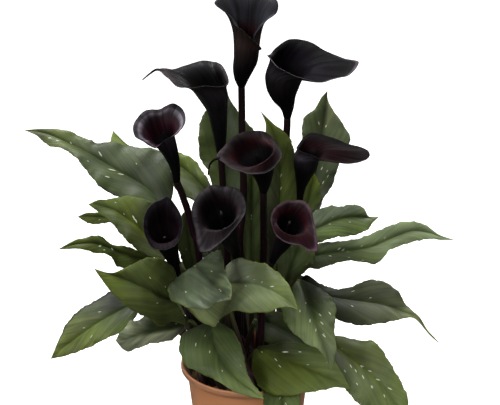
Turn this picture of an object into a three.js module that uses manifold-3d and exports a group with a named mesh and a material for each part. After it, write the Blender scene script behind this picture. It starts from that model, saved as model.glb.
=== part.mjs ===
// A potted calla lily: a round nursery pot with soil, nine funnel flowers and a rosette of broad pointed leaves.
// Millimetres, +Z up. The origin is the centre of the pot's flat underside and +X is the plant's right from the front.
import * as THREE from "three";
import { mergeVertices } from "three/addons/utils/BufferGeometryUtils.js";
import Module from "manifold-3d";

const wasm = await Module();
wasm.setup();
const { Manifold, Mesh: SolidMesh } = wasm;

// Driving dimensions
const POT_HEIGHT = 138.5; // underside to the top of the lip
const LIP_RADIUS = 80; // outside of the lip
const LIP_DROP = 7.5; // height of the rolled lip
const WALL_TOP_RADIUS = 73; // outside of the wall just under the lip
const BASE_RADIUS = 58.5; // outside of the underside
const POT_WALL = 2.4;
const POT_FLOOR = 4;
const SOIL_LEVEL = 118;
const SOIL_MOUND = 2.5; // how far the middle of the soil stands above its edge
const ROOT_DEPTH = 4.5; // how far a stem or leaf stalk goes into the soil
const SOCKET_GAP = 0.4; // gap round a stalk in its socket
const JOINT_GAP = 0.35; // gap between two pieces that meet
const LEAF_HALF = 0.65; // half of a blade's thickness
const LEAF_EDGE_HALF = 0.42;
const LEAF_CAMBER = 0.1;
const STALK_BASE_RADIUS = 3.7;
const STALK_TOP_RADIUS = 2.5;
const STALK_TIP_RADIUS = 0.9;
const SPATHE_WALL = 1.3;
const SPADIX_RADIUS = 3.1;
const TAIL_RADIUS = 1.5; // the curled point of a rim, where it leaves the rim
const TAIL_TIP_RADIUS = 0.5;
const FACET = 0.04; // faces flatter than this are joined

const leafTable = {
  leaf_01: {
    a: [[-96.5,-4.1,329.4],[-111.6,1,333.6],[-128.8,3.5,338.8],[-146.2,8.5,342.4],[-169.3,14.2,353.2],[-183.6,23.8,367.4],[-196.8,33.2,380],[-212.6,42.3,389.8],[-230.9,49,391.3],[-245.4,56.1,401.3],[-261.5,64,406.2]],
    m: [[-93.5,2.1,329.5],[-104.1,10.8,339.8],[-115.9,18.5,349.2],[-131.3,26.7,357.3],[-148.8,31.9,365.9],[-167.6,37.9,375.4],[-185.2,43.3,384.6],[-204.3,50.2,392.2],[-222.1,55.6,399],[-240,60.2,404.3],[-261.5,64,406.2]],
    b: [[-90.2,5.2,330.8],[-86,17.4,345.9],[-86.2,30.5,373],[-101.6,42.2,388],[-128.6,47,390.4],[-154.1,49.7,396],[-174.1,51.2,394.9],[-190.6,55.2,399.1],[-205.9,58.8,405.7],[-230.7,61.9,408.6],[-261.5,64,406.2]],
    p: [[-52.4,-32.6,118],[-58.7,-27.5,142.9],[-88.1,-2.3,324.3],[-93.5,2.1,329.5]],
  },
  leaf_02: {
    a: [[-43.6,13.2,327.8],[-64.8,27.6,332.4],[-79.4,40.4,336.4],[-94.1,55,345],[-110.1,68.5,355.3],[-128.9,81.9,358.4],[-142.8,91.5,362.7],[-164.3,100.3,375.1],[-163.3,112,391]],
    m: [[-39.3,24,327.5],[-51.3,43,340.5],[-64.8,60,349.5],[-79.6,74,357.2],[-97.8,84,365.2],[-117.7,94,367],[-135,101,369.8],[-150.8,106,378.3],[-163.3,112,391]],
    b: [[-35.8,26.6,329],[-45.5,45.6,349.5],[-53,61.5,355.2],[-62.8,73.6,365.5],[-79.7,81.9,372.4],[-98.1,90.8,371.8],[-117.9,97.7,368.9],[-141.2,104,372.6],[-163.3,112,391]],
    p: [[-28,-16.4,118],[-30.2,-9.7,142.6],[-35.3,17.7,323.3],[-39.3,24,327.5]],
  },
  leaf_03: {
    a: [[-22.2,30.5,293.8],[-32.9,45.9,311.9],[-41.4,60,333.2],[-47.4,71.6,353],[-57.1,80,366.5],[-58.8,87.3,391.7],[-55.8,94.7,410.5],[-46.3,101,423.5],[-34.5,107.1,430.5],[-25,112,441.5]],
    m: [[-18.7,32,293.3],[-22.3,48,312.4],[-26,63,332.1],[-28.5,76,350.3],[-31,86,369.6],[-31,94,389.6],[-29.8,101,408.7],[-27.4,106,424.6],[-25.6,110,433.4],[-25,112,441.5]],
    b: [[-15.1,29.7,294.1],[-9.3,44.5,314.9],[-2.2,57.7,337.8],[3.7,69,355.2],[9.6,78.2,377.1],[8.4,86.5,395.6],[-2.3,94.9,408],[-15.4,102.1,423.2],[-22,108.3,432.6],[-25,112,441.5]],
    p: [[2.7,21.2,118],[-4.2,24.8,175.8],[-17.6,27.5,287.9],[-18.7,32,293.3]],
  },
  leaf_04: {
    a: [[30,11,261.3],[24.6,13.2,286.9],[22.2,14,311.5],[22.1,15.3,335.7],[23.1,17.2,359.4],[23,19.2,380.4],[21.8,20.7,397.9],[21.2,22.9,411.5],[20.7,27.7,419.5],[19.6,32.5,426.4],[13.9,37.8,437.3]],
    m: [[32.9,14,260.1],[34,17.6,286.4],[36.2,20.1,310.4],[37.2,22.3,334.3],[37.6,24.3,358.1],[36.9,26,379.4],[34.5,26.7,398.4],[29.8,27.8,413.6],[24.1,31.4,423.8],[19,34.6,431.1],[13.9,37.8,437.3]],
    b: [[35.8,13,260.5],[44.4,16,288.3],[53.5,17.8,313.8],[56.7,19.7,339],[54.8,21.7,361.5],[52.9,23.6,382.6],[49.8,24.4,401.5],[42.3,25.7,414.2],[30.9,29.5,422.5],[23,33.4,429.1],[13.9,37.8,437.3]],
    p: [[25.4,3.6,118],[27.2,7,161.5],[31.7,9.8,229.4],[32.9,14,260.1]],
  },
  leaf_05: {
    a: [[61.3,28.4,282.1],[60.5,43.7,296.3],[59.6,58.1,314.9],[61,70.1,333.4],[62.3,81.4,351],[63.6,89.6,370.9],[64.8,97.1,389.9],[66.5,102.5,408.8],[80.9,106.9,420.6],[86.8,110.4,431.4],[95.1,112,440.8]],
    m: [[64.9,30,281.4],[70,46,297.9],[75.1,61,316.4],[79.6,73,333.6],[83.4,84,352.6],[86.4,92,372.7],[89.4,99,390.6],[91.7,104,407.8],[93.4,108,422.8],[94.4,111,431.9],[95.1,112,440.8]],
    b: [[68.4,29,281.8],[81.7,44.3,303.6],[89.1,57.3,321.6],[100,66.2,336],[107.2,74,356],[115.4,79.7,374.1],[122.1,86.7,388.7],[110.9,94.8,408],[100.3,103.1,421.7],[95.5,109.2,431.1],[95.1,112,440.8]],
    p: [[32.2,18.3,118],[35.7,21,137.6],[63.4,25.5,276.7],[64.9,30,281.4]],
  },
  leaf_06: {
    a: [[56.3,23.6,294],[57.5,30.8,310.1],[62.1,35.6,327],[64.4,39.3,340.6],[67.9,42.4,350.6],[76,45,362]],
    m: [[58.6,24.3,293.8],[63.4,31.6,309.8],[69.2,36.5,325.4],[72.6,40.2,339],[74.9,43,350.4],[76,45,362]],
    b: [[60.9,23.3,294.1],[72.6,29.9,314.2],[83.1,33.8,326.4],[84.7,37.4,341.2],[81.8,41.3,352.2],[76,45,362]],
    p: [[24.2,32.9,118],[28.8,33.1,139.6],[56.8,21.4,287.5],[58.6,24.3,293.8]],
  },
  leaf_07: {
    a: [[61.9,17.8,292.6],[67.7,22.9,308.1],[76,29.5,315.5],[92.7,37.3,321.4],[109.7,44.7,318],[124.1,49.1,319.5],[137.6,52.3,312.7],[142.9,54.8,302.2],[156.4,58,299.7]],
    m: [[64.2,15.3,289.8],[74.7,19.4,297],[86.6,24.7,301.1],[99.8,31.8,304.7],[113.2,39.2,305.6],[126.5,44.3,304.9],[137.7,49.1,302.5],[146.4,53.6,300.1],[156.4,58,299.7]],
    b: [[66.2,7.8,289.1],[80.2,8.6,286.3],[91.8,9.7,289.5],[104.8,14.2,291.5],[118.1,21.2,289.9],[131.6,29,290],[143,38.7,292.5],[148.5,48.6,296.3],[156.4,58,299.7]],
    p: [[38.5,12.6,118],[43,13.4,138.5],[58.7,13.2,286.1],[64.2,15.3,289.8]],
  },
  leaf_08: {
    a: [[61.7,3.8,270.7],[73.3,8.6,282.5],[90.9,13,285.7],[109.7,16,285.8],[126.2,18.8,287.2],[141.5,21.9,291.6],[158.3,27.9,296.7],[176.1,32.3,302.6],[194.3,36.8,302.1],[211.6,40.8,295.5],[226.6,42.1,283.6],[246.3,44,275.8]],
    m: [[63.9,0.6,268.3],[77.9,4.2,271.8],[94.3,7.7,274.1],[111.9,10.4,275.5],[129.6,12.9,276.3],[146,15.5,279.1],[162.8,21.3,284.3],[179.4,26.1,289.9],[196.5,32.1,292],[214,38,287.1],[228.9,41,280.8],[246.3,44,275.8]],
    b: [[64.7,-9.9,265.2],[79.8,-8,260.6],[96.1,-5.5,264.6],[112.3,-3.2,268.6],[130.9,-1.9,266.8],[150.9,0.2,264.6],[165.1,7.5,277.9],[183.1,14.3,282.1],[200.4,22.5,283.8],[215.7,31.5,282.1],[228.6,37.8,278.3],[246.3,44,275.8]],
    p: [[-2.6,-30.8,118],[36.2,-4.3,198.4],[57.6,-1,266.7],[63.9,0.6,268.3]],
  },
  leaf_09: {
    a: [[58.7,3.5,234.1],[67.5,-1.9,251],[85.9,-9.7,241.2],[102.9,-16.8,239.3],[118.5,-21.9,244.7],[134.9,-27,254.5],[151.4,-32.7,257],[168.9,-41.6,249.4],[178.1,-50.4,236.5],[185.3,-57.7,231.2],[193.4,-62.9,225],[202,-68.5,212.2],[209.8,-71.8,204.4],[216.9,-74,196.2]],
    m: [[60.8,-4,229.8],[73.3,-10,229.9],[86.9,-17,230.6],[101.5,-23,230.8],[117.2,-29,231],[132.6,-36,231.7],[148,-42,232],[162.1,-49,230.9],[174,-55,228.1],[183.5,-60,227.3],[192.2,-64,223],[201.1,-69,211.8],[208.9,-72,204],[216.9,-74,196.2]],
    b: [[61.8,-9.7,227.3],[71.9,-18.1,222.2],[83.1,-28.8,215.8],[98.7,-38.3,212],[115.3,-46.4,209.6],[130.6,-53.4,210.4],[146,-57.2,214.2],[161.3,-60.3,218.8],[172.3,-62,222.1],[182.6,-63.5,225.3],[190.4,-65.6,222],[200.1,-69.8,211.3],[208,-72.4,203.4],[216.9,-74,196.2]],
    p: [[8.9,1.5,118],[28.3,-6.3,155.8],[56.3,-1.9,229.7],[60.8,-4,229.8]],
  },
  leaf_10: {
    a: [[62.4,-40.1,260.9],[77.2,-59.7,261],[90.8,-76.1,257.4],[96.8,-89.7,249.2],[95.3,-99.8,237.1],[95.1,-107,224.3],[96.6,-113.5,213.7],[94.9,-118.2,202.7],[90.7,-122,188.3]],
    m: [[58,-38,258.7],[61.8,-57,254.9],[66.3,-73,247.5],[71.3,-87,239.5],[76.4,-98,229],[81.1,-106,218.4],[85.3,-113,208.6],[88.5,-118,199],[90.7,-122,188.3]],
    b: [[53.3,-43.1,259.7],[44.9,-63.6,251.7],[37.8,-80.6,246.2],[39.7,-94.6,238.2],[48.3,-104.7,228],[63.5,-110.7,216.5],[76.4,-115.2,212.1],[85.2,-118.6,200.5],[90.7,-122,188.3]],
    p: [[50.7,33.8,118],[52.1,23,133.5],[56.8,-31.9,259.9],[58,-38,258.7]],
  },
  leaf_11: {
    a: [[88.2,-30,188.3],[105.8,-41.6,191.4],[125.8,-50.1,190.6],[143.3,-58.3,192.8],[156.3,-68.8,180.4],[165.1,-80.9,167.8],[174.4,-93.1,154.8],[179.1,-104.9,142.4],[176.7,-115.5,130.7],[174.1,-124,116.7]],
    m: [[85.7,-34,185.1],[97.7,-47,182.7],[110.8,-58,176.8],[123.9,-68,169.9],[136.3,-78,162.5],[148,-88,154.5],[158.5,-98,146.1],[166.7,-108,136.6],[171.1,-117,127.8],[174.1,-124,116.7]],
    b: [[81.8,-41.7,185.1],[91.4,-58.5,174.5],[97.5,-74.3,164.9],[105.8,-87.8,155.7],[114.2,-99.7,147],[126,-109,138.4],[141.2,-114.8,132.8],[158.6,-118.3,132.3],[167.3,-121.3,126.5],[174.1,-124,116.7]],
    p: [[20.3,-3.1,118],[28.5,-7.6,125.2],[83.1,-31.1,185.7],[85.7,-34,185.1]],
  },
  leaf_12: {
    a: [[11.7,-48.2,182],[25.2,-57.3,187.9],[40.9,-63.8,194.9],[58.8,-69.9,196.7],[76.5,-76.8,195.2],[90.7,-84.7,189.2],[100.5,-92.1,179.3],[106.8,-100.6,170.7],[113.2,-108,159.1]],
    m: [[10.5,-51,178.3],[21.8,-61.4,180.4],[35.3,-69.8,179.7],[48.6,-77,177.1],[61.9,-83.6,174.2],[75.1,-90.1,171.4],[88.3,-95.6,167.4],[100.2,-102.3,164.8],[113.2,-108,159.1]],
    b: [[5.9,-58.1,176.9],[4.8,-74.4,167.5],[11.5,-91,154.9],[27,-102.8,150],[46.9,-108.2,151.1],[66.7,-109.3,155.5],[84.5,-108,157.9],[97.7,-108.2,161.1],[113.2,-108,159.1]],
    p: [[-10.5,-23.2,118],[-6.8,-28.8,129.4],[8.5,-49.1,177.9],[10.5,-51,178.3]],
  },
  leaf_13: {
    a: [[31.3,-49.3,163.3],[46.7,-73.7,162.1],[56.2,-94.2,155.4],[58,-110.4,145.5],[55.5,-121.9,134.4],[51,-127,122.3],[42.3,-130,103.9]],
    m: [[27.8,-47.5,161.1],[32,-70.9,156.8],[36.2,-90.5,149.6],[39.2,-106.7,142.1],[41.2,-119.2,132.9],[42.3,-125.6,121.5],[42.3,-130,103.9]],
    b: [[24.4,-48.7,161.8],[19.5,-73,154.1],[17.1,-93.4,148.6],[18,-109.9,141.4],[23.5,-122.2,132.1],[31.2,-127.5,120.1],[42.3,-130,103.9]],
    p: [[7.5,-17.6,118],[9.9,-21.8,122.7],[27.5,-45.3,161.5],[27.8,-47.5,161.1]],
  },
  leaf_14: {
    a: [[-36,-53.1,216],[-17.6,-75.1,215.4],[-8,-94.4,206.5],[-3.5,-108,197.5],[-1.3,-117.2,186.4],[4.1,-123.7,176.9],[10.7,-129.2,170.7],[15,-133.6,166.4],[18.2,-136,162.2]],
    m: [[-41.9,-48,212.3],[-39.7,-67,206.5],[-36.5,-83,199.5],[-30.7,-96,191.9],[-22.8,-107,184],[-12.8,-116,176.5],[-1.9,-124,170.4],[8.5,-131,166.2],[18.2,-136,162.2]],
    b: [[-48.8,-45.6,209.9],[-71.9,-63.6,206.1],[-76.9,-80.2,195.6],[-68.6,-95.1,181.5],[-51.5,-107.1,177.9],[-33.7,-116.3,173.6],[-16.1,-124.6,165.7],[1.4,-131.6,162.6],[18.2,-136,162.2]],
    p: [[-16.7,-29.7,118],[-20.9,-30,147.4],[-42.3,-44.2,213.4],[-41.9,-48,212.3]],
  },
  leaf_15: {
    a: [[-55.9,-42.1,282.6],[-40.8,-53,298.6],[-30.4,-65.4,307.9],[-25.8,-81.9,300.6],[-23.3,-100.5,294.5],[-19.3,-116.1,292],[-16.5,-128.7,288.3],[-17.5,-138,282.1]],
    m: [[-58.9,-50,282.3],[-52.7,-66,282.5],[-46.1,-82,282.9],[-39.7,-96,282.5],[-34,-109,282.4],[-28.4,-120,282.1],[-22.9,-130,282],[-17.5,-138,282.1]],
    b: [[-63.4,-50.9,280.2],[-79.3,-67.3,275.3],[-86.5,-86.7,270.7],[-81.6,-107.2,266.9],[-64.6,-125.1,266.3],[-47.2,-134.4,268.3],[-34.3,-137.6,277.4],[-17.5,-138,282.1]],
    p: [[-24.7,-25.3,118],[-31.7,-26.2,144.7],[-61.4,-43.7,282.2],[-58.9,-50,282.3]],
  },
  leaf_16: {
    a: [[-24.6,-35.1,275.9],[-16.5,-44.9,287.4],[-5.3,-53.9,293],[5.8,-63.4,293.4],[16.8,-71.5,295],[26.5,-81.6,293.4],[36.1,-92.1,289.7],[43.9,-104,283.7],[49.6,-115.7,274.9],[53.5,-128,265.3]],
    m: [[-21,-52.9,261.6],[-13.1,-63.1,267.4],[-4.1,-71.7,271.2],[4.7,-80.1,273.7],[13.4,-87.1,274.4],[22,-95.7,274.7],[30.5,-103.9,273.6],[39,-112.4,271.6],[46.3,-120.1,268.7],[53.5,-128,265.3]],
    b: [[-69.6,-35.4,222.6],[-53.8,-60.8,219.7],[-37.3,-85.4,224.7],[-30.2,-99.3,241.7],[-14.8,-106.5,252.3],[4.7,-115,255.1],[21.8,-120.8,259.6],[35.6,-123.7,265.1],[45.1,-125.3,266.8],[53.5,-128,265.3]],
    p: [[-19.6,-17.1,118],[-22.7,-20.9,135.1],[-24.4,-48.6,259.2],[-21,-52.9,261.6]],
  },
  leaf_17: {
    a: [[-69.8,-58.4,213.5],[-84.2,-77.2,226.3],[-96.2,-95.8,229.8],[-107.4,-102.1,243.1],[-119.3,-101.7,248.2],[-132.4,-98.1,255.5],[-145.4,-94.3,267.5],[-156.4,-89.2,278.9],[-167.2,-84,293.8]],
    m: [[-85.1,-56.8,242.5],[-94.1,-69.9,253.4],[-104.1,-80.3,264.2],[-114.9,-80.9,269.8],[-125.9,-79.1,274.4],[-136.8,-78.2,278.8],[-147.4,-79.7,283.7],[-156.8,-81.5,288.6],[-167.2,-84,293.8]],
    b: [[-81,-43.3,257.4],[-80.1,-54.2,274.4],[-85.8,-63.7,290.5],[-97.6,-66.1,298.7],[-111.8,-67.4,299.2],[-126.1,-69.7,293.1],[-137.9,-74.5,289.1],[-149.6,-79.1,285.4],[-167.2,-84,293.8]],
    p: [[-29.9,-34.2,118],[-36.7,-38,132.6],[-82.5,-53,239.4],[-85.1,-56.8,242.5]],
  },
  leaf_18: {
    a: [[-122.8,-41,225.3],[-128.7,-48.6,216.3],[-134.6,-55.5,209.6],[-147.9,-60.7,203.4],[-161.3,-64,198.1],[-176.1,-65.3,190.6],[-192.3,-65.4,183.3],[-206.2,-64.9,178],[-224.5,-62,172.5]],
    m: [[-125.8,-32,228.6],[-138,-37,225.9],[-149.2,-41,221.5],[-161.5,-45,215.8],[-173.9,-49,209],[-186.4,-52,201],[-198.9,-55,192.4],[-210.1,-59,184.9],[-224.5,-62,172.5]],
    b: [[-130.7,-25.9,232.1],[-144,-28.4,239.5],[-157.6,-29.6,241.3],[-172.4,-32.6,233.3],[-185.9,-36.8,227.1],[-197.2,-40.7,218.8],[-207.3,-45.8,208.7],[-214.3,-53.8,194.9],[-224.5,-62,172.5]],
    p: [[-26.2,20.8,118],[-39.5,14.3,129.7],[-120,-29.7,229.9],[-125.8,-32,228.6]],
  },
  leaf_19: {
    a: [[-64,-40.4,203.5],[-76.2,-48,199],[-86.1,-56.9,193.9],[-99.3,-63.3,194],[-112.5,-68.1,193.9],[-122.2,-73.9,192.4],[-132.6,-78.1,190.2],[-140,-81.4,195],[-147.3,-82,205.8]],
    m: [[-66.2,-40,209.7],[-80.6,-48,207.2],[-93.7,-57,207.8],[-106.9,-63,208.3],[-117.8,-67,207.1],[-127,-72,205.8],[-134.5,-76,204.7],[-140.9,-80,204.8],[-147.3,-82,205.8]],
    b: [[-67.5,-33.6,212.9],[-84.3,-39.6,218.3],[-99.7,-46.4,222.8],[-111.8,-51.5,225.8],[-122.9,-55.8,218.5],[-131.4,-61.7,220.7],[-137.7,-67.9,215],[-143.3,-75.6,211.9],[-147.3,-82,205.8]],
    p: [[11.9,-51.6,118],[1.3,-51.5,127.9],[-62,-37.7,210.4],[-66.2,-40,209.7]],
  },
  leaf_20: {
    a: [[-92.9,-40.9,285.7],[-110,-36.5,288.1],[-124.9,-31.3,294.5],[-136.3,-27.2,303.2],[-145.7,-20.1,311.3],[-155.1,-13.1,320.1],[-167.3,-3.3,326.1],[-176.6,8.8,328.5],[-184.8,20.2,329.6]],
    m: [[-91.2,-32.4,288.2],[-103.8,-25.3,297.5],[-115.5,-17.2,306.5],[-127,-12.1,315.5],[-138.7,-5.9,322.8],[-151.4,-1.2,329.6],[-164.6,5.4,332],[-175.9,13.5,332],[-184.8,20.2,329.6]],
    b: [[-87.9,-28,292.5],[-85.8,-19.1,310.9],[-92.9,-8.5,327.4],[-105.5,-2.2,338.4],[-121.7,3.1,343.8],[-137.8,5.1,345.5],[-155.5,8.6,340.9],[-171.2,14.6,337.4],[-184.8,20.2,329.6]],
    p: [[21.9,10.8,118],[-40.6,-9.5,222],[-83.6,-36.6,282.7],[-91.2,-32.4,288.2]],
  },
  leaf_21: {
    a: [[-123.4,6.1,296],[-140.6,18.9,299.6],[-158,30.7,302.6],[-170.8,39.2,298.9],[-185.1,48.3,294.1],[-195.6,56.7,295.1],[-204.5,66,297.3]],
    m: [[-121.5,12,298.6],[-137.5,25,304.2],[-155,37,305.8],[-169,46,303.6],[-183.2,55,300.8],[-194.7,61,299.2],[-204.5,66,297.3]],
    b: [[-119.3,15,302.4],[-135.3,28,311.1],[-151.5,39.7,313],[-166.6,48,309.8],[-180.8,56.3,306.1],[-192.2,61.7,303.7],[-204.5,66,297.3]],
    p: [[-31.4,-2.1,118],[-43.2,1.4,138.9],[-115.4,7.1,296.5],[-121.5,12,298.6]],
  },
  leaf_22: {
    a: [[-111.5,-22.7,270.7],[-126.9,-28.8,272],[-140,-34.6,272.6],[-148.6,-36.8,277.9],[-153.5,-37.6,288],[-161.3,-39.4,292.4],[-173.2,-42,295.3],[-185.1,-43.8,299.9],[-196.3,-43.6,300.2],[-212.4,-44,299.7]],
    m: [[-109.7,-16,272.8],[-121.8,-20,278.2],[-133.8,-24,283.5],[-144.7,-27,288.5],[-153.2,-30,294],[-162.8,-33,299.5],[-173.6,-36,303.7],[-184.4,-39,304.6],[-196.4,-41,303.6],[-212.4,-44,299.7]],
    b: [[-107.6,-12.1,276.1],[-116.3,-15.5,283.7],[-129.5,-19.1,290.1],[-140.3,-22.5,295.8],[-151.2,-26.2,297.9],[-165.1,-29.5,309.5],[-173.6,-32.4,311.9],[-183.4,-35.8,310.3],[-194.2,-39,308.6],[-212.4,-44,299.7]],
    p: [[-50.5,-14.6,118],[-59,-15.7,136.4],[-103.9,-14.1,270.2],[-109.7,-16,272.8]],
  },
  leaf_23: {
    a: [[41.7,-14.3,243.2],[33.5,-13,264],[31.2,-10.8,275.5],[38.1,-7.1,282.7],[46.2,-3.6,291.2],[56.6,0.6,298.2],[67,5,306.3]],
    m: [[44.1,-13,243.9],[47.5,-11,256.9],[52,-8,268.1],[56.7,-4,278.9],[60.1,-1,288.9],[63.5,2,297.6],[67,5,306.3]],
    b: [[46.3,-15.3,244.9],[61.2,-14.8,256],[70.3,-13.7,263.7],[76.1,-10.5,271.7],[76,-6.5,283.7],[71.5,-1.1,293.9],[67,5,306.3]],
    p: [[20.1,-25.9,118],[23,-24.3,133.1],[42.8,-13.8,239],[44.1,-13,243.9]],
  },
  leaf_24: {
    a: [[1.3,16.9,238.4],[-2.2,19.6,262.8],[-5.7,22.2,282],[-5.1,25.2,301],[-3.3,28.5,320.9],[-1.6,31.9,340.7],[0.2,35.3,356.8],[1.3,37.6,368.2],[2.5,40,379.6]],
    m: [[4.9,18,237.9],[4.9,21.1,259.6],[4.8,24.2,279.9],[4.8,27.3,300.1],[4.8,30.4,320.2],[4.8,33.3,339],[4.8,36.2,355.2],[3.7,38.1,368.1],[2.5,40,379.6]],
    b: [[8.4,16.6,238.5],[13.1,19.1,260.4],[16.6,21.6,279.7],[17.7,24.3,300],[16.5,27.7,320],[14.1,31.1,339.8],[10.6,34.8,355.7],[6.6,37.4,368.3],[2.5,40,379.6]],
    p: [[3.5,11.6,118],[3.8,12.5,132.4],[4.9,17.3,233.2],[4.9,18,237.9]],
  },
  leaf_25: {
    a: [[-61.6,-1.9,237.7],[-71.9,1.2,255.4],[-78.6,3.1,273.5],[-81.9,5.7,289.9],[-80.6,8.4,306.2],[-77.1,12,318.5],[-70.2,15,325.9]],
    m: [[-59.3,0,236.9],[-62.7,4,254.2],[-66.1,7,271.9],[-68.3,10,289.4],[-69.8,12,306.1],[-70.3,14,317.7],[-70.2,15,325.9]],
    b: [[-57,-0.7,237.2],[-53.4,3.1,254.6],[-55.6,5.9,273.6],[-56.6,8.9,292.4],[-59.9,11.1,308.9],[-63.3,13.4,319.1],[-70.2,15,325.9]],
    p: [[-52.8,21.3,118],[-55.7,13.9,167.1],[-58.4,-1.1,232.3],[-59.3,0,236.9]],
  },
  leaf_26: {
    a: [[-19.4,-23.7,223.5],[-11.5,-15,209.3],[-8.6,-12.7,194],[-9.2,-10.9,178.9],[-11.7,-9.8,162.7]],
    m: [[-22.9,-21.3,221.1],[-22,-12.6,205.6],[-19.8,-10.8,191.8],[-17.5,-9.9,178.4],[-11.7,-9.8,162.7]],
    b: [[-26.3,-23.4,220.8],[-32.4,-15.5,204.4],[-32.6,-14.3,190.9],[-26.9,-12.3,177],[-11.7,-9.8,162.7]],
    p: [[9.5,-61,118],[8,-61.5,133.1],[-23.2,-23.5,225.1],[-22.9,-21.3,221.1]],
  },
  leaf_27: {
    a: [[11.8,-18.5,205.8],[28,-19.5,212.6],[44.1,-24,212.2],[58.7,-35.8,208.9],[69.8,-47.6,202],[76.3,-57.2,196.6],[81.8,-66,182.1]],
    m: [[9.5,-21.4,202.1],[21.1,-22.7,200.1],[32.6,-26.6,196.9],[43.9,-36.8,195.4],[56.2,-47.4,193],[67.3,-56.9,190.2],[81.8,-66,182.1]],
    b: [[6,-29.8,201],[11.7,-34.6,189.3],[20.9,-42.6,183],[35.6,-54.1,182.4],[51.3,-62,182.6],[64.8,-65.2,183],[81.8,-66,182.1]],
    p: [[-13.2,1.3,118],[-9.2,-1.4,127.6],[5.9,-21,202.6],[9.5,-21.4,202.1]],
  },
  leaf_28: {
    a: [[-35.3,23.5,253.5],[-52.2,36,255.9],[-74.2,49.4,258.1],[-99,64.4,263.7],[-121.8,81.6,271.2],[-140,98.8,281.5],[-154.8,116.1,293.5],[-162.2,132.9,304.6],[-169.7,150,319.8]],
    m: [[-36.6,30,253.3],[-51.2,46,262.1],[-69.9,64,267.7],[-90.1,82,273.6],[-111.9,100,281.1],[-131.3,116,290.9],[-147.1,130,301.6],[-159,141,311],[-169.7,150,319.8]],
    b: [[-37.9,35.3,253.7],[-47.9,54.4,267.7],[-64.2,76.7,278.3],[-88.2,96.8,286.3],[-108.8,113.8,291.7],[-127,127.3,300],[-141.3,138.3,310.6],[-153,145.6,316],[-169.7,150,319.8]],
    p: [[-18.2,11.4,118],[-21.6,14.6,133.9],[-33.1,26.2,251.2],[-36.6,30,253.3]],
  },
  leaf_29: {
    a: [[35.8,32.6,240.6],[53.1,43.2,216.4],[73.2,53.4,191.9],[93.8,65.9,171.2],[116.3,80.7,154.6],[137.9,96.9,142.7],[157.3,113.8,138.8],[171.7,131.4,141.8],[184.9,149,149.3]],
    m: [[36,40,241.3],[53.4,54,222.2],[73.7,69,203.6],[95.9,85,185.5],[118.5,101,170],[140.3,116,157.5],[158.3,129,151.5],[172.3,140,149.2],[184.9,149,149.3]],
    b: [[35.8,35,247.3],[54.4,52.5,232],[76.3,74,212],[98.8,95.7,193],[121.8,114.8,177.6],[143.6,131,171.7],[161.7,141.9,162.5],[174.1,147.3,154.4],[184.9,149,149.3]],
    p: [[39.9,47.3,118],[40.8,47.5,132.8],[33.1,37.6,244.5],[36,40,241.3]],
  },
  leaf_30: {
    a: [[-40.2,19.6,217.8],[-58.6,31.5,205.9],[-77.8,44,176.2],[-100.9,62,174.4],[-123.4,83.4,175.3],[-144,104.5,172.5],[-159.9,125.2,172.9],[-169.4,146,179.1]],
    m: [[-40.5,28,217.9],[-57.9,46,209.9],[-78.4,66,200.9],[-99.5,86,193.2],[-120.8,104,187.9],[-139.9,120,183.6],[-155.3,134,180.2],[-169.4,146,179.1]],
    b: [[-40.7,36.7,218],[-57.3,61.6,213.5],[-74.2,90.4,227.8],[-95.6,112.7,215.6],[-118.3,126.3,201.6],[-137.1,136,194.7],[-152,142.8,187.5],[-169.4,146,179.1]],
    p: [[-48.1,38.7,118],[-48.2,38.3,130.1],[-37.8,25.2,219.2],[-40.5,28,217.9]],
  },
  leaf_31: {
    a: [[-8.1,31.4,268.1],[-22.4,38,279.4],[-38.3,58.7,277.6],[-45.7,96.9,254.5],[-46.9,129.5,227.8],[-42.6,148.1,195],[-35.4,159.1,161.9],[-24,167.6,127.8],[-8.2,173,100.3],[7.9,174,83.5]],
    m: [[-5.8,36,266.2],[-5.8,46,280.1],[-4.7,60,283.5],[-2.4,80,273.1],[0,102,251.1],[2.5,124,216.3],[3.8,142,179.4],[5.1,156,143.3],[6.5,167,109.1],[7.9,174,83.5]],
    b: [[-3.4,30.3,268.5],[10.8,36.7,280],[27.6,55.8,280.1],[33.2,90.8,259.6],[39,121,234],[41,140,201.3],[37.6,153.1,167.5],[31.5,163.4,132.6],[21.1,170.7,104.3],[7.9,174,83.5]],
    p: [[-9.1,31,118],[-8.7,32.7,135.9],[-5.8,32.5,261.4],[-5.8,36,266.2]],
  },
};

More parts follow.
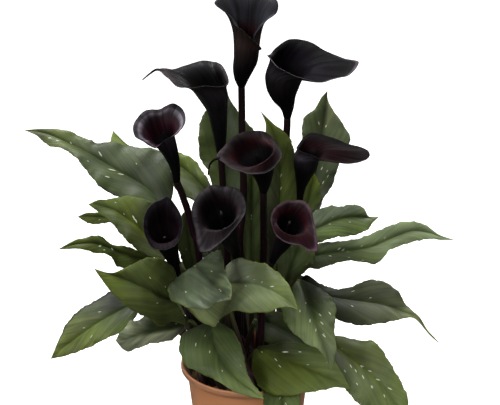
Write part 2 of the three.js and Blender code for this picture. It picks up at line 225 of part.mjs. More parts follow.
const flowerTable = {
  flower_1: {
    c: [[-7.1,40,464.3],[-7.2,40,473.6],[-5.7,40,484.1],[-2.5,40,495.6],[-1.5,40,505.9]],
    stem: [[-7.1,40,464.3],[-6.8,38,437.8],[-6.3,33,391.6],[-5,28,350.7],[-6.8,22,315.9],[-9.8,16,274.4],[-9,10,118]],
    rs: 4,
    tip: [-1.8,40,520.8],
    net: [
      [[-4.5,36.5,464.5],[-2.4,33.5,473.3],[0.9,30.9,482.6],[5.6,29.1,494.1],[6.9,28.6,505.2],[7.4,28.5,509.6],[12.1,26.8,510.9],[15,24,512]],
      [[-5.9,35.8,464.6],[-4.9,32.2,473.5],[-2.6,29.1,483.4],[1.3,27,494.9],[2.5,26.4,505.6],[3.1,26.1,512.8],[3.6,25.7,520.9],[5.4,19.4,522.9]],
      [[-8,35.7,464.5],[-8.9,32.1,473.8],[-8,28.8,484.6],[-5.2,26.7,496.1],[-4.4,26.1,506.2],[-3.9,25.6,516.1],[-2.7,28.6,528.4],[-4.9,20.1,531.5]],
      [[-10.1,36.7,464.5],[-12.6,34,474],[-13.2,31.5,485.7],[-11.4,29.9,497.3],[-11,29.5,506.8],[-10.7,29,518.4],[-5.2,33.9,533.2],[-12.3,26.4,537.3]],
      [[-11.2,38.4,464.4],[-14.8,37.1,474.2],[-16.1,35.9,486.3],[-14.9,35.2,498],[-14.8,34.9,507.1],[-14.6,34.7,521.7],[-6.9,37.6,539.7],[-19.1,34,545.2]],
      [[-11.5,39.9,464.3],[-15.3,39.9,474.2],[-16.9,39.8,486.5],[-15.8,39.8,498.2],[-15.7,39.7,507.2],[-15.6,39.7,524.9],[-13.8,40.7,545.1],[-29.2,41.3,551.7]],
      [[-11.4,41,464.2],[-15.1,41.9,474.2],[-16.6,42.6,486.4],[-15.5,43.1,498.1],[-15.3,43.2,507.2],[-15.2,43.5,528.3],[-19.1,44,550.2],[-37.1,47.5,558.1]],
      [[-11,42.2,464.1],[-14.2,44.1,474.1],[-15.4,45.7,486.2],[-14,46.8,497.8],[-13.8,47.1,507],[-13.4,47.7,530.1],[-11.1,45.8,556.7],[-29.5,53.8,565.2]],
      [[-9.5,43.7,464.1],[-11.6,46.8,473.9],[-11.8,49.6,485.4],[-9.7,51.4,497],[-9.2,51.9,506.6],[-8.3,52.9,530.6],[0.6,43,561],[-13.2,59,569.4]],
      [[-6.9,44.4,464.1],[-6.8,48.1,473.6],[-5.1,51.4,483.9],[-1.7,53.6,495.5],[-0.7,54.2,505.9],[1,55.3,530.4],[3.5,37.7,562.8],[3.7,59.8,570.2]],
      [[-4.4,43.4,464.1],[-2.2,46.3,473.3],[1.3,48.9,482.6],[5.9,50.6,494],[7.3,51,505.2],[9.8,51.8,529.2],[3.9,40.5,561.6],[19.5,56.2,567.5]],
      [[-3.2,41.9,464.2],[0.1,43.4,473.1],[4.4,44.8,481.9],[9.7,45.7,493.3],[11.3,46,504.8],[13.9,46.4,527.3],[12.6,43.5,555.3],[32.3,50.3,560.4]],
      [[-2.8,40.6,464.3],[0.8,41.1,473.1],[5.3,41.5,481.7],[10.8,41.8,493.1],[12.5,41.9,504.7],[14.7,42,523.2],[15.6,41.8,545.2],[32.6,44,549.3]],
      [[-2.8,39.4,464.4],[0.8,38.9,473.1],[5.3,38.4,481.7],[10.8,38.1,493.1],[12.5,38,504.7],[14.2,37.9,519.5],[9.2,39.2,539.2],[22.8,37.7,542.5]],
      [[-3.2,38.1,464.5],[0.1,36.5,473.1],[4.3,35.1,481.9],[9.6,34.2,493.3],[11.2,33.9,504.8],[12.5,33.7,516.2],[5.5,37.1,532.1],[14.6,31.8,534.7]],
      [[-3.8,37.2,464.5],[-1.1,34.8,473.2],[2.8,32.7,482.2],[7.8,31.2,493.7],[9.3,30.9,505],[10,30.7,511.8],[4.7,33.5,521.2],[8.6,28.6,522.9]],
    ],
  },
  flower_2: {
    c: [[-30.6,20,386.2],[-31.3,20,406.5],[-32.5,20,425.4],[-34.4,20,443],[-37.3,19,456]],
    stem: [[-30.6,20,386.2],[-29.2,19,364.8],[-27.5,17,324],[-24.3,14,281.6],[-23,3,118]],
    rs: 3.8,
    tip: [-39.4,19.5,465.2],
    tail: [[-92.8,14,489.3],[-101.1,14.5,490.9],[-108.4,15,486.3],[-117,15,479.2]],
    net: [
      [[-26.3,19,386.4],[-24.6,18.5,406.8],[-23.6,18,426.1],[-23.4,17.6,444.6],[-22.5,15.7,459],[-22,14.5,467.2],[-26.8,8.3,473.9],[-21.2,4,477.3]],
      [[-27.2,17.2,386.4],[-26,15.6,406.7],[-25.4,14.2,426],[-25.6,12.8,444.1],[-25.5,9.3,457.9],[-25.4,6.5,468],[-36.3,1.5,474.8],[-34.1,-7.7,477.7]],
      [[-28.7,16,386.4],[-28.4,13.8,406.6],[-28.6,11.7,425.7],[-29.5,9.7,443.4],[-30.6,5.1,456.4],[-31.7,0.8,467.8],[-45.1,-0.8,475.4],[-47.7,-11.9,477.8]],
      [[-30.7,15.6,386.3],[-31.4,13.1,406.5],[-32.6,10.8,425.4],[-34.5,8.6,442.6],[-37.2,3.6,454.9],[-40.2,-1.8,467.2],[-54,-0.8,475.6],[-61.5,-11.4,477.4]],
      [[-32.6,16.1,386.2],[-34.4,13.8,406.3],[-36.6,11.8,425],[-39.3,9.8,441.9],[-43.7,5.2,453.6],[-49.1,-0.4,466.8],[-62.7,0.9,475.2],[-74.1,-8,476.7]],
      [[-33.9,17.1,386.1],[-36.5,15.4,406.2],[-39.4,13.9,424.8],[-42.8,12.4,441.4],[-48.4,8.8,452.8],[-55.9,3.8,467.2],[-68.1,4.3,477.7],[-82.4,-2.8,479.2]],
      [[-34.6,18.2,386],[-37.6,17.2,406.2],[-40.9,16.2,424.7],[-44.6,15.3,441.2],[-50.9,12.7,452.6],[-60.5,8.6,468.8],[-71.5,8.4,483],[-88.9,3.1,484.7]],
      [[-34.9,19.2,386],[-38.1,18.8,406.1],[-41.5,18.3,424.6],[-45.5,17.9,441.2],[-52,16.2,452.6],[-63.3,13.3,470.7],[-74.6,11.4,487.1],[-94.6,7.9,489]],
      [[-35,20.2,386],[-38.2,20.3,406.1],[-41.7,20.4,424.6],[-45.7,20.4,441.2],[-52.3,19.6,452.8],[-64.5,18,472.5],[-78.1,15.1,488.4],[-99.9,14,490.6]],
      [[-34.8,21.3,385.9],[-37.9,22.1,406.1],[-41.3,22.8,424.7],[-45.2,23.4,441.4],[-51.7,23.6,453.2],[-62.4,23.9,471.2],[-72.8,18.7,487.9],[-92.4,20,490.1]],
      [[-33.9,22.9,385.9],[-36.6,24.5,406.2],[-39.5,25.9,424.8],[-43.1,27.3,441.9],[-48.9,28.9,454.2],[-57.3,31.1,470.6],[-65.4,21.6,487.2],[-82.5,25.2,489.5]],
      [[-32,24.1,386],[-33.7,26.5,406.4],[-35.6,28.7,425.1],[-38.3,30.7,442.7],[-42.6,33.5,456],[-48,36.8,471.5],[-57.6,25.7,487],[-70.9,34,489.9]],
      [[-29.8,24.3,386.1],[-30.2,26.8,406.5],[-31,29.1,425.5],[-32.6,31.2,443.6],[-35.1,34.1,457.7],[-37.8,37.4,473],[-49.9,30.1,488.1],[-56.2,43,492.6]],
      [[-28.2,23.7,386.2],[-27.7,25.9,406.7],[-27.7,27.8,425.8],[-28.5,29.7,444.2],[-29.5,32,458.7],[-30.6,34.5,473.6],[-43.3,32.6,487.8],[-43.7,45.8,493.3]],
      [[-27.1,22.7,386.3],[-25.9,24.3,406.7],[-25.3,25.7,426],[-25.6,27.1,444.6],[-25.6,28.5,459.3],[-25.6,29.8,472.8],[-37.6,29.5,486.2],[-33.4,40.1,492.1]],
      [[-26.3,21.1,386.4],[-24.7,21.8,406.8],[-23.7,22.4,426.1],[-23.5,22.9,444.7],[-22.8,22.9,459.5],[-22.3,22.9,469.9],[-32.2,23.3,481.2],[-25,27.7,486.3]],
    ],
  },
  flower_3: {
    c: [[44.9,30,430.7],[44.7,30,442.5],[41.4,30,454.2],[39.6,29,466.1],[40.2,28,476.7]],
    stem: [[44.9,30,430.7],[44.4,31,412.6],[41.8,32,367.7],[35.2,30,312.9],[29.6,27,269.9],[24,23,118]],
    rs: 4,
    tip: [41.7,28,484.8],
    net: [
      [[40.6,29.4,430.7],[37.3,29,441.3],[28.6,28.4,451.3],[21.8,26.8,465],[20,25.3,477.5],[18.7,24.1,488.6],[30.2,20.5,502],[21.3,16,505.4]],
      [[41,28.1,430.7],[38,26.6,441.5],[29.8,24.2,451.4],[23.5,21.1,464.5],[21.9,18.9,476.8],[20.9,17.1,487.2],[33.8,12.8,496.7],[29.3,4.2,499.3]],
      [[41.9,26.9,430.6],[39.5,24.5,441.7],[32.4,20.6,451.8],[27.1,16.2,464.3],[26,13.3,476.1],[25.4,11,486.3],[40.7,7.4,491.2],[40.8,-2.2,493.5]],
      [[43.3,26,430.6],[41.9,22.9,442],[36.5,17.8,452.6],[32.9,12.4,464.3],[32.5,9.1,475.4],[32.4,6.3,485.6],[49.1,3.6,486.1],[52.4,-5.7,488.2]],
      [[45.1,25.7,430.5],[45.2,22.4,442.5],[42.1,16.8,453.8],[40.6,11.1,464.5],[41.3,7.7,474.8],[42.2,4.4,485.5],[59.7,2.3,481],[66,-6,483.3]],
      [[47,26.3,430.5],[48.5,23.4,443],[47.8,18.5,455.1],[48.6,13.4,465.2],[50.4,10.4,474.6],[52.8,6.7,487],[71.7,4.2,479],[81.4,-3.2,481.7]],
      [[48.4,27.5,430.6],[50.9,25.6,443.4],[51.9,22.3,456.1],[54.3,18.5,465.9],[56.8,16.3,474.8],[61.3,12.5,490.7],[84.1,9.1,479.9],[98.4,2.8,483.7]],
      [[49,28.8,430.6],[52,28,443.5],[53.8,26.3,456.7],[56.9,24,466.5],[59.8,22.5,475.2],[66.4,19.2,495.4],[94.9,15.7,481.1],[114.1,11.1,486.2]],
      [[49.2,30.1,430.6],[52.3,30.2,443.6],[54.2,30.2,457],[57.6,29.3,467],[60.6,28.5,475.7],[68.7,26.4,499.7],[99.9,23.7,492],[123.1,22,498.3]],
      [[48.9,31.6,430.7],[51.7,32.8,443.5],[53.3,34.8,457],[56.4,35.5,467.5],[59.1,35.5,476.5],[65.1,35.5,495.4],[88.2,32.5,494],[106.2,34.3,499.2]],
      [[47.7,33.2,430.8],[49.8,35.7,443.2],[50,39.7,456.4],[51.7,42.3,467.9],[53.8,43.1,477.5],[57.6,44.4,493.5],[74,39.8,499.5],[87.9,45.2,504.3]],
      [[45.9,34.2,430.8],[46.5,37.4,442.7],[44.3,42.8,455.4],[43.9,46.4,467.8],[45,47.8,478.4],[47,49.6,494.8],[61.2,43.9,506.7],[72.3,53.8,512.1]],
      [[44,34.2,430.8],[43.2,37.4,442.2],[38.6,42.9,454.1],[35.9,46.6,467.4],[36,47.8,478.8],[36.4,49.5,495.5],[51.1,44,509.9],[58,57,515.8]],
      [[42.4,33.5,430.8],[40.5,36.2,441.8],[34,40.9,453],[29.4,43.8,466.9],[28.6,44.7,478.9],[28,45.5,493.8],[42.8,41,508.2],[43.9,53.9,513.9]],
      [[41.3,32.4,430.8],[38.5,34.2,441.5],[30.6,37.4,452.1],[24.7,39,466.2],[23.2,39.2,478.7],[22.2,39.2,490.9],[37.2,34.3,504.5],[32.5,43.8,509.4]],
      [[40.7,30.9,430.8],[37.4,31.6,441.4],[28.7,32.9,451.6],[22.1,33,465.5],[20.3,32.3,478.2],[19.1,31.7,488.7],[34.8,27.5,501.6],[25.8,29.8,505.4]],
    ],
  },
  flower_4: {
    c: [[-79.8,-8,367],[-80.8,-9,381.5],[-83.8,-10,396],[-88,-11,408],[-92.2,-12,417.6]],
    stem: [[-79.8,-8,367],[-75.9,-8,357.4],[-72.1,-8,345.4],[-68.4,-8,333.3],[-62.5,-9,306.9],[-56.1,-10,277.7],[-44,-8,118]],
    rs: 3.9,
    tip: [-94.2,-12,426.9],
    net: [
      [[-81.8,-11.7,366.4],[-83.4,-13.7,380.9],[-87.3,-16.6,394.6],[-92.3,-19.7,405.5],[-97.5,-22.8,414.2],[-99.4,-23.9,417.3],[-99.7,-28.8,414.6],[-101.4,-32,414.7]],
      [[-82.8,-10.9,366.2],[-84.7,-12.7,380.8],[-89.1,-15.2,394.2],[-94.6,-17.7,404.8],[-100.4,-20.4,413.2],[-103.8,-22,418.1],[-108.6,-24.4,420.3],[-113.1,-28.1,419.9]],
      [[-83.5,-9.9,366.1],[-85.6,-11.5,380.7],[-90.3,-13.5,394],[-96.2,-15.5,404.4],[-102.2,-17.5,412.6],[-107.5,-19.3,419.5],[-114.7,-20,423.8],[-122.5,-23,422.9]],
      [[-83.9,-8.9,366.1],[-86,-10.2,380.7],[-91,-11.6,394],[-97,-13.1,404.3],[-103.3,-14.5,412.5],[-110.4,-16.2,421.4],[-115.3,-16.4,433.4],[-126.1,-18.1,432.3]],
      [[-83.9,-7.5,366.1],[-86.2,-8.4,380.9],[-91.1,-9.1,394.1],[-97.2,-9.7,404.5],[-103.6,-10.3,412.8],[-111.6,-11.1,422.8],[-111.8,-13,440.7],[-123.7,-11,439.8]],
      [[-83.2,-5.5,366.4],[-85.2,-5.9,381.2],[-89.9,-5.6,394.7],[-95.7,-5.1,405.6],[-101.7,-4.6,414.2],[-109.4,-3.9,425],[-107.1,-12,444.7],[-116.3,-3.5,445.9]],
      [[-81.3,-4.1,366.8],[-82.8,-4,381.6],[-86.6,-2.9,395.8],[-91.5,-1.7,407.5],[-96.7,-0.3,416.9],[-102.8,1.3,427.9],[-104.4,-7.4,444.3],[-106.9,3.6,448.6]],
      [[-79.4,-3.8,367.2],[-80.4,-3.6,382],[-83.2,-2.5,396.8],[-87.2,-1.1,409.2],[-91.3,0.4,419.3],[-95.7,1.9,429.6],[-98.7,-0.3,441.9],[-98,9.2,446.9]],
      [[-78.1,-4.2,367.5],[-78.6,-4.1,382.2],[-80.8,-3.2,397.4],[-84.1,-2.1,410.3],[-87.5,-0.9,420.9],[-91.4,0.5,432.4],[-93.3,2.8,443.9],[-90.2,12,450.2]],
      [[-77.1,-4.9,367.7],[-77.3,-5,382.3],[-79,-4.4,397.7],[-81.9,-3.7,411.1],[-84.8,-2.9,421.9],[-88.2,-1.9,434.3],[-87,3.4,445],[-81.7,11.5,452.5]],
      [[-76.4,-5.8,367.8],[-76.3,-6.1,382.4],[-77.7,-6,398],[-80.2,-5.8,411.5],[-82.7,-5.6,422.5],[-85.3,-5.3,433.9],[-80,0.7,442.1],[-73.8,6.2,449.3]],
      [[-75.8,-7,367.8],[-75.7,-7.7,382.3],[-76.7,-8.2,398.1],[-78.9,-8.8,411.7],[-81.2,-9.3,422.8],[-83,-9.7,431.8],[-74.7,-4.6,436.3],[-68.8,-2.2,442.2]],
      [[-75.8,-8.7,367.8],[-75.6,-9.9,382.2],[-76.6,-11.3,397.9],[-78.7,-12.8,411.4],[-80.9,-14.3,422.4],[-82.1,-15.1,428.5],[-74.2,-11.9,430.4],[-69.8,-12,434.4]],
      [[-76.7,-10.7,367.5],[-76.6,-12.4,381.9],[-78.1,-14.8,397.2],[-80.6,-17.4,410.3],[-83.2,-20,420.8],[-84,-20.9,424.3],[-79.7,-19,426.4],[-77.3,-20.4,428.5]],
      [[-78.5,-12,367.1],[-79.1,-14.1,381.4],[-81.4,-17.2,396.1],[-84.8,-20.5,408.4],[-88.3,-23.9,418.2],[-89,-24.5,420.1],[-87.5,-24.4,422.3],[-86.9,-26.1,423.1]],
      [[-80.5,-12.1,366.7],[-81.6,-14.3,381.1],[-84.8,-17.5,395.2],[-89.2,-20.8,406.7],[-93.6,-24.3,415.7],[-94.7,-25.1,417.9],[-95,-28,417.7],[-95.6,-30.4,418.1]],
    ],
  },
  flower_5: {
    c: [[17.5,-28,361],[18,-28,372.8],[16.9,-29,384.8],[13.5,-31,395.9],[10.2,-32,403.2]],
    stem: [[17.5,-28,361],[17.6,-25,337.3],[17.8,-21,306.8],[17.4,-17,275.7],[11,-8,118]],
    rs: 3.9,
    tip: [9.1,-32,407.8],
    tail: [[-30,-46.5,408.4],[-36.4,-45.6,405.6],[-41.2,-45,399.5],[-43.4,-44.5,387.8]],
    net: [
      [[17.5,-32.1,360.6],[17.8,-35.7,372.4],[16.9,-40.9,383.3],[13.8,-47.3,393.4],[10.3,-51.8,400.5],[8.4,-54.2,404.3],[5.1,-55.7,393.7],[3.6,-60,393.7]],
      [[16,-31.8,360.7],[15.1,-35.1,372.4],[12.7,-40,382.6],[8.2,-46,391.6],[3.8,-50.2,397.8],[1,-52.7,401.5],[-4.1,-54.6,395.8],[-7,-58.6,395.6]],
      [[15,-31.2,360.7],[13.1,-33.9,372.4],[9.7,-38.3,382.2],[4.2,-43.5,390.5],[-0.9,-47,396.1],[-5.1,-49.9,400.5],[-11.6,-51,399.6],[-16.5,-55.1,399.1]],
      [[14.2,-30.4,360.8],[11.7,-32.5,372.4],[7.5,-36,382.1],[1.3,-40.4,390],[-4.3,-43.2,395.1],[-10.5,-46.3,400.6],[-17.8,-46.1,403.7],[-25.2,-49.9,402.7]],
      [[13.7,-29.6,360.9],[10.9,-30.8,372.5],[6.1,-33.5,382.1],[-0.6,-36.9,389.9],[-6.5,-39,394.6],[-15.4,-42,401.7],[-22.8,-42.6,409.7],[-33.3,-46,408.4]],
      [[13.4,-28.5,361],[10.4,-28.7,372.5],[5.2,-30.2,382.4],[-1.9,-32.4,390.1],[-7.9,-33.5,394.8],[-17,-35,401.5],[-20.1,-37.6,414.7],[-30.7,-39.2,413.4]],
      [[13.6,-26.7,361.1],[10.7,-25.5,372.7],[5.6,-25.2,383.1],[-1.4,-25.5,391.4],[-7.2,-25.1,396.2],[-15.6,-24.4,402.7],[-14.3,-31.2,418.7],[-24.1,-29.4,418]],
      [[14.9,-24.9,361.3],[13.2,-22,372.9],[9.1,-19.8,384.5],[3.1,-18.3,394.3],[-1.8,-16.4,399.9],[-8.7,-13.6,407.3],[-8.9,-26.5,421.8],[-16.9,-20.8,422.5]],
      [[16.8,-24,361.3],[16.9,-20.4,373.1],[14.7,-17.2,385.9],[10.5,-14.9,397.5],[6.8,-12.3,404.4],[2.3,-9.2,412.5],[-3.6,-20,423.1],[-7.5,-12,425.7]],
      [[18.4,-24,361.3],[19.9,-20.5,373.1],[19.3,-17.4,386.8],[16.5,-15.2,399.6],[13.9,-12.8,407.5],[11.2,-10.4,415.3],[4.3,-12.1,422.5],[3.6,-4.8,426.1]],
      [[19.5,-24.4,361.3],[21.8,-21.3,373.2],[22.3,-18.6,387.2],[20.5,-16.9,400.8],[18.6,-14.9,409.4],[16.8,-13.2,416.7],[13.6,-7.6,420.2],[14.6,-1.5,424.1]],
      [[20.3,-25,361.2],[23.4,-22.5,373.1],[24.7,-20.4,387.5],[23.8,-19.4,401.6],[22.4,-18,410.7],[21.3,-17,417.1],[22.1,-9.2,417.6],[24.1,-4.7,421.4]],
      [[21.1,-26,361.1],[24.8,-24.4,373.1],[27.1,-23.3,387.5],[26.9,-23.5,402],[25.9,-23,411.7],[25.5,-22.8,416.2],[30,-15.4,411.2],[32.4,-13,413.9]],
      [[21.6,-27.7,361],[25.7,-27.6,373],[28.6,-28.3,387.2],[29,-30.3,401.7],[28.3,-31.4,411.6],[28,-32,416.6],[33.4,-26.9,402.3],[37.8,-26,404]],
      [[21.1,-30,360.8],[24.7,-31.8,372.8],[27.3,-34.8,386.1],[27.3,-39.2,399.6],[26.3,-42.2,409.2],[25.8,-43.5,413.5],[27.5,-40.4,397.7],[31.1,-42.8,398.2]],
      [[19.4,-31.6,360.7],[21.4,-34.9,372.6],[22.5,-39.6,384.5],[21,-45.7,396.3],[18.9,-50,404.7],[17.8,-51.9,408.6],[17.6,-51.3,394.4],[18.3,-55.5,394.2]],
    ],
  },
  flower_6: {
    c: [[59.3,6,340.3],[60.6,6,354.8],[62.7,6,368.1],[65,5,380.4],[65.7,4,389.6]],
    stem: [[59.3,6,340.3],[58.3,7,315.4],[53.6,7,278.1],[36,3,118]],
    rs: 3.6,
    tip: [66.7,5.5,396.3],
    net: [
      [[55.6,4.7,340.5],[55.5,4.3,355.5],[54.3,3.1,369.4],[52.5,0.6,381.7],[51.9,-0.7,390],[51.5,-1.6,396.2],[59.4,-2.6,403.5],[54.9,-6,405.3]],
      [[56.2,3.7,340.4],[56.3,2.8,355.4],[55.5,0.6,369.1],[54.4,-2.9,381.1],[53.9,-4.5,389.5],[53.6,-5.7,396],[64.7,-5.9,400.5],[63.7,-12,401.9]],
      [[57.2,2.7,340.3],[57.7,1.5,355.2],[57.8,-1.6,368.6],[57.8,-6.2,380.4],[57.7,-8.1,388.9],[57.6,-9.8,396.8],[72.6,-7.8,395.8],[76.4,-14.3,397.3]],
      [[58.9,2.1,340.2],[60.1,0.6,354.9],[61.9,-3,367.9],[63.8,-8.2,379.3],[64.3,-10.4,388.2],[64.7,-12.5,397.9],[82.3,-7.4,391.4],[89.9,-12.7,393.3]],
      [[61.1,2.6,340.1],[63.1,1.2,354.5],[66.8,-1.9,367],[71.2,-6.6,378.5],[72.4,-8.7,387.8],[73.6,-11.1,399.7],[93.7,-4.5,386.9],[104.3,-8,389.5]],
      [[62.6,3.9,340],[65.1,3.1,354.3],[70.2,1.3,366.6],[76.2,-1.9,378.2],[77.9,-3.6,388],[80,-6.2,403.7],[105.4,0.3,382.3],[120,-1.7,386]],
      [[63.1,5.1,340],[65.8,4.8,354.2],[71.3,4,366.5],[77.9,2.1,378.3],[79.7,0.8,388.4],[82.6,-1.8,407.5],[113,4.6,384.4],[130.9,4.1,389]],
      [[63.2,5.9,340.1],[65.9,5.8,354.2],[71.5,5.8,366.5],[78.2,4.7,378.5],[80.1,3.6,388.6],[83.4,1.1,410.2],[117.5,7.6,386.2],[137.5,8.2,391.6]],
      [[63.1,6.7,340.1],[65.9,6.9,354.2],[71.4,7.6,366.6],[78,7.4,378.8],[79.9,6.5,389],[83.1,4.5,410.2],[116,10.9,392],[135.5,13,397.4]],
      [[62.7,7.9,340.1],[65.3,8.6,354.3],[70.4,10.4,366.9],[76.6,11.5,379.4],[78.4,11,389.6],[80.8,9.8,407.1],[107.1,17.1,395.6],[122.6,21.6,400.4]],
      [[61.5,9.2,340.2],[63.6,10.5,354.5],[67.6,13.5,367.5],[72.4,16.1,380.4],[73.8,16,390.4],[75.4,15.5,405.2],[97,21.7,398.5],[108.7,28.2,402.9]],
      [[59.5,9.9,340.4],[60.8,11.4,354.8],[63.1,15,368.4],[65.8,18.2,381.5],[66.5,18.4,391.1],[67.2,18.3,404.4],[86.2,24.1,402.2],[94.5,32.4,406.6]],
      [[57.7,9.5,340.5],[58.3,10.9,355.1],[59,14.2,369],[59.6,17,382.3],[59.7,17.1,391.4],[59.8,16.9,404.3],[76.4,23.9,406.3],[81.5,34,411]],
      [[56.4,8.6,340.5],[56.6,9.6,355.3],[56.1,12,369.5],[55.3,13.8,382.6],[55,13.7,391.4],[54.6,13.3,403.2],[68.8,20.7,407.9],[70.2,30.9,412.5]],
      [[55.7,7.4,340.5],[55.6,7.9,355.4],[54.4,9.1,369.7],[52.7,9.6,382.5],[52.2,9.1,391.1],[51.6,8.5,399.7],[63.6,14.1,404.1],[61.9,21.3,407.5]],
      [[55.4,6,340.5],[55.2,6,355.5],[53.8,5.9,369.6],[51.9,4.9,382.2],[51.2,4,390.6],[50.8,3.3,396.2],[60.4,5.7,401.9],[56,7.8,404.2]],
    ],
  },
  flower_7: {
    c: [[-79.4,-46,273.3],[-82.7,-55,290.4],[-85.9,-65,307.8],[-88.6,-73,322.8],[-90,-78,333]],
    stem: [[-79.4,-46,273.3],[-74.6,-38,253.8],[-66.3,-30,227.7],[-42,-20,118]],
    rs: 3.9,
    tip: [-90.2,-81,329.5],
    net: [
      [[-79.9,-49.7,271.4],[-83.4,-60.5,287.3],[-87,-73.2,303],[-90.2,-84.8,316.5],[-92,-92.6,325.5],[-92.7,-95.4,328.8],[-90.9,-99.8,323.8],[-91.2,-104,323.2]],
      [[-81.2,-49.3,271.3],[-85.3,-59.9,287.2],[-89.9,-72.3,303],[-94.2,-83.5,316.5],[-96.9,-91,325.6],[-97.9,-93.8,329],[-98.8,-98.5,326.1],[-100.4,-102.4,325.5]],
      [[-82.4,-48.4,271.5],[-87.2,-58.6,287.6],[-92.7,-70.4,303.5],[-98.2,-80.8,317.3],[-101.7,-87.7,326.6],[-103.3,-90.6,330.6],[-104.6,-94.5,333.4],[-107.9,-98.1,333]],
      [[-83.3,-47,271.9],[-88.6,-56.5,288.5],[-94.8,-67.3,304.8],[-101.1,-76.5,319],[-105.3,-82.4,328.7],[-107.7,-85.8,334.2],[-105.8,-89.5,342.4],[-111.6,-92.3,342.5]],
      [[-83.5,-45.3,272.7],[-89,-54,289.8],[-95.4,-63.5,306.9],[-101.9,-70.9,321.7],[-106.3,-75.6,331.9],[-109.5,-79,339.3],[-103.4,-85.7,350],[-111.5,-86,351.7]],
      [[-82.8,-43.5,273.7],[-87.9,-51.4,291.4],[-93.8,-59.7,309.3],[-99.6,-65.5,324.9],[-103.5,-68.9,335.6],[-106.8,-71.7,344.8],[-100.5,-82.7,355.8],[-108.2,-78.7,360.1]],
      [[-81.4,-42.5,274.5],[-85.7,-49.8,292.7],[-90.5,-57.3,311.2],[-94.9,-62,327.4],[-97.7,-64.5,338.5],[-100.3,-66.8,348.8],[-97.2,-79.3,359.3],[-101.2,-72.4,365.8]],
      [[-79.9,-42.2,274.9],[-83.5,-49.4,293.4],[-87.1,-56.6,312.2],[-90.2,-61,328.7],[-91.9,-63.2,340],[-93.4,-65.1,350.4],[-92.9,-74.9,360.6],[-93.4,-67.6,367.7]],
      [[-78.8,-42.3,275.1],[-81.8,-49.5,293.6],[-84.6,-56.8,312.6],[-86.7,-61.3,329.2],[-87.6,-63.5,340.4],[-88.5,-65.6,351.8],[-89,-72.5,363],[-87.2,-65,370.8]],
      [[-77.9,-42.6,275.2],[-80.4,-50,293.6],[-82.5,-57.4,312.6],[-83.7,-62.1,329.2],[-84,-64.5,340.4],[-84.2,-66.6,350.3],[-86,-72.5,360.2],[-83.1,-66.4,367]],
      [[-76.8,-43.3,275.1],[-78.8,-50.9,293.4],[-80,-58.9,312.2],[-80.2,-64.2,328.7],[-79.7,-67,339.8],[-79.3,-69,347.8],[-81.8,-73.8,356],[-77.7,-69.8,361.3]],
      [[-75.7,-44.6,274.7],[-77.1,-52.9,292.6],[-77.5,-61.9,311],[-76.7,-68.4,327.1],[-75.3,-72.2,337.8],[-74.6,-74.2,343.6],[-76.7,-77.6,349.9],[-72.1,-76.4,353.2]],
      [[-75.3,-46.6,273.9],[-76.4,-55.8,291.2],[-76.5,-66.1,308.8],[-75.2,-74.5,324.2],[-73.6,-79.7,334.4],[-73,-81.6,338.3],[-73.2,-84,342.3],[-69.4,-85,343.8]],
      [[-76,-48.4,272.9],[-77.4,-58.5,289.5],[-78,-70.2,306.3],[-77.4,-80.3,320.8],[-76.3,-86.9,330.5],[-76,-88.6,333.1],[-73.9,-90.6,334.2],[-71.6,-92.5,334.6]],
      [[-77.4,-49.5,272.1],[-79.5,-60.1,288.2],[-81.1,-72.6,304.4],[-81.9,-83.8,318.3],[-81.8,-91.3,327.6],[-81.7,-93.4,330.3],[-79.9,-96.8,326.9],[-78.6,-99.8,326.8]],
      [[-78.8,-49.8,271.6],[-81.6,-60.6,287.6],[-84.3,-73.4,303.4],[-86.3,-85,317],[-87.3,-92.7,326.1],[-87.6,-95.5,329.3],[-86.3,-99.7,324.4],[-85.9,-103.7,323.9]],
    ],
  },
  flower_8: {
    c: [[-11,-35,280.8],[-14.3,-43,297.5],[-19.6,-54,315.2],[-25.3,-66,333.5],[-28.9,-70,345]],
    stem: [[-11,-35,280.8],[-10,-29,261],[-10.7,-24,238.8],[-12,-12,118]],
    rs: 3.9,
    tip: [-28.8,-74,356.9],
    net: [
      [[-10.5,-38.9,279.3],[-13.2,-48.6,294.6],[-17.8,-62.4,310.4],[-23,-78.9,327.3],[-26.9,-86.6,339.8],[-28.8,-90.2,346.1],[-31.3,-92.3,327.5],[-32.7,-99,325.8]],
      [[-12.1,-38.7,279.2],[-15.7,-48.3,294.2],[-21.6,-61.8,309.6],[-28.6,-78,326],[-33.6,-85.4,338.1],[-36.7,-89.8,345.8],[-38.4,-93.7,323.8],[-42.1,-101.4,321.4]],
      [[-13.1,-38.3,279.3],[-17.1,-47.7,294.2],[-23.8,-60.8,309.5],[-31.7,-76.5,325.8],[-37.2,-83.5,337.6],[-41.4,-88.4,346.4],[-44.9,-92.9,322.1],[-50.8,-100.9,319.5]],
      [[-13.8,-37.9,279.4],[-18.2,-47,294.3],[-25.4,-59.7,309.7],[-34.1,-74.8,326],[-40,-81.3,337.5],[-43.5,-84.8,344.2],[-48.8,-89.8,329.8],[-54.3,-95.4,328.9]],
      [[-14.5,-37.1,279.6],[-19.3,-45.8,294.7],[-27.2,-57.9,310.3],[-36.6,-72,326.7],[-43,-77.7,337.8],[-45.9,-80.1,343],[-51.1,-84.6,341],[-56.1,-88,340.4]],
      [[-15.1,-35.7,280],[-20.3,-43.8,295.6],[-28.7,-55,311.7],[-38.8,-67.4,328.5],[-45.3,-71.8,339.1],[-49.3,-74.2,345.6],[-52.5,-78.5,352],[-59.8,-80.5,351.7]],
      [[-15.1,-33.9,280.7],[-20.4,-41.2,297],[-28.9,-51.2,314.1],[-39,-61.6,331.6],[-45.2,-64.3,341.8],[-50.2,-66.1,350],[-50.6,-73.7,360.6],[-59.8,-73,361.2]],
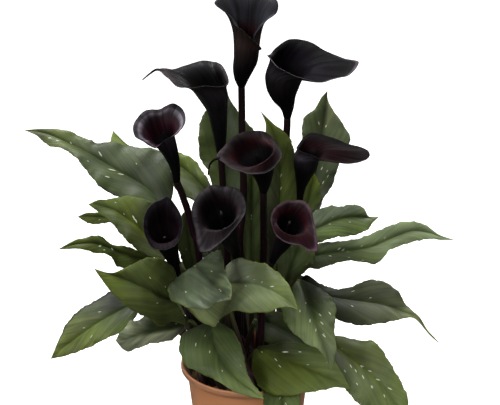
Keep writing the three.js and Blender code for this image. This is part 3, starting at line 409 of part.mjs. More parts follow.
      [[-14.1,-32.2,281.5],[-19,-38.8,298.6],[-26.9,-47.7,317],[-35.8,-56.2,335.4],[-41.1,-57.4,345.5],[-46.3,-58,355.4],[-46.1,-70.5,367.5],[-55.1,-65.5,370.1]],
      [[-12.4,-31.2,282.1],[-16.6,-37.5,299.9],[-23.2,-45.9,319.2],[-30.4,-53.4,338.6],[-34.4,-53.8,348.9],[-38.5,-53.6,359.6],[-42.1,-66.1,370.9],[-47.4,-58,375.8]],
      [[-10.8,-31.1,282.3],[-14.1,-37.4,300.6],[-19.6,-45.7,320.4],[-25,-53.3,340.4],[-27.8,-53.6,351],[-30.7,-53.4,361.8],[-36.5,-61.8,372.5],[-37.8,-53.3,378.8]],
      [[-9.6,-31.4,282.3],[-12.3,-37.9,300.8],[-16.7,-46.5,320.8],[-20.8,-54.5,341.1],[-22.9,-55.2,352.1],[-24.6,-55.3,361.7],[-29,-59.2,371.1],[-27.3,-52.4,377.3]],
      [[-8.6,-31.9,282.3],[-10.9,-38.7,300.7],[-14.6,-47.7,320.7],[-17.7,-56.3,341.1],[-19.2,-57.5,352.4],[-20.4,-58.1,361.7],[-22.2,-57.5,370.4],[-18.8,-52,376.5]],
      [[-7.8,-32.6,282.1],[-9.6,-39.7,300.5],[-12.6,-49.3,320.3],[-14.9,-58.9,340.6],[-16,-60.8,352.3],[-16.8,-61.9,361.1],[-14.3,-58.8,368.3],[-9.5,-55,374.1]],
      [[-7.1,-33.8,281.7],[-8.5,-41.5,299.8],[-10.9,-52,319.1],[-12.4,-62.9,339.2],[-13.1,-66,351.4],[-13.5,-67.4,357.6],[-6.9,-64.8,360.1],[-2.4,-63.9,364]],
      [[-6.9,-35.8,281],[-8.1,-44.3,298.3],[-10.2,-56.1,316.7],[-11.4,-69.3,336.1],[-12.4,-74.3,348.7],[-12.6,-75.4,351.7],[-6.7,-74,349.4],[-4.2,-74.8,351]],
      [[-8.2,-38,280],[-9.8,-47.4,296.2],[-12.7,-60.7,313],[-15.4,-76.3,331.1],[-17.6,-83.3,343.9],[-18.1,-84.6,346.7],[-17.9,-85.8,337.7],[-16.6,-88.4,337.7]],
    ],
  },
  flower_9: {
    c: [[27,-52,288],[31.3,-56,300.5],[37.1,-62,314.2],[42.8,-68,329],[45.9,-72,338.8]],
    stem: [[27,-52,288],[21.6,-47,271.3],[17.2,-45,250.7],[12,-41,118]],
    rs: 3.8,
    tip: [45.7,-76,346.1],
    net: [
      [[28.4,-55.6,286.4],[33.2,-61.2,297.7],[39.9,-69.8,309.8],[46.7,-78.7,323.2],[50.4,-84.5,332.2],[52.4,-87.6,337.2],[56.3,-90.1,324.7],[59.3,-95,323.6]],
      [[26.9,-56,286.8],[31,-61.8,298.3],[36.7,-70.7,310.8],[42.2,-79.9,324.4],[45.2,-85.8,333.3],[46.3,-88,336.8],[47.8,-88.5,325.9],[48.6,-92.3,324.8]],
      [[25.1,-55.7,287.5],[28.4,-61.4,299.5],[32.7,-70.1,312.6],[36.8,-79,326.7],[38.8,-84.6,335.8],[39.4,-86.4,338.7],[39.2,-85.5,328.4],[38.3,-88.6,327.7]],
      [[23.7,-54.5,288.3],[26.4,-59.8,300.9],[29.7,-67.7,314.8],[32.6,-75.6,329.6],[33.9,-80.7,339],[34.2,-82,341.5],[32.4,-82.1,333],[30.6,-84.1,333]],
      [[23.1,-53,289],[25.5,-57.6,302.1],[28.4,-64.4,316.7],[30.8,-71.1,332],[31.8,-75.4,341.7],[32,-76.4,344],[28,-77.1,339.7],[26,-78,340.5]],
      [[23.1,-51.6,289.4],[25.6,-55.5,302.9],[28.5,-61.3,318],[31,-66.8,333.7],[32,-70.4,343.7],[32.3,-71.5,346.6],[27.7,-71.6,346.5],[25.3,-71.8,348.3]],
      [[23.6,-50.2,289.6],[26.4,-53.5,303.3],[29.7,-58.4,318.8],[32.6,-62.9,334.8],[33.9,-65.9,345],[34.5,-67.2,349.3],[31.6,-66.6,352.8],[28.6,-65.5,355.7]],
      [[24.5,-49.1,289.7],[27.7,-51.9,303.4],[31.8,-55.8,319],[35.5,-59.5,335.1],[37.3,-62,345.5],[38.2,-63.3,350.9],[38.7,-62.1,356.2],[36.6,-59.1,360]],
      [[25.8,-48.3,289.5],[29.6,-50.7,303.1],[34.6,-54.1,318.6],[39.3,-57.1,334.7],[41.8,-59.3,345.2],[43.2,-60.7,351.5],[46.5,-59.6,357.2],[46.1,-55,361.4]],
      [[27.1,-48,289.2],[31.5,-50.2,302.6],[37.6,-53.3,317.7],[43.5,-56.1,333.6],[46.6,-58.2,344.2],[48.8,-59.8,351.5],[53.6,-59.9,357.8],[55.7,-54.2,362.1]],
      [[28.5,-48.2,288.6],[33.6,-50.4,301.7],[40.7,-53.6,316.3],[47.8,-56.5,331.9],[51.7,-58.9,342.3],[54.4,-60.5,349.8],[59.3,-63,356.4],[63.7,-57.8,359.9]],
      [[30,-49,287.9],[35.7,-51.6,300.4],[43.8,-55.4,314.3],[52.1,-59.1,329.3],[56.7,-61.9,339.5],[59.5,-63.7,345.8],[63.3,-67.4,351.5],[69.1,-64.4,353.4]],
      [[30.9,-50.8,287],[37,-54.2,299],[45.8,-59.2,311.9],[54.8,-64.3,326.2],[59.9,-68,336],[62.3,-69.8,340.8],[66.5,-73.1,342.9],[71.8,-73,343.2]],
      [[30.8,-52.8,286.4],[36.8,-57,297.9],[45.5,-63.5,310.2],[54.4,-70.2,324],[59.4,-74.8,333.4],[62.1,-77.3,338.7],[68.6,-80.8,333.7],[74.2,-83.2,333.1]],
      [[30.1,-54.2,286.2],[35.8,-59.1,297.5],[43.9,-66.6,309.6],[52.2,-74.4,323.1],[56.8,-79.6,332.2],[60.8,-84.1,340.4],[68.1,-88.5,321.6],[75.4,-94.6,320.3]],
      [[29.4,-55,286.2],[34.6,-60.3,297.5],[42.1,-68.4,309.5],[49.7,-76.9,322.9],[54,-82.4,332],[57.2,-86.8,339.3],[62.4,-91,321.2],[67.9,-97.5,319.5]],
    ],
  },
};

// Small vector helpers on [x, y, z] arrays
const add = (a, b) => [a[0] + b[0], a[1] + b[1], a[2] + b[2]];
const sub = (a, b) => [a[0] - b[0], a[1] - b[1], a[2] - b[2]];
const mul = (a, k) => [a[0] * k, a[1] * k, a[2] * k];
const dot = (a, b) => a[0] * b[0] + a[1] * b[1] + a[2] * b[2];
const cross = (a, b) => [
  a[1] * b[2] - a[2] * b[1],
  a[2] * b[0] - a[0] * b[2],
  a[0] * b[1] - a[1] * b[0],
];
const len = (a) => Math.hypot(a[0], a[1], a[2]);
const unit = (a) => (len(a) > 1e-9 ? mul(a, 1 / len(a)) : [0, 0, 1]);
const mix = (a, b, k) => add(mul(a, 1 - k), mul(b, k));

function bezier(p, u) {
  const v = 1 - u;
  return add(
    add(mul(p[0], v * v * v), mul(p[1], 3 * v * v * u)),
    add(mul(p[2], 3 * v * u * u), mul(p[3], u * u * u)),
  );
}

// A point on the smooth curve through a list of points, u from 0 to 1
function through(points, u) {
  const n = points.length;
  const x = Math.min(Math.max(u, 0), 1) * (n - 1);
  const i = Math.min(Math.floor(x), n - 2);
  const f = x - i;
  const p1 = points[i];
  const p2 = points[i + 1];
  const p0 = i > 0 ? points[i - 1] : sub(mul(p1, 2), p2);
  const p3 = i + 2 < n ? points[i + 2] : sub(mul(p2, 2), p1);
  const out = [0, 0, 0];
  for (let k = 0; k < 3; k++)
    out[k] =
      0.5 *
      (2 * p1[k] +
        (p2[k] - p0[k]) * f +
        (2 * p0[k] - 5 * p1[k] + 4 * p2[k] - p3[k]) * f * f +
        (3 * p1[k] - p0[k] - 3 * p2[k] + p3[k]) * f * f * f);
  return out;
}

// Every vertex of a three.js geometry moved to where the rule says, which gets its place in the undeformed shape
function bend(geometry, rule) {
  const at = geometry.attributes.position;
  for (let i = 0; i < at.count; i++)
    at.setXYZ(i, ...rule(at.getX(i), at.getY(i), at.getZ(i)));
  return closed(geometry);
}

// The same geometry with its shared vertices merged, without the triangles that have shrunk to a line
function closed(geometry) {
  geometry.deleteAttribute("normal");
  geometry.deleteAttribute("uv");
  const merged = mergeVertices(geometry, 1e-3);
  const from = merged.index.array;
  const kept = [];
  for (let i = 0; i < from.length; i += 3) {
    const [p, q, r] = [from[i], from[i + 1], from[i + 2]];
    if (p !== q && q !== r && r !== p) kept.push(p, q, r);
  }
  merged.setIndex(kept);
  return merged;
}

// The volume inside a closed geometry, below zero where its faces point inwards
function volume(geometry) {
  const at = geometry.attributes.position;
  const [p, q, r] = [0, 1, 2].map(() => new THREE.Vector3());
  let sum = 0;
  for (let i = 0; i < geometry.index.count; i += 3) {
    p.fromBufferAttribute(at, geometry.index.getX(i));
    q.fromBufferAttribute(at, geometry.index.getX(i + 1));
    r.fromBufferAttribute(at, geometry.index.getX(i + 2));
    sum += p.dot(q.cross(r)) / 6;
  }
  return sum;
}

function facingOut(geometry) {
  if (volume(geometry) < 0) {
    const turned = Array.from(geometry.index.array);
    for (let i = 0; i < turned.length; i += 3)
      [turned[i + 1], turned[i + 2]] = [turned[i + 2], turned[i + 1]];
    geometry.setIndex(turned);
  }
  return geometry;
}

// A rod bent along a path: a cylinder with one ring of vertices for each path point
function tube(path, radii, sides) {
  const last = path.length - 1;
  const frames = [];
  let side = null;
  path.forEach((p, i) => {
    const t = unit(sub(path[Math.min(i + 1, last)], path[Math.max(i - 1, 0)]));
    side = side || cross([0, 1, 0.01], t);
    side = unit(sub(side, mul(t, dot(side, t))));
    frames.push({ side, other: cross(t, side) });
  });
  return facingOut(
    bend(new THREE.CylinderGeometry(1, 1, last, sides, last), (x, y, z) => {
      const i = Math.round(y + last / 2);
      const { side, other } = frames[i];
      return add(
        path[i],
        add(mul(side, radii[i] * z), mul(other, radii[i] * x)),
      );
    }),
  );
}

// Joins and cuts are made on solids
function solid(geometry) {
  return new Manifold(
    new SolidMesh({
      numProp: 3,
      vertProperties: new Float32Array(geometry.attributes.position.array),
      triVerts: new Uint32Array(geometry.index.array),
    }),
  );
}

function geometryOf(made) {
  const m = made.getMesh();
  const flat = new Float32Array(m.numVert * 3);
  for (let i = 0; i < m.numVert; i++)
    for (let k = 0; k < 3; k++)
      flat[3 * i + k] = m.vertProperties[i * m.numProp + k];
  const geometry = new THREE.BufferGeometry();
  geometry.setAttribute("position", new THREE.BufferAttribute(flat, 3));
  geometry.setIndex(new THREE.BufferAttribute(new Uint32Array(m.triVerts), 1));
  return geometry;
}

// Path of a stalk: a straight root below the soil, in line with its first stretch
function rooted(points, depth) {
  const way = unit(sub(points[0], points[1]));
  return [add(points[0], mul(way, depth / -way[2])), ...points.slice(1)];
}

// Blade: a thin sheet between its left edge, midrib and right edge
function bladeRows(leaf) {
  const n = leaf.m.length;
  const rows = [];
  for (let i = 0; i < n; i++) {
    const t = unit(
      sub(leaf.m[Math.min(i + 1, n - 1)], leaf.m[Math.max(i - 1, 0)]),
    );
    const j = i === n - 1 ? i - 1 : i;
    const up = unit(cross(t, sub(leaf.a[j], leaf.b[j])));
    const row = [];
    for (const s of [-1, -0.5, 0, 0.5, 1]) {
      const edge = s < 0 ? leaf.a[i] : leaf.b[i];
      const w = Math.abs(s);
      const reach = len(sub(edge, leaf.m[i]));
      const at = add(
        mix(leaf.m[i], edge, w),
        mul(up, 4 * w * (1 - w) * LEAF_CAMBER * reach),
      );
      row.push({ at, up, half: w > 0.9 ? LEAF_EDGE_HALF : LEAF_HALF });
    }
    rows.push(row);
  }
  return rows;
}

// The blade is a thin box, four faces wide and one step long for each row, shaped to the table. Its tip closes to a point.
function blade(leaf) {
  const rows = bladeRows(leaf);
  const last = rows.length - 1;
  return facingOut(
    bend(new THREE.BoxGeometry(4, last, 2, 4, last, 1), (x, y, z) => {
      const i = Math.round(y + last / 2);
      const q = rows[i][i === last ? 2 : Math.round(x) + 2];
      const half = i === last ? LEAF_EDGE_HALF : q.half;
      return add(q.at, mul(q.up, z * half));
    }),
  );
}

// The leaf stalk runs on under the midrib, getting thinner, so blade and stalk are one piece
function stalkPath(leaf, spare) {
  const rows = bladeRows(leaf);
  const steps = 6;
  const path = [];
  const radii = [];
  for (let i = 0; i < steps; i++) {
    const u = i / steps;
    path.push(bezier(leaf.p, u));
    radii.push(
      STALK_BASE_RADIUS + (STALK_TOP_RADIUS - STALK_BASE_RADIUS) * u + spare,
    );
  }
  const n = rows.length;
  const run = [0, 0.12, 0.3];
  run.forEach((s, i) => {
    const x = s * (n - 1);
    const j = Math.min(Math.floor(x), n - 2);
    const at = mix(leaf.m[j], leaf.m[j + 1], x - j);
    const up = unit(mix(rows[j][2].up, rows[j + 1][2].up, x - j));
    const r =
      STALK_TOP_RADIUS +
      ((STALK_TIP_RADIUS - STALK_TOP_RADIUS) * i) / (run.length - 1);
    path.push(sub(at, mul(up, r * 0.55)));
    radii.push(r + spare);
  });
  return { path: rooted(path, ROOT_DEPTH), radii };
}

// Spathe: rings up the funnel, then a flare to the free rim, as one rolled sheet with a wall
function spathe(flower) {
  const cols = flower.net.length;
  const flare = [0.3, 0.56, 0.8, 1];
  const outer = [];
  const ringCount = flower.c.length;
  for (let r = 0; r < ringCount; r++)
    outer.push(flower.net.map((c) => c[r]));
  for (const u of flare)
    outer.push(
      flower.net.map((c) =>
        bezier(
          [c[ringCount - 1], c[ringCount], c[ringCount + 1], c[ringCount + 2]],
          u,
        ),
      ),
    );
  const rows = outer.length;
  const centre = (i) =>
    mul(
      outer[i].reduce((s, p) => add(s, p), [0, 0, 0]),
      1 / cols,
    );
  // outward normals, with the sign taken at the rings
  const normals = outer.map((row, i) =>
    row.map((p, k) => {
      const up = sub(
        outer[Math.min(i + 1, rows - 1)][k],
        outer[Math.max(i - 1, 0)][k],
      );
      const round = sub(row[(k + 1) % cols], row[(k + cols - 1) % cols]);
      return unit(cross(round, up));
    }),
  );
  const c1 = centre(1);
  let sign = 0;
  outer[1].forEach((p, k) => (sign += dot(normals[1][k], sub(p, c1))));
  const s = sign < 0 ? -1 : 1;
  // outside from the foot to the rim, then inside from the rim down to the floor of the throat
  const inner = [];
  for (let i = rows - 1; i > 0; i--) {
    const wall = i === rows - 1 ? 0.8 : SPATHE_WALL;
    inner.push(outer[i].map((p, k) => sub(p, mul(normals[i][k], s * wall))));
  }
  const skin = [...outer, ...inner];
  // a turned cup whose profile has one point for each ring, with the ring's number as its height
  const profile = [
    new THREE.Vector2(0, -1),
    ...skin.map((_, j) => new THREE.Vector2(1, j)),
    new THREE.Vector2(0, skin.length),
  ];
  return facingOut(
    bend(new THREE.LatheGeometry(profile, cols), (x, y, z) => {
      const j = Math.round(y);
      if (j < 0) return centre(0);
      if (j === skin.length) return c1;
      const turn = Math.atan2(x, z) / (2 * Math.PI);
      return skin[j][(Math.round(turn * cols) + cols) % cols];
    }),
  );
}

function stemPath(flower, spare) {
  const up = unit(sub(flower.c[1], flower.c[0]));
  const top = sub(flower.c[0], mul(up, JOINT_GAP + 0.25));
  const list = [...flower.stem.slice().reverse().slice(0, -1), top];
  const steps = 9;
  const path = [];
  for (let i = 0; i <= steps; i++) path.push(through(list, i / steps));
  // the last stretch is square to the joint
  path.splice(path.length - 1, 0, sub(top, mul(up, 2.5)));
  const whole = rooted(path, ROOT_DEPTH);
  return {
    path: whole,
    radii: whole.map((_, i) => {
      const u = i / (whole.length - 1);
      return flower.rs * (1.06 - 0.06 * u) + spare;
    }),
  };
}

// Tail: the thin curled point that some rims end in
function tail(flower) {
  const u = [0, 0.2, 0.4, 0.6, 0.8, 1];
  return tube(
    u.map((x) => through(flower.tail, x)),
    u.map((x) => TAIL_RADIUS + (TAIL_TIP_RADIUS - TAIL_RADIUS) * x),
    6,
  );
}

// Spadix: the rod in the throat, standing on the bottom of the funnel
function spadix(flower) {
  const up = unit(sub(flower.c[2], flower.c[1]));
  const foot = add(flower.c[1], mul(up, JOINT_GAP + 0.25));
  const list = [foot, flower.c[2], flower.c[3], flower.tip];
  const shape = [
    [0, 0.55],
    [0.14, 0.72],
    [0.4, 1],
    [0.68, 0.94],
    [0.88, 0.72],
    [0.97, 0.4],
    [1, 0.12],
  ];
  return tube(
    shape.map((q) => through(list, q[0])),
    shape.map((q) => q[1] * SPADIX_RADIUS),
    7,
  );
}

function lathe(profile, segments) {
  return facingOut(
    closed(
      new THREE.LatheGeometry(
        profile.map((p) => new THREE.Vector2(p[0], p[1])),
        segments,
      ).rotateX(Math.PI / 2),
    ),
  );
}

function potShell() {
  const h = POT_HEIGHT;
  const inTop = LIP_RADIUS - POT_WALL - 0.6;
  const wallIn = WALL_TOP_RADIUS - POT_WALL;
  const floorIn = BASE_RADIUS - POT_WALL + 0.4;
  return lathe(
    [
      [0, 0],
      [BASE_RADIUS - 1.5, 0],
      [BASE_RADIUS, 1.5],
      [WALL_TOP_RADIUS, h - LIP_DROP],
      [LIP_RADIUS - 0.9, h - LIP_DROP + 0.4],
      [LIP_RADIUS, h - LIP_DROP + 1.6],
      [LIP_RADIUS, h - 1.6],
      [LIP_RADIUS - 1.4, h],
      [inTop + 0.8, h],
      [inTop, h - 0.9],
      [wallIn, h - LIP_DROP - 3],
      [floorIn, POT_FLOOR],
      [0, POT_FLOOR],
    ],
    48,
  );
}

function soilBed(sockets) {
  const wallIn = WALL_TOP_RADIUS - POT_WALL;
  const floorIn = BASE_RADIUS - POT_WALL + 0.4;
  const top = SOIL_LEVEL - SOIL_MOUND;
  const inside = (z) =>
    floorIn +
    ((wallIn - floorIn) * (z - POT_FLOOR)) /
      (POT_HEIGHT - LIP_DROP - 3 - POT_FLOOR) -
    0.5;
  const bottom = POT_FLOOR + 0.35;
  const body = lathe(
    [
      [0, bottom],
      [inside(bottom), bottom],
      [inside(top), top],
      [inside(top) * 0.8, top + SOIL_MOUND * 0.8],
      [inside(top) * 0.4, SOIL_LEVEL],
      [0, SOIL_LEVEL],
    ],
    36,
  );
  return geometryOf(
    sockets
      .reduce((s, hole) => s.subtract(solid(hole)), solid(body))
      .simplify(FACET),
  );
}

const root = new THREE.Group();
const look = {
  pot: new THREE.MeshStandardMaterial({ color: 0xb5714f, roughness: 0.6 }),
  soil: new THREE.MeshStandardMaterial({ color: 0x2a1c15, roughness: 1 }),
  leaf: new THREE.MeshStandardMaterial({ color: 0x3f5a35, roughness: 0.45 }),
  stem: new THREE.MeshStandardMaterial({ color: 0x241a20, roughness: 0.4 }),
  spathe: new THREE.MeshStandardMaterial({ color: 0x1b141c, roughness: 0.4 }),
  spadix: new THREE.MeshStandardMaterial({ color: 0x4a3a2c, roughness: 0.7 }),
};

function place(name, geometry, material) {
  geometry.computeVertexNormals();
  const mesh = new THREE.Mesh(geometry, material);
  mesh.name = name;
  root.add(mesh);
}

const sockets = [];
for (const [name, leaf] of Object.entries(leafTable)) {
  const stalk = stalkPath(leaf, 0);
  const wide = stalkPath(leaf, SOCKET_GAP);
  place(
    name,
    geometryOf(
      solid(blade(leaf))
        .add(solid(tube(stalk.path, stalk.radii, 6)))
        .simplify(FACET),
    ),
    look.leaf,
  );
  sockets.push(
    tube(
      rooted(wide.path.slice(0, 2), SOCKET_GAP),
      wide.radii.slice(0, 2),
      6,
    ),
  );
}
for (const [name, flower] of Object.entries(flowerTable)) {
  const stem = stemPath(flower, 0);
  const wide = stemPath(flower, SOCKET_GAP);
  place(name + "_stem", tube(stem.path, stem.radii, 8), look.stem);
  const funnel = spathe(flower);
  place(
    name + "_spathe",
    flower.tail
      ? geometryOf(
          solid(funnel).add(solid(tail(flower))).simplify(FACET),
        )
      : funnel,
    look.spathe,
  );
  place(name + "_spadix", spadix(flower), look.spadix);
  sockets.push(
    tube(
      rooted(wide.path.slice(0, 2), SOCKET_GAP),
      wide.radii.slice(0, 2),
      8,
    ),
  );
}
place("pot", potShell(), look.pot);
place("soil", soilBed(sockets), look.soil);

export default root;
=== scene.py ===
# Looks of the potted calla lily: leaves, stalks, funnel flowers, soil and pot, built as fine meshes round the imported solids.
# The tables and the shape functions are in millimetres, and the finished meshes in metres, +Z up, in the part's own frame.
import math

import bpy
import numpy as np
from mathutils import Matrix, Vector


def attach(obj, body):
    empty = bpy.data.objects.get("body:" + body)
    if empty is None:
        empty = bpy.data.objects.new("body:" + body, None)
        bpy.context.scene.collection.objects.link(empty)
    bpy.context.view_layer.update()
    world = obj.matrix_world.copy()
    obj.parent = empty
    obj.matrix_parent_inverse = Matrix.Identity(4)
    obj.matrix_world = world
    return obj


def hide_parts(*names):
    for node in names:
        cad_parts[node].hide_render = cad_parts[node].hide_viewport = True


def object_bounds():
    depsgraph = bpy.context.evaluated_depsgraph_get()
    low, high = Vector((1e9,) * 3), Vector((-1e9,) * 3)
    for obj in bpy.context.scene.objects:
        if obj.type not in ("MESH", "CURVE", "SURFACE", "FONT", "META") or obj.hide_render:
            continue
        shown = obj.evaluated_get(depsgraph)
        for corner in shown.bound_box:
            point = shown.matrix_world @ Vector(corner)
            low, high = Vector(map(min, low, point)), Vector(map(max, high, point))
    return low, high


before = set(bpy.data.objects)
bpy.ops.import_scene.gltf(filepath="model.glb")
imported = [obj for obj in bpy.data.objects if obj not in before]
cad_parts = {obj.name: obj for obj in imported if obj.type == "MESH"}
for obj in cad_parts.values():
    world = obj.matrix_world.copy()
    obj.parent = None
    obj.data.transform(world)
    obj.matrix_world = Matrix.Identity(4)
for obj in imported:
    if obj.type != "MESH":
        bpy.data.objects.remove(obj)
cad_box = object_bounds()

MM = 0.001
SOIL_LEVEL = 118.0
SOIL_MOUND = 2.5
LIP_RADIUS = 80.0
POT_HEIGHT = 138.5

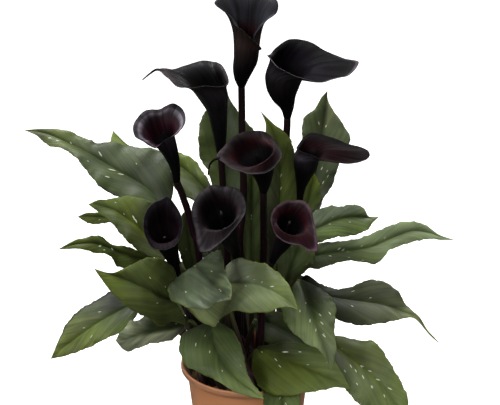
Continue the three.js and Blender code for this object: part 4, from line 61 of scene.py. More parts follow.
# Leaves: left edge, midrib and right edge from base to tip, and the four control points of the stalk
LEAVES = {
    "leaf_01": dict(
        a=[(-96.5, -4.1, 329.4), (-111.6, 1, 333.6), (-128.8, 3.5, 338.8), (-146.2, 8.5, 342.4), (-169.3, 14.2, 353.2), (-183.6, 23.8, 367.4),
           (-196.8, 33.2, 380), (-212.6, 42.3, 389.8), (-230.9, 49, 391.3), (-245.4, 56.1, 401.3), (-261.5, 64, 406.2)],
        m=[(-93.5, 2.1, 329.5), (-104.1, 10.8, 339.8), (-115.9, 18.5, 349.2), (-131.3, 26.7, 357.3), (-148.8, 31.9, 365.9), (-167.6, 37.9, 375.4),
           (-185.2, 43.3, 384.6), (-204.3, 50.2, 392.2), (-222.1, 55.6, 399), (-240, 60.2, 404.3), (-261.5, 64, 406.2)],
        b=[(-90.2, 5.2, 330.8), (-86, 17.4, 345.9), (-86.2, 30.5, 373), (-101.6, 42.2, 388), (-128.6, 47, 390.4), (-154.1, 49.7, 396), (-174.1, 51.2, 394.9),
           (-190.6, 55.2, 399.1), (-205.9, 58.8, 405.7), (-230.7, 61.9, 408.6), (-261.5, 64, 406.2)],
        p=[(-52.4, -32.6, 118), (-58.7, -27.5, 142.9), (-88.1, -2.3, 324.3), (-93.5, 2.1, 329.5)],
    ),
    "leaf_02": dict(
        a=[(-43.6, 13.2, 327.8), (-64.8, 27.6, 332.4), (-79.4, 40.4, 336.4), (-94.1, 55, 345), (-110.1, 68.5, 355.3), (-128.9, 81.9, 358.4),
           (-142.8, 91.5, 362.7), (-164.3, 100.3, 375.1), (-163.3, 112, 391)],
        m=[(-39.3, 24, 327.5), (-51.3, 43, 340.5), (-64.8, 60, 349.5), (-79.6, 74, 357.2), (-97.8, 84, 365.2), (-117.7, 94, 367), (-135, 101, 369.8),
           (-150.8, 106, 378.3), (-163.3, 112, 391)],
        b=[(-35.8, 26.6, 329), (-45.5, 45.6, 349.5), (-53, 61.5, 355.2), (-62.8, 73.6, 365.5), (-79.7, 81.9, 372.4), (-98.1, 90.8, 371.8),
           (-117.9, 97.7, 368.9), (-141.2, 104, 372.6), (-163.3, 112, 391)],
        p=[(-28, -16.4, 118), (-30.2, -9.7, 142.6), (-35.3, 17.7, 323.3), (-39.3, 24, 327.5)],
    ),
    "leaf_03": dict(
        a=[(-22.2, 30.5, 293.8), (-32.9, 45.9, 311.9), (-41.4, 60, 333.2), (-47.4, 71.6, 353), (-57.1, 80, 366.5), (-58.8, 87.3, 391.7), (-55.8, 94.7, 410.5),
           (-46.3, 101, 423.5), (-34.5, 107.1, 430.5), (-25, 112, 441.5)],
        m=[(-18.7, 32, 293.3), (-22.3, 48, 312.4), (-26, 63, 332.1), (-28.5, 76, 350.3), (-31, 86, 369.6), (-31, 94, 389.6), (-29.8, 101, 408.7),
           (-27.4, 106, 424.6), (-25.6, 110, 433.4), (-25, 112, 441.5)],
        b=[(-15.1, 29.7, 294.1), (-9.3, 44.5, 314.9), (-2.2, 57.7, 337.8), (3.7, 69, 355.2), (9.6, 78.2, 377.1), (8.4, 86.5, 395.6), (-2.3, 94.9, 408),
           (-15.4, 102.1, 423.2), (-22, 108.3, 432.6), (-25, 112, 441.5)],
        p=[(2.7, 21.2, 118), (-4.2, 24.8, 175.8), (-17.6, 27.5, 287.9), (-18.7, 32, 293.3)],
    ),
    "leaf_04": dict(
        a=[(30, 11, 261.3), (24.6, 13.2, 286.9), (22.2, 14, 311.5), (22.1, 15.3, 335.7), (23.1, 17.2, 359.4), (23, 19.2, 380.4), (21.8, 20.7, 397.9),
           (21.2, 22.9, 411.5), (20.7, 27.7, 419.5), (19.6, 32.5, 426.4), (13.9, 37.8, 437.3)],
        m=[(32.9, 14, 260.1), (34, 17.6, 286.4), (36.2, 20.1, 310.4), (37.2, 22.3, 334.3), (37.6, 24.3, 358.1), (36.9, 26, 379.4), (34.5, 26.7, 398.4),
           (29.8, 27.8, 413.6), (24.1, 31.4, 423.8), (19, 34.6, 431.1), (13.9, 37.8, 437.3)],
        b=[(35.8, 13, 260.5), (44.4, 16, 288.3), (53.5, 17.8, 313.8), (56.7, 19.7, 339), (54.8, 21.7, 361.5), (52.9, 23.6, 382.6), (49.8, 24.4, 401.5),
           (42.3, 25.7, 414.2), (30.9, 29.5, 422.5), (23, 33.4, 429.1), (13.9, 37.8, 437.3)],
        p=[(25.4, 3.6, 118), (27.2, 7, 161.5), (31.7, 9.8, 229.4), (32.9, 14, 260.1)],
    ),
    "leaf_05": dict(
        a=[(61.3, 28.4, 282.1), (60.5, 43.7, 296.3), (59.6, 58.1, 314.9), (61, 70.1, 333.4), (62.3, 81.4, 351), (63.6, 89.6, 370.9), (64.8, 97.1, 389.9),
           (66.5, 102.5, 408.8), (80.9, 106.9, 420.6), (86.8, 110.4, 431.4), (95.1, 112, 440.8)],
        m=[(64.9, 30, 281.4), (70, 46, 297.9), (75.1, 61, 316.4), (79.6, 73, 333.6), (83.4, 84, 352.6), (86.4, 92, 372.7), (89.4, 99, 390.6),
           (91.7, 104, 407.8), (93.4, 108, 422.8), (94.4, 111, 431.9), (95.1, 112, 440.8)],
        b=[(68.4, 29, 281.8), (81.7, 44.3, 303.6), (89.1, 57.3, 321.6), (100, 66.2, 336), (107.2, 74, 356), (115.4, 79.7, 374.1), (122.1, 86.7, 388.7),
           (110.9, 94.8, 408), (100.3, 103.1, 421.7), (95.5, 109.2, 431.1), (95.1, 112, 440.8)],
        p=[(32.2, 18.3, 118), (35.7, 21, 137.6), (63.4, 25.5, 276.7), (64.9, 30, 281.4)],
    ),
    "leaf_06": dict(
        a=[(56.3, 23.6, 294), (57.5, 30.8, 310.1), (62.1, 35.6, 327), (64.4, 39.3, 340.6), (67.9, 42.4, 350.6), (76, 45, 362)],
        m=[(58.6, 24.3, 293.8), (63.4, 31.6, 309.8), (69.2, 36.5, 325.4), (72.6, 40.2, 339), (74.9, 43, 350.4), (76, 45, 362)],
        b=[(60.9, 23.3, 294.1), (72.6, 29.9, 314.2), (83.1, 33.8, 326.4), (84.7, 37.4, 341.2), (81.8, 41.3, 352.2), (76, 45, 362)],
        p=[(24.2, 32.9, 118), (28.8, 33.1, 139.6), (56.8, 21.4, 287.5), (58.6, 24.3, 293.8)],
    ),
    "leaf_07": dict(
        a=[(61.9, 17.8, 292.6), (67.7, 22.9, 308.1), (76, 29.5, 315.5), (92.7, 37.3, 321.4), (109.7, 44.7, 318), (124.1, 49.1, 319.5), (137.6, 52.3, 312.7),
           (142.9, 54.8, 302.2), (156.4, 58, 299.7)],
        m=[(64.2, 15.3, 289.8), (74.7, 19.4, 297), (86.6, 24.7, 301.1), (99.8, 31.8, 304.7), (113.2, 39.2, 305.6), (126.5, 44.3, 304.9), (137.7, 49.1, 302.5),
           (146.4, 53.6, 300.1), (156.4, 58, 299.7)],
        b=[(66.2, 7.8, 289.1), (80.2, 8.6, 286.3), (91.8, 9.7, 289.5), (104.8, 14.2, 291.5), (118.1, 21.2, 289.9), (131.6, 29, 290), (143, 38.7, 292.5),
           (148.5, 48.6, 296.3), (156.4, 58, 299.7)],
        p=[(38.5, 12.6, 118), (43, 13.4, 138.5), (58.7, 13.2, 286.1), (64.2, 15.3, 289.8)],
    ),
    "leaf_08": dict(
        a=[(61.7, 3.8, 270.7), (73.3, 8.6, 282.5), (90.9, 13, 285.7), (109.7, 16, 285.8), (126.2, 18.8, 287.2), (141.5, 21.9, 291.6), (158.3, 27.9, 296.7),
           (176.1, 32.3, 302.6), (194.3, 36.8, 302.1), (211.6, 40.8, 295.5), (226.6, 42.1, 283.6), (246.3, 44, 275.8)],
        m=[(63.9, 0.6, 268.3), (77.9, 4.2, 271.8), (94.3, 7.7, 274.1), (111.9, 10.4, 275.5), (129.6, 12.9, 276.3), (146, 15.5, 279.1), (162.8, 21.3, 284.3),
           (179.4, 26.1, 289.9), (196.5, 32.1, 292), (214, 38, 287.1), (228.9, 41, 280.8), (246.3, 44, 275.8)],
        b=[(64.7, -9.9, 265.2), (79.8, -8, 260.6), (96.1, -5.5, 264.6), (112.3, -3.2, 268.6), (130.9, -1.9, 266.8), (150.9, 0.2, 264.6), (165.1, 7.5, 277.9),
           (183.1, 14.3, 282.1), (200.4, 22.5, 283.8), (215.7, 31.5, 282.1), (228.6, 37.8, 278.3), (246.3, 44, 275.8)],
        p=[(-2.6, -30.8, 118), (36.2, -4.3, 198.4), (57.6, -1, 266.7), (63.9, 0.6, 268.3)],
    ),
    "leaf_09": dict(
        a=[(58.7, 3.5, 234.1), (67.5, -1.9, 251), (85.9, -9.7, 241.2), (102.9, -16.8, 239.3), (118.5, -21.9, 244.7), (134.9, -27, 254.5), (151.4, -32.7, 257),
           (168.9, -41.6, 249.4), (178.1, -50.4, 236.5), (185.3, -57.7, 231.2), (193.4, -62.9, 225), (202, -68.5, 212.2), (209.8, -71.8, 204.4),
           (216.9, -74, 196.2)],
        m=[(60.8, -4, 229.8), (73.3, -10, 229.9), (86.9, -17, 230.6), (101.5, -23, 230.8), (117.2, -29, 231), (132.6, -36, 231.7), (148, -42, 232),
           (162.1, -49, 230.9), (174, -55, 228.1), (183.5, -60, 227.3), (192.2, -64, 223), (201.1, -69, 211.8), (208.9, -72, 204), (216.9, -74, 196.2)],
        b=[(61.8, -9.7, 227.3), (71.9, -18.1, 222.2), (83.1, -28.8, 215.8), (98.7, -38.3, 212), (115.3, -46.4, 209.6), (130.6, -53.4, 210.4),
           (146, -57.2, 214.2), (161.3, -60.3, 218.8), (172.3, -62, 222.1), (182.6, -63.5, 225.3), (190.4, -65.6, 222), (200.1, -69.8, 211.3),
           (208, -72.4, 203.4), (216.9, -74, 196.2)],
        p=[(8.9, 1.5, 118), (28.3, -6.3, 155.8), (56.3, -1.9, 229.7), (60.8, -4, 229.8)],
    ),
    "leaf_10": dict(
        a=[(62.4, -40.1, 260.9), (77.2, -59.7, 261), (90.8, -76.1, 257.4), (96.8, -89.7, 249.2), (95.3, -99.8, 237.1), (95.1, -107, 224.3),
           (96.6, -113.5, 213.7), (94.9, -118.2, 202.7), (90.7, -122, 188.3)],
        m=[(58, -38, 258.7), (61.8, -57, 254.9), (66.3, -73, 247.5), (71.3, -87, 239.5), (76.4, -98, 229), (81.1, -106, 218.4), (85.3, -113, 208.6),
           (88.5, -118, 199), (90.7, -122, 188.3)],
        b=[(53.3, -43.1, 259.7), (44.9, -63.6, 251.7), (37.8, -80.6, 246.2), (39.7, -94.6, 238.2), (48.3, -104.7, 228), (63.5, -110.7, 216.5),
           (76.4, -115.2, 212.1), (85.2, -118.6, 200.5), (90.7, -122, 188.3)],
        p=[(50.7, 33.8, 118), (52.1, 23, 133.5), (56.8, -31.9, 259.9), (58, -38, 258.7)],
    ),
    "leaf_11": dict(
        a=[(88.2, -30, 188.3), (105.8, -41.6, 191.4), (125.8, -50.1, 190.6), (143.3, -58.3, 192.8), (156.3, -68.8, 180.4), (165.1, -80.9, 167.8),
           (174.4, -93.1, 154.8), (179.1, -104.9, 142.4), (176.7, -115.5, 130.7), (174.1, -124, 116.7)],
        m=[(85.7, -34, 185.1), (97.7, -47, 182.7), (110.8, -58, 176.8), (123.9, -68, 169.9), (136.3, -78, 162.5), (148, -88, 154.5), (158.5, -98, 146.1),
           (166.7, -108, 136.6), (171.1, -117, 127.8), (174.1, -124, 116.7)],
        b=[(81.8, -41.7, 185.1), (91.4, -58.5, 174.5), (97.5, -74.3, 164.9), (105.8, -87.8, 155.7), (114.2, -99.7, 147), (126, -109, 138.4),
           (141.2, -114.8, 132.8), (158.6, -118.3, 132.3), (167.3, -121.3, 126.5), (174.1, -124, 116.7)],
        p=[(20.3, -3.1, 118), (28.5, -7.6, 125.2), (83.1, -31.1, 185.7), (85.7, -34, 185.1)],
    ),
    "leaf_12": dict(
        a=[(11.7, -48.2, 182), (25.2, -57.3, 187.9), (40.9, -63.8, 194.9), (58.8, -69.9, 196.7), (76.5, -76.8, 195.2), (90.7, -84.7, 189.2),
           (100.5, -92.1, 179.3), (106.8, -100.6, 170.7), (113.2, -108, 159.1)],
        m=[(10.5, -51, 178.3), (21.8, -61.4, 180.4), (35.3, -69.8, 179.7), (48.6, -77, 177.1), (61.9, -83.6, 174.2), (75.1, -90.1, 171.4), (88.3, -95.6, 167.4),
           (100.2, -102.3, 164.8), (113.2, -108, 159.1)],
        b=[(5.9, -58.1, 176.9), (4.8, -74.4, 167.5), (11.5, -91, 154.9), (27, -102.8, 150), (46.9, -108.2, 151.1), (66.7, -109.3, 155.5), (84.5, -108, 157.9),
           (97.7, -108.2, 161.1), (113.2, -108, 159.1)],
        p=[(-10.5, -23.2, 118), (-6.8, -28.8, 129.4), (8.5, -49.1, 177.9), (10.5, -51, 178.3)],
    ),
    "leaf_13": dict(
        a=[(31.3, -49.3, 163.3), (46.7, -73.7, 162.1), (56.2, -94.2, 155.4), (58, -110.4, 145.5), (55.5, -121.9, 134.4), (51, -127, 122.3), (42.3, -130, 103.9)],
        m=[(27.8, -47.5, 161.1), (32, -70.9, 156.8), (36.2, -90.5, 149.6), (39.2, -106.7, 142.1), (41.2, -119.2, 132.9), (42.3, -125.6, 121.5),
           (42.3, -130, 103.9)],
        b=[(24.4, -48.7, 161.8), (19.5, -73, 154.1), (17.1, -93.4, 148.6), (18, -109.9, 141.4), (23.5, -122.2, 132.1), (31.2, -127.5, 120.1),
           (42.3, -130, 103.9)],
        p=[(7.5, -17.6, 118), (9.9, -21.8, 122.7), (27.5, -45.3, 161.5), (27.8, -47.5, 161.1)],
    ),
    "leaf_14": dict(
        a=[(-36, -53.1, 216), (-17.6, -75.1, 215.4), (-8, -94.4, 206.5), (-3.5, -108, 197.5), (-1.3, -117.2, 186.4), (4.1, -123.7, 176.9),
           (10.7, -129.2, 170.7), (15, -133.6, 166.4), (18.2, -136, 162.2)],
        m=[(-41.9, -48, 212.3), (-39.7, -67, 206.5), (-36.5, -83, 199.5), (-30.7, -96, 191.9), (-22.8, -107, 184), (-12.8, -116, 176.5), (-1.9, -124, 170.4),
           (8.5, -131, 166.2), (18.2, -136, 162.2)],
        b=[(-48.8, -45.6, 209.9), (-71.9, -63.6, 206.1), (-76.9, -80.2, 195.6), (-68.6, -95.1, 181.5), (-51.5, -107.1, 177.9), (-33.7, -116.3, 173.6),
           (-16.1, -124.6, 165.7), (1.4, -131.6, 162.6), (18.2, -136, 162.2)],
        p=[(-16.7, -29.7, 118), (-20.9, -30, 147.4), (-42.3, -44.2, 213.4), (-41.9, -48, 212.3)],
    ),
    "leaf_15": dict(
        a=[(-55.9, -42.1, 282.6), (-40.8, -53, 298.6), (-30.4, -65.4, 307.9), (-25.8, -81.9, 300.6), (-23.3, -100.5, 294.5), (-19.3, -116.1, 292),
           (-16.5, -128.7, 288.3), (-17.5, -138, 282.1)],
        m=[(-58.9, -50, 282.3), (-52.7, -66, 282.5), (-46.1, -82, 282.9), (-39.7, -96, 282.5), (-34, -109, 282.4), (-28.4, -120, 282.1), (-22.9, -130, 282),
           (-17.5, -138, 282.1)],
        b=[(-63.4, -50.9, 280.2), (-79.3, -67.3, 275.3), (-86.5, -86.7, 270.7), (-81.6, -107.2, 266.9), (-64.6, -125.1, 266.3), (-47.2, -134.4, 268.3),
           (-34.3, -137.6, 277.4), (-17.5, -138, 282.1)],
        p=[(-24.7, -25.3, 118), (-31.7, -26.2, 144.7), (-61.4, -43.7, 282.2), (-58.9, -50, 282.3)],
    ),
    "leaf_16": dict(
        a=[(-24.6, -35.1, 275.9), (-16.5, -44.9, 287.4), (-5.3, -53.9, 293), (5.8, -63.4, 293.4), (16.8, -71.5, 295), (26.5, -81.6, 293.4),
           (36.1, -92.1, 289.7), (43.9, -104, 283.7), (49.6, -115.7, 274.9), (53.5, -128, 265.3)],
        m=[(-21, -52.9, 261.6), (-13.1, -63.1, 267.4), (-4.1, -71.7, 271.2), (4.7, -80.1, 273.7), (13.4, -87.1, 274.4), (22, -95.7, 274.7),
           (30.5, -103.9, 273.6), (39, -112.4, 271.6), (46.3, -120.1, 268.7), (53.5, -128, 265.3)],
        b=[(-69.6, -35.4, 222.6), (-53.8, -60.8, 219.7), (-37.3, -85.4, 224.7), (-30.2, -99.3, 241.7), (-14.8, -106.5, 252.3), (4.7, -115, 255.1),
           (21.8, -120.8, 259.6), (35.6, -123.7, 265.1), (45.1, -125.3, 266.8), (53.5, -128, 265.3)],
        p=[(-19.6, -17.1, 118), (-22.7, -20.9, 135.1), (-24.4, -48.6, 259.2), (-21, -52.9, 261.6)],
    ),
    "leaf_17": dict(
        a=[(-69.8, -58.4, 213.5), (-84.2, -77.2, 226.3), (-96.2, -95.8, 229.8), (-107.4, -102.1, 243.1), (-119.3, -101.7, 248.2), (-132.4, -98.1, 255.5),
           (-145.4, -94.3, 267.5), (-156.4, -89.2, 278.9), (-167.2, -84, 293.8)],
        m=[(-85.1, -56.8, 242.5), (-94.1, -69.9, 253.4), (-104.1, -80.3, 264.2), (-114.9, -80.9, 269.8), (-125.9, -79.1, 274.4), (-136.8, -78.2, 278.8),
           (-147.4, -79.7, 283.7), (-156.8, -81.5, 288.6), (-167.2, -84, 293.8)],
        b=[(-81, -43.3, 257.4), (-80.1, -54.2, 274.4), (-85.8, -63.7, 290.5), (-97.6, -66.1, 298.7), (-111.8, -67.4, 299.2), (-126.1, -69.7, 293.1),
           (-137.9, -74.5, 289.1), (-149.6, -79.1, 285.4), (-167.2, -84, 293.8)],
        p=[(-29.9, -34.2, 118), (-36.7, -38, 132.6), (-82.5, -53, 239.4), (-85.1, -56.8, 242.5)],
    ),
    "leaf_18": dict(
        a=[(-122.8, -41, 225.3), (-128.7, -48.6, 216.3), (-134.6, -55.5, 209.6), (-147.9, -60.7, 203.4), (-161.3, -64, 198.1), (-176.1, -65.3, 190.6),
           (-192.3, -65.4, 183.3), (-206.2, -64.9, 178), (-224.5, -62, 172.5)],
        m=[(-125.8, -32, 228.6), (-138, -37, 225.9), (-149.2, -41, 221.5), (-161.5, -45, 215.8), (-173.9, -49, 209), (-186.4, -52, 201), (-198.9, -55, 192.4),
           (-210.1, -59, 184.9), (-224.5, -62, 172.5)],
        b=[(-130.7, -25.9, 232.1), (-144, -28.4, 239.5), (-157.6, -29.6, 241.3), (-172.4, -32.6, 233.3), (-185.9, -36.8, 227.1), (-197.2, -40.7, 218.8),
           (-207.3, -45.8, 208.7), (-214.3, -53.8, 194.9), (-224.5, -62, 172.5)],
        p=[(-26.2, 20.8, 118), (-39.5, 14.3, 129.7), (-120, -29.7, 229.9), (-125.8, -32, 228.6)],
    ),
    "leaf_19": dict(
        a=[(-64, -40.4, 203.5), (-76.2, -48, 199), (-86.1, -56.9, 193.9), (-99.3, -63.3, 194), (-112.5, -68.1, 193.9), (-122.2, -73.9, 192.4),
           (-132.6, -78.1, 190.2), (-140, -81.4, 195), (-147.3, -82, 205.8)],
        m=[(-66.2, -40, 209.7), (-80.6, -48, 207.2), (-93.7, -57, 207.8), (-106.9, -63, 208.3), (-117.8, -67, 207.1), (-127, -72, 205.8), (-134.5, -76, 204.7),
           (-140.9, -80, 204.8), (-147.3, -82, 205.8)],
        b=[(-67.5, -33.6, 212.9), (-84.3, -39.6, 218.3), (-99.7, -46.4, 222.8), (-111.8, -51.5, 225.8), (-122.9, -55.8, 218.5), (-131.4, -61.7, 220.7),
           (-137.7, -67.9, 215), (-143.3, -75.6, 211.9), (-147.3, -82, 205.8)],
        p=[(11.9, -51.6, 118), (1.3, -51.5, 127.9), (-62, -37.7, 210.4), (-66.2, -40, 209.7)],
    ),
    "leaf_20": dict(
        a=[(-92.9, -40.9, 285.7), (-110, -36.5, 288.1), (-124.9, -31.3, 294.5), (-136.3, -27.2, 303.2), (-145.7, -20.1, 311.3), (-155.1, -13.1, 320.1),
           (-167.3, -3.3, 326.1), (-176.6, 8.8, 328.5), (-184.8, 20.2, 329.6)],
        m=[(-91.2, -32.4, 288.2), (-103.8, -25.3, 297.5), (-115.5, -17.2, 306.5), (-127, -12.1, 315.5), (-138.7, -5.9, 322.8), (-151.4, -1.2, 329.6),
           (-164.6, 5.4, 332), (-175.9, 13.5, 332), (-184.8, 20.2, 329.6)],
        b=[(-87.9, -28, 292.5), (-85.8, -19.1, 310.9), (-92.9, -8.5, 327.4), (-105.5, -2.2, 338.4), (-121.7, 3.1, 343.8), (-137.8, 5.1, 345.5),
           (-155.5, 8.6, 340.9), (-171.2, 14.6, 337.4), (-184.8, 20.2, 329.6)],
        p=[(21.9, 10.8, 118), (-40.6, -9.5, 222), (-83.6, -36.6, 282.7), (-91.2, -32.4, 288.2)],
    ),
    "leaf_21": dict(
        a=[(-123.4, 6.1, 296), (-140.6, 18.9, 299.6), (-158, 30.7, 302.6), (-170.8, 39.2, 298.9), (-185.1, 48.3, 294.1), (-195.6, 56.7, 295.1),
           (-204.5, 66, 297.3)],
        m=[(-121.5, 12, 298.6), (-137.5, 25, 304.2), (-155, 37, 305.8), (-169, 46, 303.6), (-183.2, 55, 300.8), (-194.7, 61, 299.2), (-204.5, 66, 297.3)],
        b=[(-119.3, 15, 302.4), (-135.3, 28, 311.1), (-151.5, 39.7, 313), (-166.6, 48, 309.8), (-180.8, 56.3, 306.1), (-192.2, 61.7, 303.7),
           (-204.5, 66, 297.3)],
        p=[(-31.4, -2.1, 118), (-43.2, 1.4, 138.9), (-115.4, 7.1, 296.5), (-121.5, 12, 298.6)],
    ),
    "leaf_22": dict(
        a=[(-111.5, -22.7, 270.7), (-126.9, -28.8, 272), (-140, -34.6, 272.6), (-148.6, -36.8, 277.9), (-153.5, -37.6, 288), (-161.3, -39.4, 292.4),
           (-173.2, -42, 295.3), (-185.1, -43.8, 299.9), (-196.3, -43.6, 300.2), (-212.4, -44, 299.7)],
        m=[(-109.7, -16, 272.8), (-121.8, -20, 278.2), (-133.8, -24, 283.5), (-144.7, -27, 288.5), (-153.2, -30, 294), (-162.8, -33, 299.5),
           (-173.6, -36, 303.7), (-184.4, -39, 304.6), (-196.4, -41, 303.6), (-212.4, -44, 299.7)],
        b=[(-107.6, -12.1, 276.1), (-116.3, -15.5, 283.7), (-129.5, -19.1, 290.1), (-140.3, -22.5, 295.8), (-151.2, -26.2, 297.9), (-165.1, -29.5, 309.5),
           (-173.6, -32.4, 311.9), (-183.4, -35.8, 310.3), (-194.2, -39, 308.6), (-212.4, -44, 299.7)],
        p=[(-50.5, -14.6, 118), (-59, -15.7, 136.4), (-103.9, -14.1, 270.2), (-109.7, -16, 272.8)],
    ),
    "leaf_23": dict(
        a=[(41.7, -14.3, 243.2), (33.5, -13, 264), (31.2, -10.8, 275.5), (38.1, -7.1, 282.7), (46.2, -3.6, 291.2), (56.6, 0.6, 298.2), (67, 5, 306.3)],
        m=[(44.1, -13, 243.9), (47.5, -11, 256.9), (52, -8, 268.1), (56.7, -4, 278.9), (60.1, -1, 288.9), (63.5, 2, 297.6), (67, 5, 306.3)],
        b=[(46.3, -15.3, 244.9), (61.2, -14.8, 256), (70.3, -13.7, 263.7), (76.1, -10.5, 271.7), (76, -6.5, 283.7), (71.5, -1.1, 293.9), (67, 5, 306.3)],
        p=[(20.1, -25.9, 118), (23, -24.3, 133.1), (42.8, -13.8, 239), (44.1, -13, 243.9)],
    ),
    "leaf_24": dict(
        a=[(1.3, 16.9, 238.4), (-2.2, 19.6, 262.8), (-5.7, 22.2, 282), (-5.1, 25.2, 301), (-3.3, 28.5, 320.9), (-1.6, 31.9, 340.7), (0.2, 35.3, 356.8),
           (1.3, 37.6, 368.2), (2.5, 40, 379.6)],
        m=[(4.9, 18, 237.9), (4.9, 21.1, 259.6), (4.8, 24.2, 279.9), (4.8, 27.3, 300.1), (4.8, 30.4, 320.2), (4.8, 33.3, 339), (4.8, 36.2, 355.2),
           (3.7, 38.1, 368.1), (2.5, 40, 379.6)],
        b=[(8.4, 16.6, 238.5), (13.1, 19.1, 260.4), (16.6, 21.6, 279.7), (17.7, 24.3, 300), (16.5, 27.7, 320), (14.1, 31.1, 339.8), (10.6, 34.8, 355.7),
           (6.6, 37.4, 368.3), (2.5, 40, 379.6)],
        p=[(3.5, 11.6, 118), (3.8, 12.5, 132.4), (4.9, 17.3, 233.2), (4.9, 18, 237.9)],
    ),
    "leaf_25": dict(
        a=[(-61.6, -1.9, 237.7), (-71.9, 1.2, 255.4), (-78.6, 3.1, 273.5), (-81.9, 5.7, 289.9), (-80.6, 8.4, 306.2), (-77.1, 12, 318.5), (-70.2, 15, 325.9)],
        m=[(-59.3, 0, 236.9), (-62.7, 4, 254.2), (-66.1, 7, 271.9), (-68.3, 10, 289.4), (-69.8, 12, 306.1), (-70.3, 14, 317.7), (-70.2, 15, 325.9)],
        b=[(-57, -0.7, 237.2), (-53.4, 3.1, 254.6), (-55.6, 5.9, 273.6), (-56.6, 8.9, 292.4), (-59.9, 11.1, 308.9), (-63.3, 13.4, 319.1), (-70.2, 15, 325.9)],
        p=[(-52.8, 21.3, 118), (-55.7, 13.9, 167.1), (-58.4, -1.1, 232.3), (-59.3, 0, 236.9)],
    ),
    "leaf_26": dict(
        a=[(-19.4, -23.7, 223.5), (-11.5, -15, 209.3), (-8.6, -12.7, 194), (-9.2, -10.9, 178.9), (-11.7, -9.8, 162.7)],
        m=[(-22.9, -21.3, 221.1), (-22, -12.6, 205.6), (-19.8, -10.8, 191.8), (-17.5, -9.9, 178.4), (-11.7, -9.8, 162.7)],
        b=[(-26.3, -23.4, 220.8), (-32.4, -15.5, 204.4), (-32.6, -14.3, 190.9), (-26.9, -12.3, 177), (-11.7, -9.8, 162.7)],
        p=[(9.5, -61, 118), (8, -61.5, 133.1), (-23.2, -23.5, 225.1), (-22.9, -21.3, 221.1)],
    ),
    "leaf_27": dict(
        a=[(11.8, -18.5, 205.8), (28, -19.5, 212.6), (44.1, -24, 212.2), (58.7, -35.8, 208.9), (69.8, -47.6, 202), (76.3, -57.2, 196.6), (81.8, -66, 182.1)],
        m=[(9.5, -21.4, 202.1), (21.1, -22.7, 200.1), (32.6, -26.6, 196.9), (43.9, -36.8, 195.4), (56.2, -47.4, 193), (67.3, -56.9, 190.2), (81.8, -66, 182.1)],
        b=[(6, -29.8, 201), (11.7, -34.6, 189.3), (20.9, -42.6, 183), (35.6, -54.1, 182.4), (51.3, -62, 182.6), (64.8, -65.2, 183), (81.8, -66, 182.1)],
        p=[(-13.2, 1.3, 118), (-9.2, -1.4, 127.6), (5.9, -21, 202.6), (9.5, -21.4, 202.1)],
    ),
    "leaf_28": dict(
        a=[(-35.3, 23.5, 253.5), (-52.2, 36, 255.9), (-74.2, 49.4, 258.1), (-99, 64.4, 263.7), (-121.8, 81.6, 271.2), (-140, 98.8, 281.5),
           (-154.8, 116.1, 293.5), (-162.2, 132.9, 304.6), (-169.7, 150, 319.8)],
        m=[(-36.6, 30, 253.3), (-51.2, 46, 262.1), (-69.9, 64, 267.7), (-90.1, 82, 273.6), (-111.9, 100, 281.1), (-131.3, 116, 290.9), (-147.1, 130, 301.6),
           (-159, 141, 311), (-169.7, 150, 319.8)],
        b=[(-37.9, 35.3, 253.7), (-47.9, 54.4, 267.7), (-64.2, 76.7, 278.3), (-88.2, 96.8, 286.3), (-108.8, 113.8, 291.7), (-127, 127.3, 300),
           (-141.3, 138.3, 310.6), (-153, 145.6, 316), (-169.7, 150, 319.8)],
        p=[(-18.2, 11.4, 118), (-21.6, 14.6, 133.9), (-33.1, 26.2, 251.2), (-36.6, 30, 253.3)],
    ),
    "leaf_29": dict(
        a=[(35.8, 32.6, 240.6), (53.1, 43.2, 216.4), (73.2, 53.4, 191.9), (93.8, 65.9, 171.2), (116.3, 80.7, 154.6), (137.9, 96.9, 142.7),
           (157.3, 113.8, 138.8), (171.7, 131.4, 141.8), (184.9, 149, 149.3)],
        m=[(36, 40, 241.3), (53.4, 54, 222.2), (73.7, 69, 203.6), (95.9, 85, 185.5), (118.5, 101, 170), (140.3, 116, 157.5), (158.3, 129, 151.5),
           (172.3, 140, 149.2), (184.9, 149, 149.3)],
        b=[(35.8, 35, 247.3), (54.4, 52.5, 232), (76.3, 74, 212), (98.8, 95.7, 193), (121.8, 114.8, 177.6), (143.6, 131, 171.7), (161.7, 141.9, 162.5),
           (174.1, 147.3, 154.4), (184.9, 149, 149.3)],
        p=[(39.9, 47.3, 118), (40.8, 47.5, 132.8), (33.1, 37.6, 244.5), (36, 40, 241.3)],
    ),
    "leaf_30": dict(
        a=[(-40.2, 19.6, 217.8), (-58.6, 31.5, 205.9), (-77.8, 44, 176.2), (-100.9, 62, 174.4), (-123.4, 83.4, 175.3), (-144, 104.5, 172.5),
           (-159.9, 125.2, 172.9), (-169.4, 146, 179.1)],
        m=[(-40.5, 28, 217.9), (-57.9, 46, 209.9), (-78.4, 66, 200.9), (-99.5, 86, 193.2), (-120.8, 104, 187.9), (-139.9, 120, 183.6), (-155.3, 134, 180.2),
           (-169.4, 146, 179.1)],
        b=[(-40.7, 36.7, 218), (-57.3, 61.6, 213.5), (-74.2, 90.4, 227.8), (-95.6, 112.7, 215.6), (-118.3, 126.3, 201.6), (-137.1, 136, 194.7),
           (-152, 142.8, 187.5), (-169.4, 146, 179.1)],
        p=[(-48.1, 38.7, 118), (-48.2, 38.3, 130.1), (-37.8, 25.2, 219.2), (-40.5, 28, 217.9)],
    ),
    "leaf_31": dict(
        a=[(-8.1, 31.4, 268.1), (-22.4, 38, 279.4), (-38.3, 58.7, 277.6), (-45.7, 96.9, 254.5), (-46.9, 129.5, 227.8), (-42.6, 148.1, 195),
           (-35.4, 159.1, 161.9), (-24, 167.6, 127.8), (-8.2, 173, 100.3), (7.9, 174, 83.5)],
